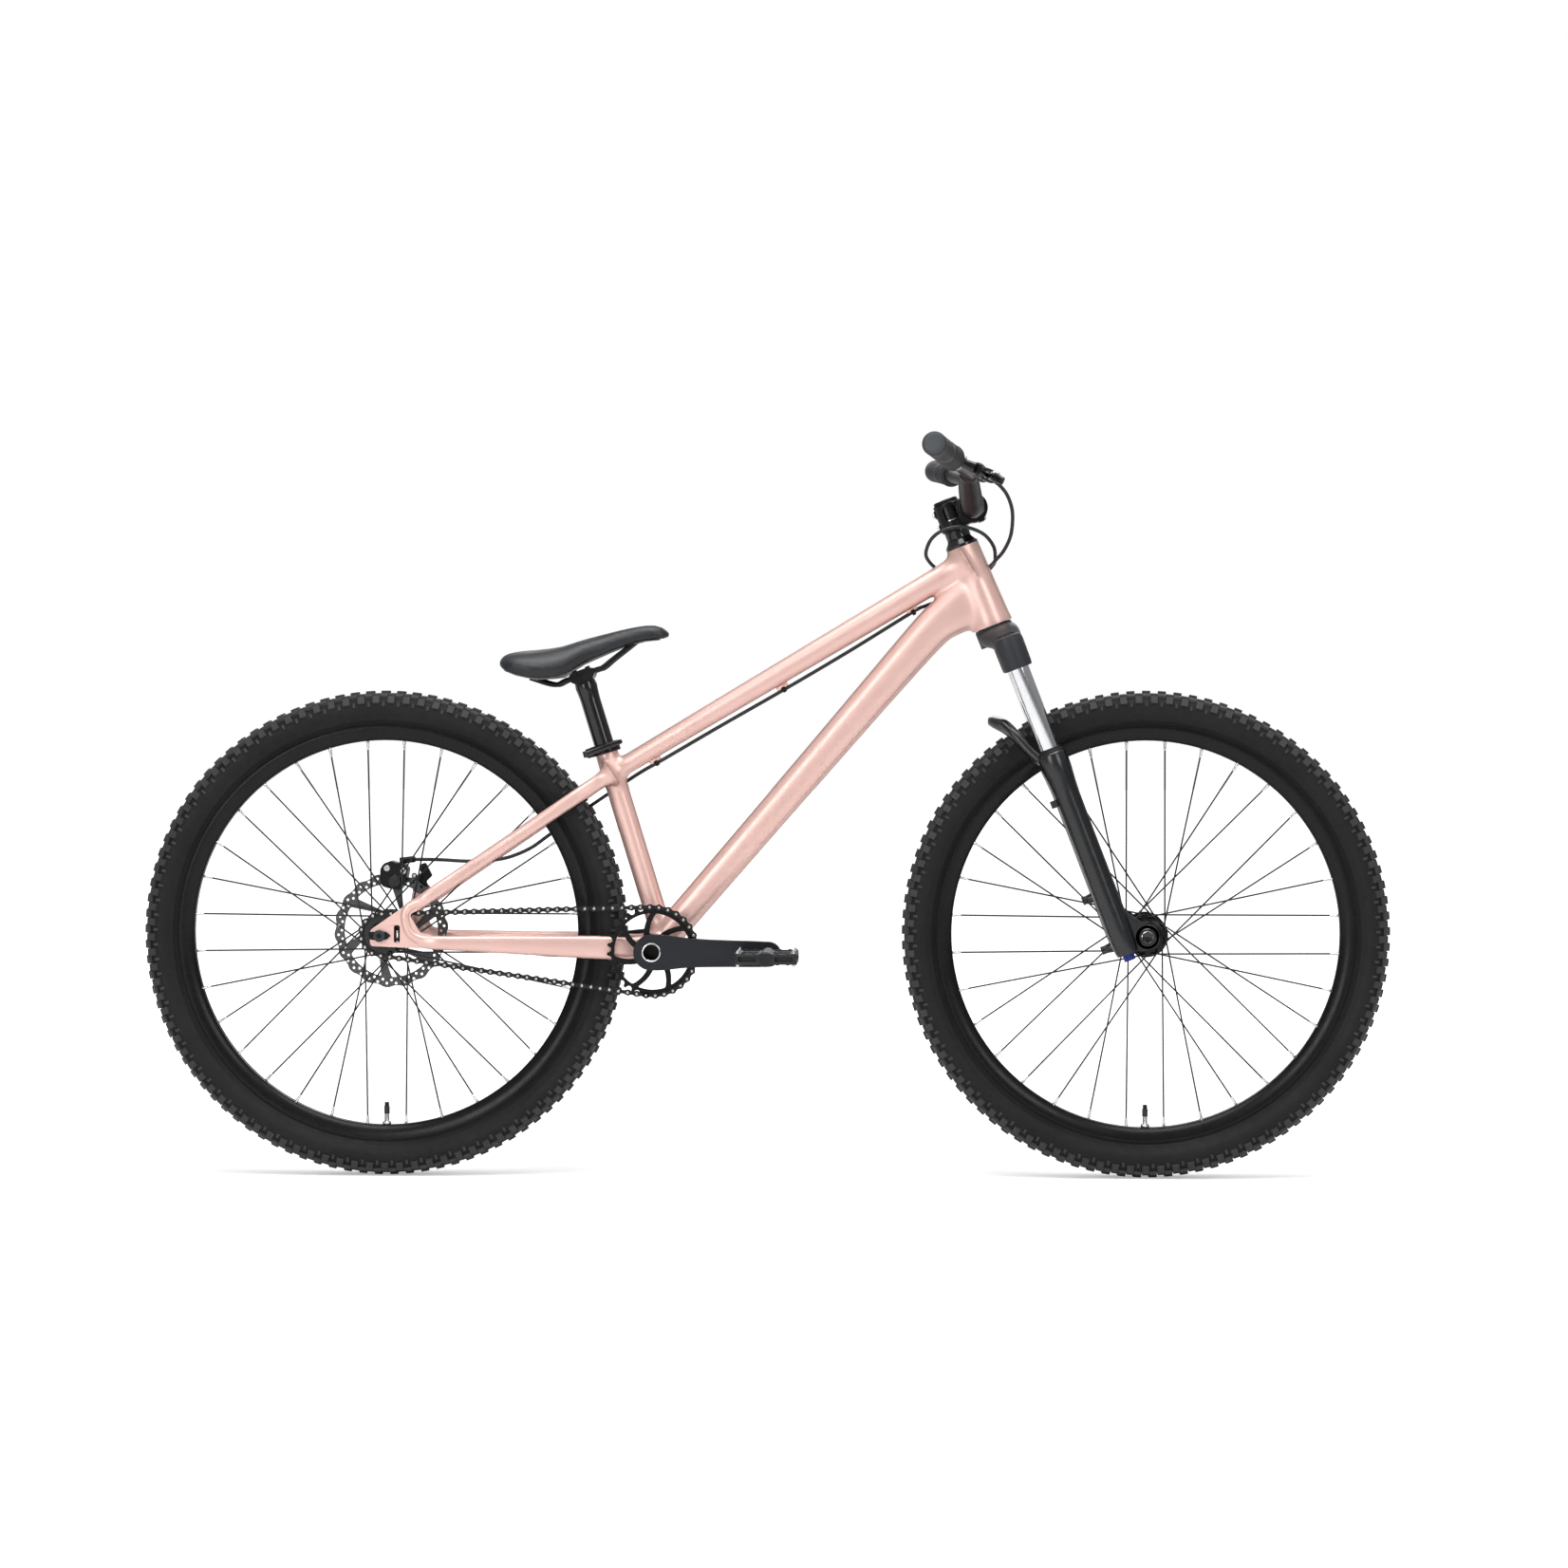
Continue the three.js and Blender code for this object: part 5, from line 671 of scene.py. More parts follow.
def down_tube():
    """Deepest and bent down at the head, where its rings turn to the steering line."""
    head = steer(0, 0, 541)
    down = Y.cross((head - BRACKET).normalized())
    # shares: place, depth, width, drop
    shares = [(0, 1, 1, 0), (0.25, 1.05, 0.957, 0), (0.5, 1.1125, 0.913, 0), (0.72, 1.2, 0.913, 0),
              (0.86, 1.3, 0.935, 0.025), (0.905, 1.45, 0.935, 0.15)]
    points = [BRACKET.lerp(head, s) + down * drop * 40 for s, _, _, drop in shares] + [steer(0, 0, 519)]
    sizes = [(width * 46 + 1.4, depth * 40 + 1.4) for _, depth, width, _ in shares] + [(42, 86)]
    points, sizes = stations(points, sizes, 14)
    loops, count = [], len(points)
    for i, (at, (width, height)) in enumerate(zip(points, sizes)):
        ahead = (points[min(i + 1, count - 1)] - points[max(i - 1, 0)]).normalized()
        share = max(0.0, (i - (count - 15)) / 14)
        up = ahead.cross(Y).lerp(STEER_UP, share * share * (3 - 2 * share)).normalized()
        swell = 1 + 0.10 * max(0.0, 1 - (at - BRACKET).length / 34) ** 2
        loops.append([at + Y * a * swell + up * b * swell for a, b in oval(width, height, 48, 2.8)])
    return Form().loft(loops)


def seat_tube():
    return Form().turned(*POST, [
        (0, 5), (19.5, 5), (18.4, 20), (17.0, 28), (16.2, 34), (15.9, 42), (15.9, 222), (16.0, 228),
        (16.6, 236), (16.6, 268), (15.9, 276), (15.9, 296), (0, 296)], 56)


def bracket_shell():
    cups = Form()
    for side in (1, -1):
        cups.turned(BRACKET, Y * side, [
            (12.3, 21.8), (16.7, 21.8), (16.7, 36.8), (20.6, 36.8), (21.2, 37.4), (21.2, 41), (20.2, 42.2),
            (20.2, 45.6), (19.4, 46.6), (12.3, 46.6)], closed=True)
        for i in range(16):
            cups.ball(BRACKET + on_wheel(20.3, TURN * i / 16, side * 43.8), 1.1, Y * side, 1.5, 8)
    cups.make("bearing_cups", BLACK, "frame", ["bracket_cup_left", "bracket_cup_right"], angle=28)


# Dropout plate, its window and the brake tab, as shares of the plate's reach
PLATE_REACH = 72
DROPOUT = [(-0.194, 0.097), (0.333, 0.465), (0.694, 0.729), (0.819, 0.528), (0.569, 0.403),
           (0.769, 0.056), (1, 0.021), (1, -0.25), (-0.181, -0.199)]
WINDOW = box(0.27, 0.2, 0.385, -0.132)
BRAKE_TAB = [(0.333, 0.444), (0.417, 0.889), (0.611, 0.958), (0.736, 0.833), (0.778, 0.611)]


def grown(shares):
    """An outline in millimetres from its shares."""
    return [(x * PLATE_REACH, z * PLATE_REACH) for x, z in shares]


def stay(side, start, end, depth, swell, shares):
    """A tube from the middle out to a dropout; shares are place, depth and distance out."""
    path = [start.lerp(end, s) + Y * (side * out * STAY_OUT) for s, _, out in shares]
    points, sizes = stations(path, [(14, deep * depth) for _, deep, _ in shares], 12)
    points, sizes = fillet(*resampled(points, sizes, 3), start=swell)
    return Form().swept(points, sizes, 32, 2.6), points


def rear_triangle(side):
    """One side's stays with the web between them, and its dropout plate as a piece of its own."""
    chainstay, points = stay(side, BRACKET + Vector((-8, 0, 2)), REAR + Vector((66, 0, -9)), 36, 20, [
        (0, 1, 0.418), (0.12, 0.944, 0.533), (0.3, 0.889, 0.596), (0.7, 0.694, 0.809), (0.93, 0.569, 1),
        (1, 0.556, 1)])
    tip = points[-1]
    chainstay.swept([tip, tip - X * 6, tip - X * 12, tip - X * 16],
                    [(13.4, 19.6), (11.5, 18), (8, 15), (6.2, 12)], 32, 2.6)
    low, high = (67.5, 73.5) if side > 0 else (-73.5, -67.5)
    plate = Form().plate(rounded(grown(DROPOUT), 5), low, high, about(REAR), [rounded(grown(WINDOW), 3)])
    if side > 0:
        plate.plate(rounded(grown(BRAKE_TAB), 5), low, high, about(REAR))
    slot = Form().plate([(-40, -5.3), (5.3, -5.3), (8.4, -4), (10.6, 0), (8.4, 4), (5.3, 5.3), (-40, 5.3)],
                        low - 6, high + 6, about(REAR))
    plate.make(f"dropout_{SIDES[side]}", PAINT_AND_SHADE, "frame", [f"chainstay_{SIDES[side]}"], bevel=0.8, angle=30,
               cutters=[slot])
    form, points = stay(side, TOP_SEAT, REAR + Vector((55, 0, 45.6)), 22, 22, [
        (0, 1, 0.332), (0.1, 0.955, 0.418), (0.2, 0.932, 0.546), (0.35, 0.909, 0.638), (0.7, 0.886, 0.752),
        (0.93, 0.864, 1), (1, 0.841, 1)])
    tip, run = points[-1], (points[-1] - points[-6]).normalized()
    form.swept([tip, tip + run * 5, tip + run * 10, tip + run * 14],
               [(13.4, 18), (11, 16.6), (8, 14), (6.2, 12)], 32, 2.6)
    web = [REAR + Vector((x, side * STAY_OUT, z)) for x, z in
           ((66, -8), (56, -5), (46, -1), (39, 8), (35.5, 20), (35, 31), (42, 41), (55, 47))]
    form.swept(smooth_path(web, 6), (13.6, 13), 28, 2.6)
    return form.add(chainstay.points, chainstay.faces)


def near_joints(obj, joints):
    """Marks how far each point is smoothed: fully at the dressed joints, less on the open tubes and stays."""
    group = obj.vertex_groups.new(name="welds")
    for vertex in obj.data.vertices:
        at = vertex.co / MM
        weight = 2.2 * max(1 - (at - spot).length / reach for spot, reach in joints)
        # nothing is smoothed within 54 mm of the rear axle
        away = hypot(at.x - REAR.x, at.z - REAR.z) / 30 - 1.8
        weight = max(weight, min(away, 0.7 if at.x > BRACKET.x - 50 else 0.2))
        if weight > 0:
            group.add([vertex.index], min(1, weight), "REPLACE")


def welded_frame(forms):
    """Tubes run into one skin, its welds dressed smooth and its ends faced."""
    whole = Form()
    for form in forms:
        whole.add(form.points, form.faces)
    whole.turned(BRACKET, Y, box(0, -40, 21.5, 40), 64)
    obj = whole.make("welded_tubes", PAINT_AND_SHADE, weld=False)
    modify(obj, "REMESH", mode="VOXEL", voxel_size=0.0021)
    baked(obj)
    near_joints(obj, [
        (steer(-8, 0, 560), 52), (steer(-24, 0, 515), 66), (seat(0, 0, 252), 44), (BRACKET, 64),
        (seat(-30, 0, 240), 40)])
    modify(obj, "SMOOTH", iterations=4, factor=0.5)
    modify(obj, "SMOOTH", iterations=44, factor=0.6, vertex_group="welds")
    baked(obj)
    bores = [
        (*STEERER, [(60, 440), (60, 471.6)]), (*STEERER, [(60, 587.6), (60, 640)]),
        (*STEERER, [(26.4, 440), (26.4, 479.6), (22.4, 482), (22.4, 500), (18.6, 560), (18.6, 579),
                    (21.1, 579.3), (21.1, 620)], 64),
        (*POST, [(40, 291), (40, 330)]), (*POST, [(13.9, 181), (13.9, 330)]),
        (BRACKET, Y, [(24, 36.5), (24, 60)]), (BRACKET, Y, [(24, -60), (24, -36.5)]),
        (BRACKET, Y, [(17, -80), (17, 80)])]
    cut(obj, *[Form().turned(*bore) for bore in bores], solver="FAST")
    obj.data.set_sharp_from_angle(angle=radians(42))
    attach(obj, "frame")
    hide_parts("head_tube", "top_tube", "down_tube", "seat_tube", "bottom_bracket_shell",
                "seatstay_left", "seatstay_right")


bracket_shell()
welded_frame([head_tube(), top_tube(), down_tube(), seat_tube(), rear_triangle(1), rear_triangle(-1)])


def dropout_fittings():
    """Chain tensioners, axle nuts, the adjuster screws in the windows, and the rear axle."""
    fittings, screws, nuts = Form(), Form(), Form()
    for side in (1, -1):
        low, high = sorted((side * 73.9, side * 77.5))
        body = rounded([(-12.5, -5.4), (9, -5.6), (15.5, 0), (9, 5.6), (-12.5, 5.4)], 2)
        fittings.plate(body, low, high, about(REAR))
        nuts.turned(REAR + Y * side * 77.5, Y * side, [
            (0, 0), (7.6, 0), (8.2, 0.8), (8.2, 3.4), (7, 4.3), (3.6, 4.3), (3.2, 2.0), (0, 2.0)], 24)
        at = REAR + Vector((23.8, side * STAY_OUT, -1.5))
        screws.turned(at - Z * 8.6, Z, box(0, 0, 1.7, 17.2), 12)
        for i in range(7):
            screws.turned(at + Z * (i * 1.2 - 3.5), Z, [(1.7, 0), (2.15, 0.6), (1.7, 1.2)], 12)
        fittings.turned(at - Z * 5.4, Z, drum(0, 3.9, 0, 4.1, 0.5), 6)
    fittings.make("chain_tensioners", BLACK, "frame", bevel=0.4)
    screws.make("adjuster_screws", BRIGHT, "frame")
    nuts.make("axle_nuts", CROWN, "frame", bevel=0.3)
    pin = Form().turned(REAR, Y, mirrored([(0, -80.8), (4, -80.8), (4.6, -80.2), (4.8, -57)]), 32)
    for side in (1, -1):
        pin.turned(REAR + Y * side * 57.3, Y * side,
                   [(5, 0), (7.6, 0), (8, 0.5), (8, 9.2), (7.6, 9.8), (5, 9.8)], 32)
    pin.make("axle_pin", BLACK, "frame", ["rear_axle"])


dropout_fittings()


# Seat collar, lever, seatpost, clamp and rails
def seat_fittings():
    """All that holds the saddle, with the quick lever behind the collar."""
    form = Form().turned(*POST, [
        (16.2, 278.2), (19.6, 278), (20.4, 278.8), (20.4, 291.2), (19.6, 292),
        (16.2, 291.8)], 56, closed=True)
    ears = rounded(box(-27.5, 278.4, -17, 291.6), 4)
    form.plate(ears, 1.5, 9, in_seat)
    form.plate(ears, -9, -1.5, in_seat)
    pivot = -24.9
    form.turned(seat(pivot, -12, 285), Y, [
        (0, 0), (2.4, 0), (2.4, 23), (4.4, 23), (4.6, 23.5), (4.6, 24), (0, 24)], 20)
    form.make("seat_collar_ring", BLACK, "frame", ["seat_collar"], bevel=0.5)
    lever = Form()
    lever.turned(seat(pivot, -17.8, 280.6), SEAT_UP, drum(0, 5.5, 0, 8.8, 0.5), 32)
    steps = [k / 16 for k in range(17)]
    path = [seat(pivot + 52 * s, -24.9 - 0.8 * sin(pi * s), 285 + 3 * s) for s in steps]
    sizes = [(3.9 * (1 - 0.1 * s), 9 * (1 - 0.25 * s)) for s in steps]
    sizes[-1] = (2.2, 4.6)
    lever.swept(path, sizes, 20, 3.2)
    lever.make("quick_lever", GLOSS, "seat_lever", ["seat_clamp_lever"])
    post = Form().turned(*POST, [
        (11.2, 181), (13.2, 181), (13.6, 181.6), (13.6, 355), (13.9, 361), (14.4, 367), (15.2, 374),
        (14.2, 382), (0, 384)], 56)
    head = rounded([(-19, 0), (19, 0), (15.5, -7), (9, -11), (-9, -11), (-15.5, -7)], 3)
    post.plate(head, -27, 27, in_rails)
    grooves = [Form().turned(rails(-40, side * RAIL_OUT, 0), RAIL_AHEAD, [(3.8, 0), (3.8, 80)], 20)
               for side in (1, -1)]
    post.make("seatpost_tube", GLOSS, "frame", ["seatpost"], cutters=grooves)
    clamp = Form().plate(rounded([(-19, 0.3), (19, 0.3), (17, 4), (12, 7), (-12, 7), (-17, 4)], 2),
                         -27, 27, in_rails)
    clamp.make("rail_clamp", GLOSS, "frame", ["seatpost_clamp"], cutters=grooves)
    bolts = Form()
    for side in (1, -1):
        bolts.bolt(rails(side * 9.5, 0, 7), RAIL_UP, 3.6, 2.4)
    bolts.make("clamp_bolts", BLACK, "frame")


def rail_path():
    """One wire from rear to front, round the nose and back on the other side."""
    half = [Vector((-68, RAIL_OUT * 1.15, 20))]
    half += [Vector((38 * s, RAIL_OUT, 0)) for s in (-1.053, -0.553, 0.553, 0.816)]
    half += [Vector((96 * a, RAIL_OUT * o, 22 * u)) for a, o, u in ((0.5, 0.82, 0.273), (0.9, 0.5, 0.85))]
    points = [*half, Vector((96, 0, 22)), *[Vector((p.x, -p.y, p.z)) for p in reversed(half)]]
    return [rails(*p) for p in smooth_path(points, 8)]


seat_fittings()
Form().swept(rail_path(), 3.5, 14).make("saddle_wire", BLACK, "frame", ["saddle_rails"])


# Saddle: rows of place ahead, half width, crown and skirt, as shares of its length, half width and height
SADDLE = [(-0.941, 0.571, 0.329, 0.186), (-0.874, 0.814, 0.429, 0.086), (-0.739, 0.957, 0.479, 0),
          (-0.504, 1, 0.507, -0.086), (-0.235, 0.886, 0.571, -0.043), (0, 0.657, 0.693, 0.214),
          (0.235, 0.443, 0.8, 0.386), (0.487, 0.343, 0.921, 0.564), (0.723, 0.314, 1, 0.671),
          (0.891, 0.264, 0.986, 0.7), (1, 0.157, 0.871, 0.729)]
SADDLE_CROWN = [(1, 0.36), (0.9, 0.66), (0.7, 0.88), (0.36, 0.985), (0, 0.955), (-0.36, 0.985), (-0.7, 0.88),
                (-0.9, 0.66), (-1, 0.36)]
SADDLE_REACH, SADDLE_HALF = 119, 70
SADDLE_SKIRT = [(-0.93, 0.04), (-0.72, 0), (-0.3, 0.1), (0.3, 0.1), (0.72, 0), (0.93, 0.04)]


def saddle_ring(station, inset, outline):
    """The saddle's section at one row, drawn in by an inset."""
    ahead, half, crown, skirt = station
    origin = seat(0, 0, RAIL_LEVEL)
    reach = max(half * SADDLE_HALF - inset, 2)
    return [Vector((origin.x + ahead * SADDLE_REACH, reach * out,
                    origin.z + SADDLE_HALF * lerp(skirt, crown, up) - inset * up)) for out, up in outline]


def saddle():
    """A padded cover, blown up a little as cloth, over a plastic base."""
    spots = smooth_path([Vector(row[:3]) for row in SADDLE], 4)
    skirts = smooth_path([Vector((row[3], 0, 0)) for row in SADDLE], 4)
    crown = smooth_path([Vector((a, b, 0)) for a, b in SADDLE_CROWN], 3)
    outline = [(p.x, p.y) for p in crown] + SADDLE_SKIRT
    form = Form().loft([saddle_ring((*spot, skirt.x), 1.6, outline) for spot, skirt in zip(spots, skirts)])
    pad = form.make("saddle_cushion", COVER, angle=80)
    inflated(pad, 0.0035, 1.1, 0.004)
    modify(pad, "SUBSURF", levels=1, render_levels=1)
    baked(pad)
    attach(pad, "frame")
    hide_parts("saddle")
    under = [(0.9, 0.06), (0.7, 0.0), (0.3, 0.1), (-0.3, 0.1), (-0.7, 0.0), (-0.9, 0.06), (-0.7, 0.3),
             (0, 0.4), (0.7, 0.3)]
    base = Form().loft([saddle_ring((ahead, half * 0.93, crown - 0.1, skirt - 0.015), 0, under)
                        for ahead, half, crown, skirt in SADDLE[1:-1]])
    base.make("saddle_base", PLASTIC, "frame")


def inflated(obj, voxel, pressure, cap):
    """Blows a closed skin up a little as cloth, with no point moved more than cap."""
    modify(obj, "REMESH", mode="VOXEL", voxel_size=voxel)
    baked(obj)
    start = [v.co.copy() for v in obj.data.vertices]
    cloth = obj.modifiers.new("cloth", "CLOTH")
    cloth.settings.use_pressure = True
    cloth.settings.uniform_pressure_force = pressure
    cloth.settings.effector_weights.gravity = 0
    scene = bpy.context.scene
    for number in range(1, 13):
        scene.frame_set(number)
    graph = bpy.context.evaluated_depsgraph_get()
    moved = [v.co.copy() for v in obj.evaluated_get(graph).data.vertices]
    obj.modifiers.clear()
    for vertex, before, after in zip(obj.data.vertices, start, moved):
        shift = after - before
        if shift.length > cap:
            shift *= cap / shift.length
        vertex.co = before + shift
    scene.frame_set(1)


saddle()


# Fork
def crown():
    """The arched casting with its two leg sockets, the steerer tube and the caps over the stanchions."""
    # shares: place out, width, depth, place ahead, drop below the top
    shares = [(-1.05, 0.72, 0.96, 0.955, 0.42), (-0.75, 0.9, 0.96, 0.8, 0.27), (-0.3, 1.08, 0.93, 0.3, 0.18)]
    shares += [(-out, *rest) for out, *rest in reversed(shares)]
    path = [steer(LEG_AHEAD * a, s * LEG_OUT, 468 - 64 * f) for s, _, _, a, f in shares]
    points, sizes = stations(path, [(50 * w, 28 * d) for _, w, d, _, _ in shares], 10)
    rings = [[at + STEER_AHEAD * a + STEER_UP * b for a, b in oval(w, h, 40, 3)]
             for at, (w, h) in zip(points, sizes)]
    form = Form().loft(rings)
    for side in (1, -1):
        form.turned(*leg(side), [
            (14.4, 404), (18.6, 404), (19.6, 405), (20.2, 410), (20.5, 430), (20.5, 444), (19.2, 449),
            (14, 451.5), (0, 452)], 56)
    form.turned(*STEERER, [(0, 446), (26, 446), (26.4, 468), (25.6, 470), (25.6, 471), (19.8, 471.3),
                           (0, 471.3)], 56)
    bores = [Form().turned(*leg(side), [(14.3, 380), (14.3, 442)], 40) for side in (1, -1)]
    form.make("crown_casting", CROWN, "steering", ["fork_crown"], angle=30,
              cutters=[*bores, Form().turned(*STEERER, [(11.7, 430), (11.7, 480)], 32)])
    tube = Form().turned(*STEERER, [
        (11.7, 471.3), (19.8, 471.3), (19.8, 497.6), (14.3, 545.6), (14.3, 649), (11.7, 649)], closed=True)
    tube.make("steerer_tube", BLACK, "steering")
    caps = Form()
    for side in (1, -1):
        caps.turned(*leg(side), [(0, 451.2), (11.6, 451.2), (11.6, 452.4), (10.4, 453.4), (0, 453.4)], 6)
    caps.make("stanchion_caps", BLACK, "steering")


def stanchions():
    for side, word in SIDES.items():
        tube = Form().turned(*leg(side), [(0, 183), (13.6, 183), (14, 183.6), (14, 441), (0, 441)], 64)
        tube.make(f"stanchion_{word}_tube", CHROME, "steering", [f"stanchion_{word}"])


def lowers():
    """Legs, bridge, axle ends and brake posts in one casting, with their seals, knob, cap and axle."""
    form = Form()
    for side in (1, -1):
        form.turned(*leg(side), [
            (14.3, 281), (18.2, 281), (19.4, 280), (20.4, 278), (20.4, 262), (20.1, 255), (19.2, 246),
            (18.2, 234), (17.6, 220), (17.3, 140), (17.6, 60), (18, 24), (17.6, 8), (16.4, -6), (15, -12),
            (10, -12), (10, 22), (14.3, 22)], 64, closed=True)
    # the bridge's shares: place out, place back, rise, width, height
    shares = [(-0.98, 0, -0.328, 0.94, 1), (-0.92, 0.38, 0.05, 0.875, 0.86), (-0.7, 0.72, 0.72, 0.875, 0.86),
              (-0.35, 0.947, 0.955, 0.94, 0.727), (0, 1, 1, 1, 0.636)]
    shares += [(-a, *rest) for a, *rest in reversed(shares[:-1])]
    path = [steer(LEG_AHEAD - b * 57, o * LEG_OUT, 281 + r * 67) for o, b, r, _, _ in shares]
    points, sizes = stations(path, [(16 * w, 22 * h) for _, _, _, w, h in shares], 8)
    form.swept(points, sizes, 28, 3, near=X)
    ends = [(-0.455, 0.026), (-0.364, -0.141), (0.303, -0.154), (0.879, -0.223), (1.273, -0.192),
            (1.515, -0.038), (1.455, 0.115), (1.091, 0.224), (0.515, 0.564), (0.455, 1), (-0.303, 1)]
    outline = rounded([(LEG_AHEAD + x * 33, z * 78) for x, z in ends], 7)
    for side in (1, -1):
        low, high = sorted((side * 55, side * 70))
        form.plate(outline, low, high, in_steering, [circle(10.3, 32, AXLE_AHEAD)])
        # the raised ring round the wheel's axle
        form.turned(steer(AXLE_AHEAD, side * 69.6, 0), Y * side,
                    [(10.4, 0), (17, 0), (16.4, 0.4), (10.4, 0.4)], 40, closed=True)
    for level in (69, -5):
        form.turned(steer(LEG_AHEAD, LEG_OUT, level), -STEER_AHEAD, [
            (0, 10), (8.4, 12), (6.6, 20), (6, 24), (6, 30.4), (5.4, 31), (2.6, 31), (2.6, 24), (0, 24)], 28)
    form.make("lower_casting", LOWERS, "lowers", ["fork_lowers"], bevel=0.9, angle=32)
    guide = Form()
    ring = rounded(box(-14.6, -5.5, -3.6, 5.5), 2)
    hole = rounded(box(-12.2, -3.1, -6.0, 3.1), 1)
    guide.plate(ring, 209, 219, lambda x, z, y: steer(x, z - LEG_OUT, y), [hole])
    guide.make("hose_guide", PLASTIC, "lowers", bevel=0.4)
    seals = Form()
    for side in (1, -1):
        seals.turned(*leg(side), [
            (14.1, 279.5), (18.3, 279.5), (18.3, 282.2), (17.2, 283.4), (16.2, 284.2), (15.6, 286.4),
            (14.7, 287.2), (14.15, 287.2)], 56, closed=True)
    seals.make("dust_seals", RUBBER, "lowers")
    outline = [polar(7.6 + 0.4 * cos(TURN * i * 16 / 64), TURN * i / 64) for i in range(64)]
    knob = Form().plate(outline, -21.2, -12.4, lambda x, z, y: steer(LEG_AHEAD + x, z - LEG_OUT, y))
    knob.make("rebound_dial", BLUE, "rebound_knob", ["rebound_knob"], bevel=0.7)
    foot = Form().turned(leg(1)[0], -STEER_UP, [(0, 11), (7.5, 12), (8, 12.6), (8, 16), (7.2, 17), (4, 17),
                                                (4, 14.5), (0, 14.5)], 24)
    foot.make("air_cap", BLACK, "lowers")
    axle = Form().turned(steer(AXLE_AHEAD, 0, 0), Y, [
        (8.3, -73), (11, -73), (12, -72.2), (12, -70.3), (10, -70.3), (10, 69.6), (9.6, 70),
        (8.3, 70)], closed=True)
    axle.turned(steer(AXLE_AHEAD, -70.8, 0), -Y, [
        (0, 0), (8.25, 0), (8.25, 1.2), (6.8, 1.2), (5.4, 0.6), (0, 0.6)], 6)
    axle.make("through_axle", GLOSS, "lowers", ["front_axle"])


crown()
stanchions()
lowers()


# Headset, spacers, stem and bar
def cockpit():
    """The stem and its face in one skin each, with the headset, cap and bolts."""
    form = Form().turned(*STEERER, [
        (14.7, 587.9), (22.2, 587.9), (22.8, 588.5), (22.8, 591.0), (22.2, 592), (18.4, 597), (17.4, 599),
        (17, 600.4), (16.5, 600.6), (16.5, 601.2), (17, 601.4), (17, 611.2), (16.6, 611.7),
        (14.7, 611.7)], 64, closed=True)
    form.make("headset_cover", GLOSS, "steering", ["headset_spacer"], angle=25)
    for name, replaced, inner, outer, low, high in (
            ("lower_bearing_race", "headset_bearing_lower", 20.4, 26, 471.9, 479.3),
            ("upper_bearing_race", "headset_bearing_upper", 15, 20.7, 579.7, 587.2)):
        race = Form().turned(*STEERER, box(inner, low, outer, high), closed=True)
        race.make(name, STEEL, "frame", [replaced])
    side = rounded([(-2, 612.6), (20, 613.8), (33, 611.8), (32.3, 652.4), (20, 649.6), (-2, 648.6)], 5)
    body = Form().plate(side, -18, 18, in_steering)
    body.turned(*STEERER, [(0, 612), (18.4, 612), (19, 612.6), (19, 651.6), (18.4, 652), (0, 652)], 56)
    barrel = drum(0, 20.5, -23, 23, 0.7)
    body.turned(*BAR_SEAT, barrel, 56)
    for level in (620.8, 640.8):
        body.turned(steer(-15, 0, level), -STEER_AHEAD, [(0, 0), (5.4, 0), (5.4, 5.4), (4.8, 6), (0, 6)], 24)
    obj = body.make("stem_body", BLACK, angle=30)
    fused(obj, 0.0009)
    bar_bore = Form().turned(*BAR_SEAT, [(16.1, -40), (16.1, 40)], 56)
    room = Form().plate(box(32.6, 590, 80, 680), -40, 40, in_steering)
    opening = rounded(box(-8.5, 624.5, 9.5, 646), 4)
    windows = [Form().plate(opening, *sorted((s * 8, s * 40)), in_steering) for s in (1, -1)]
    split = Form().plate(box(-40, 600, -12, 660), -0.8, 0.8, in_steering)
    core = Form().turned(*STEERER, [(15.6, 600), (15.6, 670)])
    cut(obj, core, bar_bore, room, split, *windows, solver="MANIFOLD")
    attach(obj, "steering")
    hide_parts("stem")
    inner = Form().turned(*STEERER, box(14.4, 612, 15.4, 650), closed=True)
    inner.make("steerer_sleeve", GLOSS, "steering")
    # painted highlight: a thin bright band on the steerer inside the stem's windows stands in for the glint
    # on the steerer
    edge = Form().turned(*STEERER, box(15.3, 626.2, 15.6, 627.6), closed=True)
    edge.make("steerer_painted_highlight", BRIGHT, "steering")
    plate = Form().turned(*BAR_SEAT, barrel, 56)
    plate.plate(rounded(box(30, 610.2, 42.2, 653.8), 3), -22.6, 22.6, in_steering)
    back = Form().plate(box(-20, 590, 33.2, 680), -40, 40, in_steering)
    gap = Form().plate(box(36, 617, 60, 647), -9, 9, in_steering)
    plate.make("stem_face", BLACK, "steering", ["stem_faceplate"], bevel=0.7, angle=30,
               cutters=[back, bar_bore, gap])
    bolts = Form()
    for out in (-16, 16):
        for level in (614.2, 649.8):
            bolts.bolt(steer(42.2, out, level), STEER_AHEAD, 3.3, 2)
    for level in (620.8, 640.8):
        bolts.bolt(steer(-21, 5, level), -STEER_AHEAD, 3.2, 2.4)
    bolts.bolt(steer(0, 0, 656.2), STEER_UP, 5, 1.1)
    bolts.make("stem_bolts", BRIGHT, "steering")
    cap = Form().turned(*STEERER, [
        (0, 649.3), (11.3, 649.3), (11.3, 652.3), (16.4, 652.3), (17, 652.9), (17, 654.6), (15.6, 656.1),
        (9, 656.3), (0, 656.3)], 56)
    cap.make("headset_cap", BLACK, "steering", ["top_cap"])


cockpit()

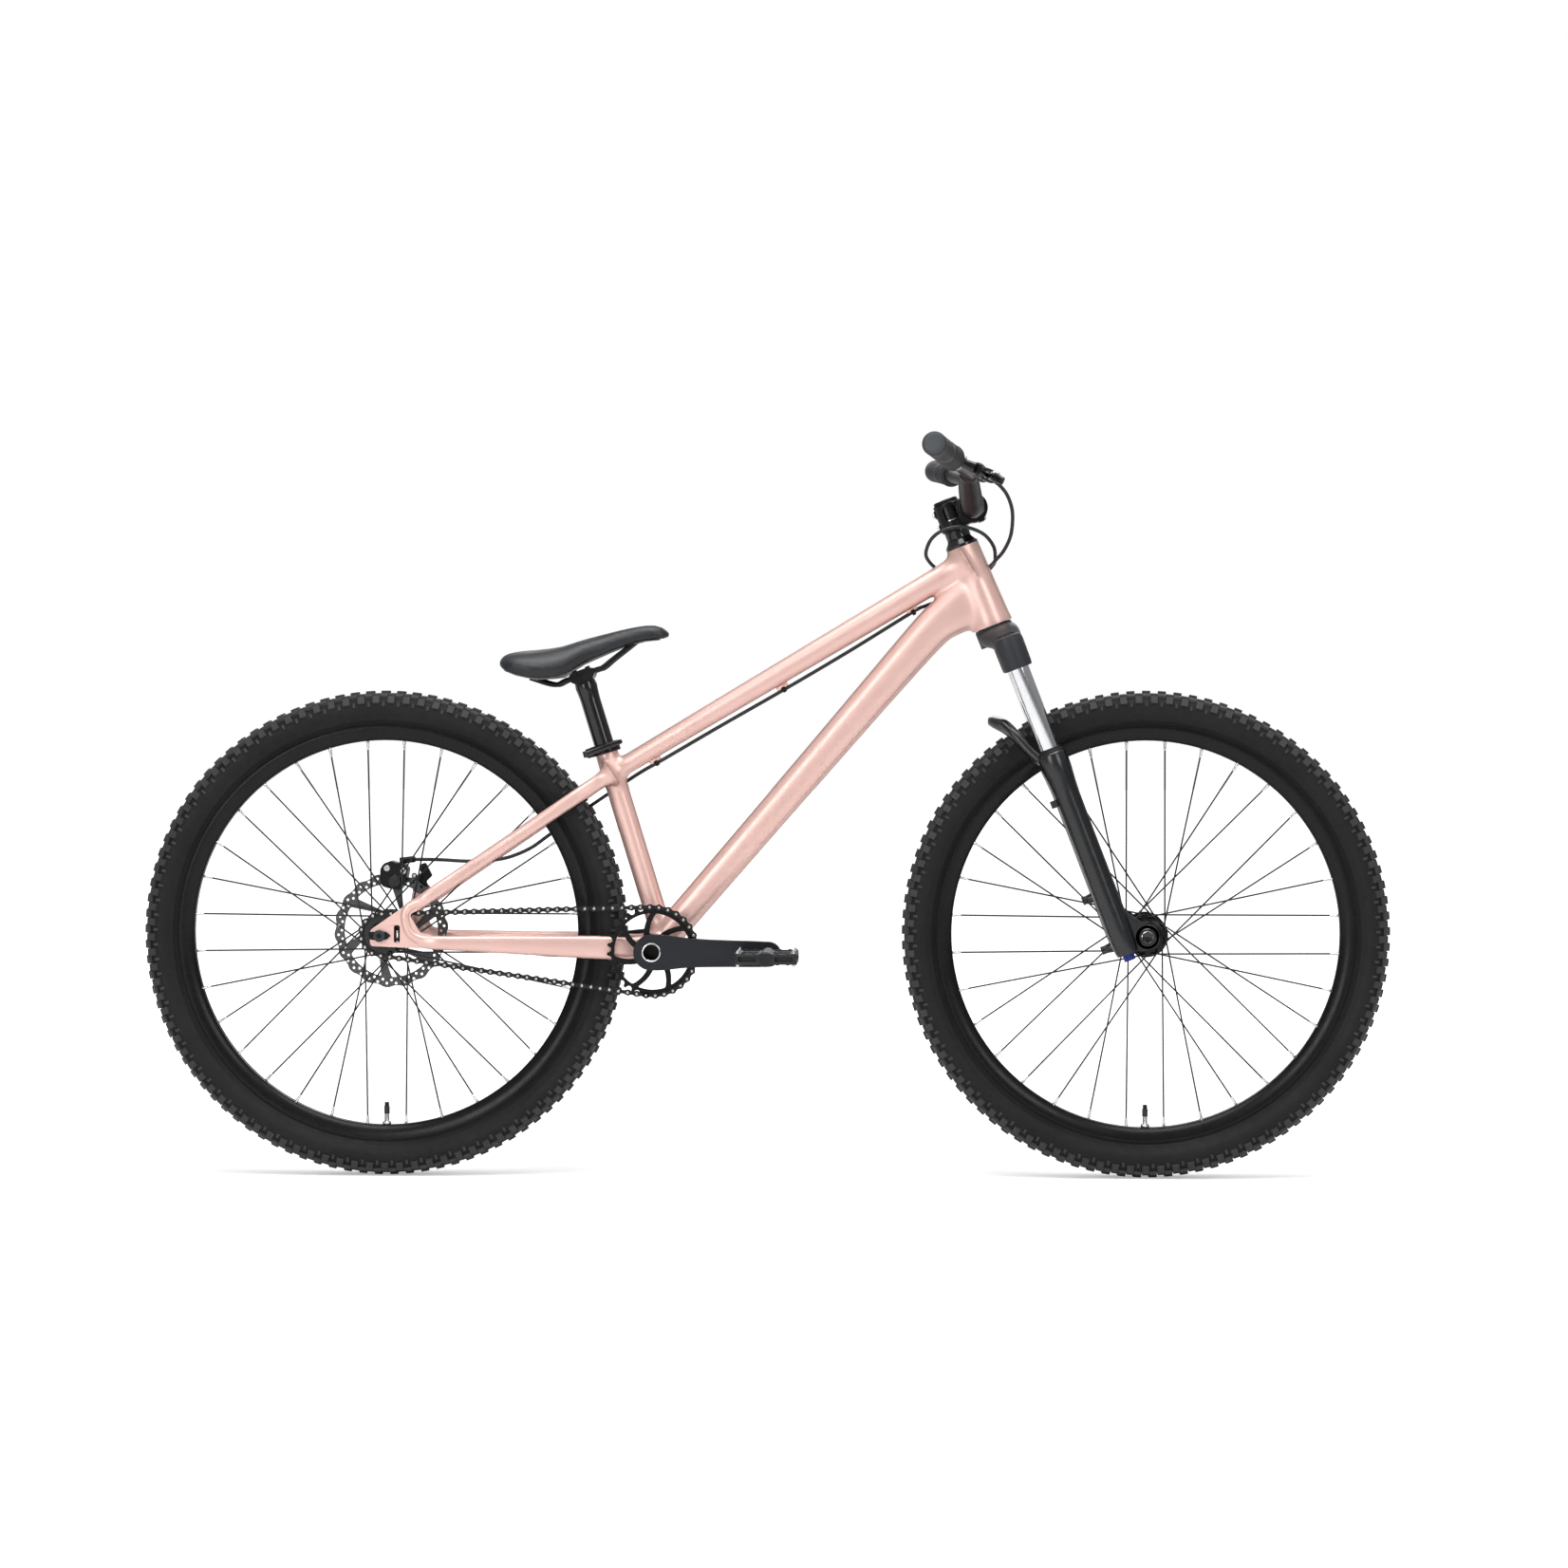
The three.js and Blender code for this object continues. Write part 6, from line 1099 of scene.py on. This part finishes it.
# Bar: rows of place out, back, up and extra radius, as shares of the bend
BEND_OUT, BEND_BACK, BEND_UP = 122, 10, 45.2
END_OUT, END_AHEAD, END_UP = 380, 8, 82.5
BAR_ROWS = [(0, 0, 0, 1), (0.213, 0, 0, 1), (0.344, 0.05, 0.066, 0.94), (0.475, 0.2, 0.288, 0.73),
            (0.721, 0.65, 0.73, 0.3125), (0.852, 0.95, 0.918, 0.104), (1, 1, 1, 0)]
BAR = [(o * BEND_OUT, BAR_AHEAD + a * BEND_BACK, r * BEND_UP, lerp(11.1, 15.9, s ** 0.45))
       for o, a, r, s in BAR_ROWS] + [(END_OUT, END_AHEAD, END_UP, 11.1)]


def bar_point(side, out):
    """A point on the straight end of the bar."""
    share = (out - BEND_OUT) / (END_OUT - BEND_OUT)
    return steer(lerp(BAR_AHEAD + BEND_BACK, END_AHEAD, share), side * out,
                 BAR_LEVEL + lerp(BEND_UP, END_UP, share))


def handlebar():
    rows = [(-o, a, r, s) for o, a, r, s in reversed(BAR[1:])] + BAR
    points, sizes = stations([Vector((a, o, BAR_LEVEL + r)) for o, a, r, _ in rows],
                             [(2 * s, 2 * s) for _, _, _, s in rows], 10)
    form = Form().swept([steer(*p) for p in points], sizes, 40, near=X)
    form.make("handlebar_tube", BAR_ALLOY, "steering", ["handlebar"])


def grips():
    """Flanged sleeves, ribbed in two widths, with the bar's end plugs."""
    for side, word in SIDES.items():
        start, end = bar_point(side, 248.2), bar_point(side, END_OUT)
        run = (end - start).normalized()
        length = (end - start).length + 2.5
        profile = [(11.4, 0), (16.6, 0), (17.2, 0.8), (17.2, 4.4), (16.4, 5.4), (15.0, 6.6)]
        for i in range(5):
            at = 10 + i * 9
            profile += [(14.6, at), (15.9, at + 1.4), (16.2, at + 3.2), (15.9, at + 5), (14.6, at + 6.4)]
        profile += [(15.2, 58), (15.5, 70)]
        for i in range(9):
            at = 72 + i * 5
            profile += [(15.5, at), (15.9, at + 1), (15.9, at + 3), (15.5, at + 4)]
        profile += [(16.0, length - 14), (16.1, length - 3), (15.4, length - 0.8), (14.2, length),
                    (11.4, length)]
        form = Form().turned(start, run, profile, 48, closed=True)
        form.make(f"grip_{word}_sleeve", GRIP, "steering", [f"grip_{word}"], angle=40)
        plug = Form().turned(end, run, [(0, -6), (11.3, -6), (11.3, 2.0), (13.6, 2.2), (13.8, 2.7),
                                        (12.8, 3.2), (8, 3.4), (0, 3.4)])
        plug.make(f"bar_plug_{word}", GRIP_END, "steering")


handlebar()
grips()

# Brake lever
LEVER_DROP = radians(44)
LEVER_AHEAD = STEER_AHEAD * cos(LEVER_DROP) - STEER_UP * sin(LEVER_DROP)
LEVER_SIDE = STEER_AHEAD * sin(LEVER_DROP) + STEER_UP * cos(LEVER_DROP)
PIVOT_OUT, BLADE_LENGTH, BLADE_REACH = 204, 124, 87


def lever_point(out, ahead, up=0.0):
    """A point in the brake lever's plane, measured from the bar."""
    return bar_point(-1, out) + LEVER_AHEAD * ahead + LEVER_SIDE * up


def brake_lever():
    """Clamp, master cylinder and pivot ears in one body, its bolts, and the curved blade."""
    clamp = Form()
    at, run = bar_point(-1, 229), (bar_point(-1, 243) - bar_point(-1, 229)).normalized()
    clamp.turned(at, run, drum(11.5, 15.5, 0, 14, 0.5), closed=True)
    neck = [lever_point(236, d) for d in (13.5, 18, 25, 30)]
    clamp.swept(neck, [(13, 13), (12, 13), (13, 14), (14, 15)], 24, 3)
    start, end = lever_point(158, 31), lever_point(230, 31)
    along, reach = (end - start).normalized(), (end - start).length
    clamp.turned(start, along, [(0, 0), (5.4, 0), (6, 1), (7.4, 6), (8.8, 8), (10.4, 11), (10.4, reach - 16),
                                (9, reach - 14), (9, reach - 3), (8, reach - 1), (0, reach)], 40)
    for k in range(4):
        at = reach - 15 + k * 3
        clamp.turned(start, along, [(9, at), (9.7, at + 0.5), (9.7, at + 1.3), (9, at + 1.8)], 40)
    for up in (-5.4, 5.4):
        points = [lever_point(PIVOT_OUT, d, up * s)
                  for d, s in ((32, 1), (38, 1.25), (44, 1.35), (49, 1.35), (54, 1.2))]
        clamp.swept(points, [(12, 6), (13, 4), (13, 3.4), (12, 3.4), (6, 2.6)], 20, 3, near=Y)
    clamp.make("lever_body", GLOSS, "steering", ["brake_lever_body"], bevel=0.4)
    bolts = Form()
    bolts.turned(lever_point(PIVOT_OUT, 47, -9), LEVER_SIDE,
                 [(0, 0), (3.6, 0), (3.6, 17.4), (3, 18), (0, 18)], 20)
    bolts.bolt(lever_point(236, 13, 6.5), LEVER_SIDE, 2.7, 3)
    bolts.turned(lever_point(156.5, 31), along, box(0, 0, 4, 4), 6)
    bolts.make("lever_bolts", BRIGHT, "steering")
    # the blade's rows: place along, reach and width, as shares
    rows = [(-0.065, 0.5, 0.55), (0.081, 0.592, 0.55), (0.145, 0.655, 0.9), (0.331, 0.724, 1),
            (0.66, 0.76, 0.95), (0.88, 0.85, 0.9), (1, 1, 0.7)]
    path = [lever_point(PIVOT_OUT + BLADE_LENGTH * s, BLADE_REACH * d + 3 * s * s, -7 * s * s)
            for s, d, _ in rows]
    points, sizes = stations(path, [(7.5, 14.5 * w) for _, _, w in rows], 8)
    rings = []
    for i, (at, (thick, tall)) in enumerate(zip(points, sizes)):
        run = (points[min(i + 1, len(points) - 1)] - points[max(i - 1, 0)]).normalized()
        across = run.cross(LEVER_SIDE).normalized()
        thick *= min(1, 0.45 + 0.3 * (len(points) - 1 - i))
        rings.append([at + across * a + LEVER_SIDE * b for a, b in oval(thick, tall, 28, 2.8)])
    Form().loft(rings).make("lever_blade", GLOSS, "brake_lever", ["brake_lever"], angle=50)


brake_lever()

# The hose's route from the lever to the caliper
HOSE = [(301.8, -157.2, 957.5), (303.2, -150, 957), (310, -140, 954), (322, -125, 946), (333, -108, 932),
        (339.5, -86, 911), (338, -58, 883), (329, -38, 862), (317, -12, 848), (310.3, 15, 841.6),
        (297.5, 32, 835.6), (262, 35, 831), (238, 24, 838), (226, 8, 848), (222, -10, 859), (228.5, -25, 876),
        (242, -32, 887.5), (259, -34, 893), (279, -32, 893), (301, -29, 884), (314.5, -18, 868),
        (317.2, 3, 852), (314.1, 23, 842.5), (299.5, 39, 829), (266, 41, 808), (240, 24, 794), (220, 7, 786),
        (203, 0, 777.5), (115.7, 0, 723.7), (26.7, 0, 671.2), (-62, 0, 620.5), (-140, 1, 575),
        (-166, 8, 560.5), (-188, 23, 547), (-215, 32, 529), (-246, 36, 508), (-275, 37, 488), (-303, 36, 468),
        (-327, 35.5, 451), (-355, 35.5, 439), (-380, 35.5, 434), (-415, 36, 432.5), (-449, 41, 434),
        (-470, 45, 434.4), (-489.7, 46, 434.4)]


def hose():
    """The brake hose from lever to caliper, with its sleeve and the clips under the top tube."""
    path = smooth_path([Vector(p) for p in HOSE], 6)
    obj = Form().swept(path, 2.5, 14, near=Z).make("brake_hose_line", CABLE, None, ["brake_hose"], angle=80)
    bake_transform(obj)
    first = Vector(HOSE[0])
    run = (Vector(HOSE[2]) - first).normalized()
    sleeve = Form().turned(first - run * 2, run, [
        (2.6, 0), (4.6, 0), (4.6, 6), (3.6, 7), (3.6, 12), (3, 14), (2.6, 14)], 20, closed=True)
    sleeve.make("hose_sleeve", PLASTIC, "steering")
    clips, bands = Form(), Form()
    run = (TOP_SEAT - TOP_HEAD).normalized()
    under = run.cross(Y)
    for share, drop in ((0.176, 0.615), (0.54, 0.6235), (0.896, 0.55)):
        at = TOP_HEAD.lerp(TOP_SEAT, share) + under * drop * 34
        foot = at - under * 4
        clips.swept([foot - run * 8.5, foot - run * 7, foot + run * 7, foot + run * 8.5],
                    [(6, 4), (8, 6.5), (8, 6.5), (6, 4)], 24, 3)
        bands.turned(at, run, drum(2.6, 5, -2.6, 2.6, 0.4), 24, closed=True)
    clips.make("hose_clips", PAINT_AND_SHADE, "frame")
    bands.make("hose_bands", BLACK, "frame")


hose()

# Drivetrain
CHAIN_Y = -52


def side_place(centre):
    """Places an outline in the chain's plane about a centre."""
    return lambda x, z, y: centre + Vector((x, y + CHAIN_Y, z))


TEETH, COG_TEETH, PINS = 30, 14, 81
RING_PITCH, COG_PITCH = LINK / (2 * sin(pi / TEETH)), LINK / (2 * sin(pi / COG_TEETH))
TO_AXLE = REAR - BRACKET
HEADING = atan2(TO_AXLE.z, TO_AXLE.x)
LEAN = acos((RING_PITCH - COG_PITCH) / TO_AXLE.length)


def chain_loop():
    """The taut loop round both sprockets, as fine points from the chainring's upper meeting place."""
    points = []
    for i in range(241):
        points.append(BRACKET + on_wheel(RING_PITCH, HEADING + LEAN + (TURN - 2 * LEAN) * i / 240))
    for i in range(121):
        points.append(REAR + on_wheel(COG_PITCH, HEADING - LEAN + 2 * LEAN * i / 120))
    return [*points, points[0]]


def spaced(points, count):
    """Points at even distances along a closed path."""
    total = sum((b - a).length for a, b in zip(points, points[1:]))
    step, spots, left, i = total / count, [], 0.0, 0
    at = points[0]
    while len(spots) < count:
        run = points[i + 1] - at
        if run.length < left:
            left -= run.length
            i += 1
            at = points[i]
            continue
        at = at + run.normalized() * left if run.length else at
        spots.append(at)
        left = step
    return spots


def link_outline(a, b, end, waist, steps=7):
    """A figure-eight plate between two pins, as (x, z) pairs."""
    flat_a, flat_b = Vector((a.x, a.z)), Vector((b.x, b.z))
    run = (flat_b - flat_a).normalized()
    across = Vector((-run.y, run.x))
    middle = (flat_a + flat_b) / 2
    ring = []
    for centre, sign in ((flat_b, 1), (flat_a, -1)):
        for k in range(steps + 1):
            angle = sign * pi * (0.42 - 0.84 * k / steps)
            ring.append(centre + run * (sign * end * cos(angle)) + across * (end * sin(angle)))
        ring.append(middle - across * sign * waist)
    return [tuple(p) for p in ring]


def chain():
    """Plates, rollers and pins of every link; the places of the pins are handed on."""
    pins = spaced(chain_loop(), PINS)
    inner, outer, rollers, rivets = Form(), Form(), Form(), Form()
    for i, a in enumerate(pins):
        b = pins[(i + 1) % PINS]
        wide = i % 2 == 0
        shape = link_outline(a, b, 4.4 if wide else 4.2, 2.0 if wide else 2.2)
        form, low, high = (outer, 3.1, 3.8) if wide else (inner, 2.1, 2.95)
        for side in (1, -1):
            form.plate(shape, *sorted((side * low, side * high)), side_place(Vector((0, 0, 0))))
        centre = a + Y * CHAIN_Y
        rollers.turned(centre - Y * 2, Y, box(1.9, 0, 3.8, 4), 16, closed=True)
        rivets.turned(centre - Y * 3.8, Y, drum(0, 2.1, -0.2, 7.8, 0.4), 12)
    inner.make("chain_inner_plates", CHAIN, "frame", ["chain"], bevel=0.15, segments=1)
    outer.make("chain_outer_plates", CHAIN, "frame", bevel=0.15, segments=1)
    rollers.make("chain_rollers", CHAIN, "frame", weld=False)
    rivets.make("chain_pins", RIVET, "frame", weld=False)
    return pins


def sprocket(teeth, pitch, phase, tip=2.1, roller=3.95):
    """Rounded roller seats between tapered teeth; phase is the angle of a seat."""
    ring = []
    step = TURN / teeth
    for i in range(teeth):
        a = phase + i * step
        for k in range(-4, 5):
            bend = k * radians(29) / 2
            inward, aside = pitch - roller * cos(bend), roller * sin(bend)
            ring.append((inward * cos(a) - aside * sin(a), inward * sin(a) + aside * cos(a)))
        top = a + step / 2
        ring += [polar(pitch + tip - abs(k) * 8, top + k * step) for k in (-0.16, -0.09, 0.0, 0.09, 0.16)]
    return ring


def angle_of(point, centre):
    return atan2(point.z - centre.z, point.x - centre.x)


def sprockets(pins):
    """The chainring with seven slanting windows, and the rear cog, each with a tooth seat under a pin."""
    ring_pin = min(pins, key=lambda p: (p - (BRACKET + X * RING_PITCH)).length)
    cog_pin = min(pins, key=lambda p: (p - (REAR - X * COG_PITCH)).length)
    windows, brim = [], 52.4
    for i in range(7):
        starts, ends = [], []
        for radius in (24.5, 30, 36, 42, 48, brim):
            lean = radians(17) * (50 - radius) / 23
            half = asin(4.2 / radius)
            starts.append((radius, radians(39) + TURN * i / 7 + lean + half))
            ends.append((radius, radians(39) + TURN * (i + 1) / 7 + lean - half))
        arc = [(brim, lerp(starts[-1][1], ends[-1][1], k / 6)) for k in range(1, 6)]
        windows.append(rounded([polar(*p) for p in starts + arc + ends[::-1]], 4.5, 4))
    thick = 1.1
    form = Form().plate(sprocket(TEETH, RING_PITCH, angle_of(ring_pin, BRACKET)), -thick, thick,
                        side_place(BRACKET), [*windows, circle(12.4, 48)])
    form.make("chainring_plate", BLACK, "crankset", ["chainring"], bevel=0.45, angle=30)
    form = Form().plate(sprocket(COG_TEETH, COG_PITCH, angle_of(cog_pin, REAR)), -thick, thick,
                        side_place(REAR), [circle(17.4, 48)])
    form.make("cog_plate", COG, "rear_cog", ["rear_cog"], bevel=0.3, angle=30)


sprockets(chain())

# Cranks and pedals
CRANK_DROP = radians(0.8)


def on_crank(x, z, y, side):
    """A point on a crank: x towards its pedal, z square to it, y to the left."""
    return BRACKET + Matrix.Rotation(CRANK_DROP, 3, "Y") @ Vector((-side * x, 0, z)) + Y * y


def crank(side):
    """A tapering arm with its boss and spindle ring; the right one also carries the spindle."""
    word = SIDES[side]
    big, small = 24.5, 17
    shares = [(0.0, 1.0), (0.08, 0.985), (0.16, 0.93), (0.34, 0.8), (0.62, 0.74), (0.86, 0.72)]
    upper = [Vector((CRANK * s, big * h, 0)) for s, h in shares] + [Vector((CRANK, small, 0))]
    top = [(p.x, p.y) for p in smooth_path(upper, 5)]
    left = [polar(big, pi / 2 + pi * k / 24) for k in range(1, 24)]
    right = [(CRANK + x, z) for x, z in [polar(small, pi / 2 - pi * k / 20) for k in range(1, 20)]]
    outline = [*top, *right, *[(x, -z) for x, z in reversed(top)], *left[::-1]][::-1]
    low, high = sorted((side * 64, side * 79))
    form = Form().plate(outline, low, high, lambda x, z, y: on_crank(x, z, y, side))
    eye = Form().turned(on_crank(CRANK, 0, low - 5, side), Y, [(6.3, 0), (6.3, 30)], 32)
    core = Form().turned(BRACKET + Y * (low - 5), Y, [(12.05, 0), (12.05, 30)])
    form.make(f"crank_{word}_arm", ALLOY, "crankset", [f"crank_arm_{word}"], bevel=2.2, segments=3, angle=30,
              cutters=[eye, core])
    near = 53.4 if side < 0 else 47.3
    boss = Form().turned(BRACKET, Y * side, [(12.05, near), (17.4, near), (18, near + 0.6), (18, 64.4),
                                             (12.05, 64.4)], closed=True)
    boss.make(f"crank_{word}_boss", ALLOY, "crankset")
    ring = Form().turned(BRACKET, Y * side, [
        (10.9, 77.6), (12, 77.6), (12.9, 79.1), (12.9, 79.6), (12.3, 80), (11.3, 80),
        (10.9, 79.6)], 56, closed=True)
    ring.make(f"spindle_ring_{word}", BRIGHT, "crankset")
    if side < 0:
        spindle = Form().turned(BRACKET, Y, box(10.8, -79, 11.95, 79), closed=True)
        spindle.make("spindle_tube", BLACK, "crankset")
        plug = Form().turned(BRACKET, Y, box(0, -50, 10.8, -48), 32)
        plug.make("spindle_plug", BLACK, "crankset")


crank(1)
crank(-1)


def pedal(side):
    """A moulded flat pedal: ribbed cage, raised corners, fixed pins and an axle cap."""
    word, middle = SIDES[side], side * PEDAL_OUT
    centre = on_crank(CRANK, 0, 0, side)
    place = about(centre)
    body, studs, pins = Form(), Form(), Form()
    outline = rounded(box(-42, -48, 42, 48), 9, 5)
    windows, cutters = [], []
    for end in (1, -1):
        for half in (1, -1):
            x0, x1 = sorted((end * 9.6, end * 33))
            y0, y1 = sorted((half * 4, half * 39))
            windows.append(rounded(box(x0, y0, x1, y1), 4))
        cutters.append(Form().plate(box(end * 39.2, -2.9, end * 60, 2.9), middle - 37, middle + 37, place))
    body.plate(outline, -7.2, 7.2, lambda x, z, y: centre + Vector((x, middle + z, y)), windows)
    for end in (1, -1):
        for near in (middle - 49, middle + 41):
            x0, x1 = sorted((end * 12, end * 37))
            cutters.append(Form().plate(rounded(box(x0, -3.4, x1, 3.4), 2), near, near + 8, place))
    cutters.append(Form().turned(centre + Y * (side * 84), Y * side, [(4.9, 0), (4.9, 88.4)], 24))
    body.make(f"pedal_{word}_cage", PLASTIC, f"pedal_{word}", [f"pedal_{word}"], bevel=0.8, angle=30,
              cutters=cutters)
    spots = [(x - copysign(1.6, x), k * 12.4) for x in (-40.4, 40.4) for k in range(-3, 4)]
    spots += [(x, sign * 43.4) for x in (-30, -16, 16, 30) for sign in (1, -1)]
    for up in (1, -1):
        for x, out in spots:
            studs.turned(centre + Vector((x, middle + out, up * 7.0)), Z * up, [
                (0, 0), (2.6, 0), (2.2, 1.3), (0, 1.3)], 16)
        for x in (-37.6, 37.6):
            for out in (-42, -18, 18, 42):
                pins.turned(centre + Vector((x, middle + out, up * 6.6)), Z * up, [
                    (0, 0), (2.5, 0), (2.5, 1.6), (1.7, 2.0), (1.5, 4.0), (0, 4.2)], 12)
    studs.turned(centre + Y * (side * 86), Y * side,
                 [(5.0, 0), (10.4, 0), (10.4, 95.4), (9.4, 96.2), (5.0, 96.2)], 32, closed=True)
    studs.make(f"pedal_{word}_studs", PLASTIC, f"pedal_{word}")
    cap = Form().turned(centre + Y * (side * 172.6), Y * side, [
        (0, 0), (8.6, 0), (8.6, 9.6), (8, 10.2), (0, 10.2)], 32)
    cap.make(f"pedal_{word}_cap", ALLOY, f"pedal_{word}")
    pins.make(f"pedal_{word}_pins", BRIGHT, f"pedal_{word}")


pedal(1)
pedal(-1)


# Rear brake
def rear_brake():
    """Caliper over the disc, its bracket, bolts, piston cap and pads."""
    outline = rounded([(-13.5, 86.6), (-8.5, 94), (1, 97.6), (11, 94.4), (18.5, 95), (25.5, 86), (22, 68),
                       (15.5, 57.6), (8, 57.6), (-2, 59.4), (-10, 62), (-13.5, 68)], 2.6)
    body = Form().plate(outline, 36.2, 66.4, about(REAR))
    body.turned(REAR + Vector((5, 66, 77)), Y, [(0, 0), (13, 0), (13, 0.4), (12.2, 0.6), (0, 0.6)], 40)
    body.turned(REAR + Vector((13, 46, 97.4)), X + Z * 0.12,
                [(0, 0), (4.6, 0), (4.6, 20), (3.6, 22), (0, 22)], 24)
    body.make("caliper_body", BLACK, "frame", ["brake_caliper"], bevel=1.4, segments=3, angle=30,
              cutters=[Form().turned(REAR, Y, [(84, 50), (84, 54)], 96)])
    outline = rounded([(29.4, 55), (41.6, 50), (51, 59), (48, 68), (56.6, 76), (47, 94.6), (38, 91), (41, 79),
                       (33.6, 76), (28.4, 68)], 2.4)
    adapter = Form().plate(outline, 58.2, 67.0, about(REAR))
    adapter.make("caliper_bracket_plate", BLACK, "frame", ["caliper_bracket"], bevel=0.8)
    bolts = Form()
    for x, z in ((35, 62), (45, 86)):
        bolts.bolt(REAR + Vector((x, 66.6, z)), Y, 4.2, 2.6)
    for x, z, radius in ((-3.7, 87.5, 4.3), (19.2, 83.6, 4.1), (34.2, 77.3, 2.4)):
        bolts.bolt(REAR + Vector((x, 35, z)), -Y, radius, 2)
    bolts.make("caliper_bolts", BRIGHT, "frame")
    cap = Form().turned(REAR + Vector((6.6, 36.2, 69.4)), -Y, [
        (0, 0), (8.6, 0), (8.6, 2.4), (7.9, 3.2), (6.2, 3.2), (6.2, 2.2), (2.2, 2.2), (2.2, 0.8),
        (0, 0.8)], 40)
    for x, z, radius in ((-3.7, 87.5, 6.2), (19.2, 83.6, 6), (34.2, 77.3, 4)):
        cap.turned(REAR + Vector((x, 36.4, z)), -Y, [(0, 0), (radius, 0), (radius * 0.9, 1.4), (0, 1.4)], 24)
    cap.make("piston_cap", COG, "frame")
    pads = Form()
    for out in (50.6, 53.4):
        pads.plate(rounded(box(-9, 62, 16, 79), 3), out - 0.35, out + 0.35, about(REAR))
    pads.make("brake_pads", STEEL, "frame")


rear_brake()


# Pieces kept from the frame get the finishes above
KEPT = {look.name.split(".")[0]: look for look in (
    STEEL, BLACK, PLASTIC, ALLOY, PAINT_AND_SHADE, CHAIN, BLUE, CHROME, CROWN, RUBBER, BAR_ALLOY, GRIP, COVER)}
KEPT["rubber"] = RUBBER
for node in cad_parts.values():
    for slot in node.material_slots:
        word = slot.material.name.split(".")[0] if slot.material else "steel"
        slot.material = KEPT.get(word, STEEL)


# Floor, backdrop and light
def daylight():
    """White to the camera, and a soft sky, brighter above, to everything else."""
    world = bpy.data.worlds.new("studio")
    nodes = Nodes(world)
    nodes.tree.nodes.clear()
    bpy.context.scene.world = world
    path = nodes.tree.nodes.new("ShaderNodeLightPath")
    sky = nodes.add("TexCoord", {}, "Generated")
    height = nodes.add("SeparateXYZ", {0: sky}, "Z")
    plain = nodes.add("Background", {"Color": (1, 1, 1, 1),
                                     "Strength": nodes.ranged(height, 0.16, 0.5, -0.1, 0.9)})
    white = nodes.add("Background", {"Color": (1, 1, 1, 1), "Strength": 1})
    seen = nodes.add("Math", {0: path.outputs["Is Camera Ray"], 1: path.outputs["Is Transmission Ray"]},
                     operation="MAXIMUM")
    nodes.feed(nodes.tree.nodes.new("ShaderNodeOutputWorld"), {
        "Surface": nodes.add("MixShader", {0: seen, 1: plain, 2: white})})


def floor():
    """A matt floor that glows white to the camera away from the bicycle."""
    material, nodes, shader, place = finish("floor")
    tree = nodes.tree
    tree.nodes.remove(shader)
    far = nodes.add("VectorMath", {0: place}, "Value", operation="LENGTH")
    camera_ray = nodes.add("LightPath", {}, "Is Camera Ray")
    seen = nodes.add("Math", {0: nodes.ranged(far, 0.36, 1, 1.2, 3.2), 1: camera_ray}, operation="MULTIPLY")
    matte = nodes.add("BsdfDiffuse", {"Color": (0.86, 0.86, 0.86, 1)})
    both = nodes.add("AddShader", {0: matte, 1: nodes.add("Emission", {"Strength": seen})})
    nodes.feed(tree.nodes["Material Output"], {"Surface": both})
    corners = [(-20, -20, 0), (20, -20, 0), (20, 20, 0), (-20, 20, 0)]
    mesh = bpy.data.meshes.new("floor")
    mesh.from_pydata(corners, [], [[0, 1, 2, 3]])
    mesh.materials.append(material)
    obj = bpy.data.objects.new("floor", mesh)
    bpy.context.collection.objects.link(obj)


def soft_light(name, place, aim, size, power):
    data = bpy.data.lights.new(name, "AREA")
    data.shape = "RECTANGLE"
    data.size, data.size_y = size
    data.energy = power
    obj = bpy.data.objects.new(name, data)
    obj.location = place
    obj.rotation_euler = (Vector(aim) - Vector(place)).to_track_quat("-Z", "Y").to_euler()
    bpy.context.collection.objects.link(obj)


daylight()
floor()
soft_light("overhead", (0.0, -0.7, 3.4), (0, 0, 0.4), (2.6, 2.6), 105)
soft_light("front_left", (-2.2, -4.4, 1.7), (0, 0, 0.5), (1.5, 2.6), 62)
soft_light("front_right", (2.8, -3.8, 2.4), (0, 0, 0.5), (1.2, 2.2), 40)
soft_light("behind", (0.6, 3.6, 2.2), (0, 0, 0.5), (3.0, 1.6), 35)
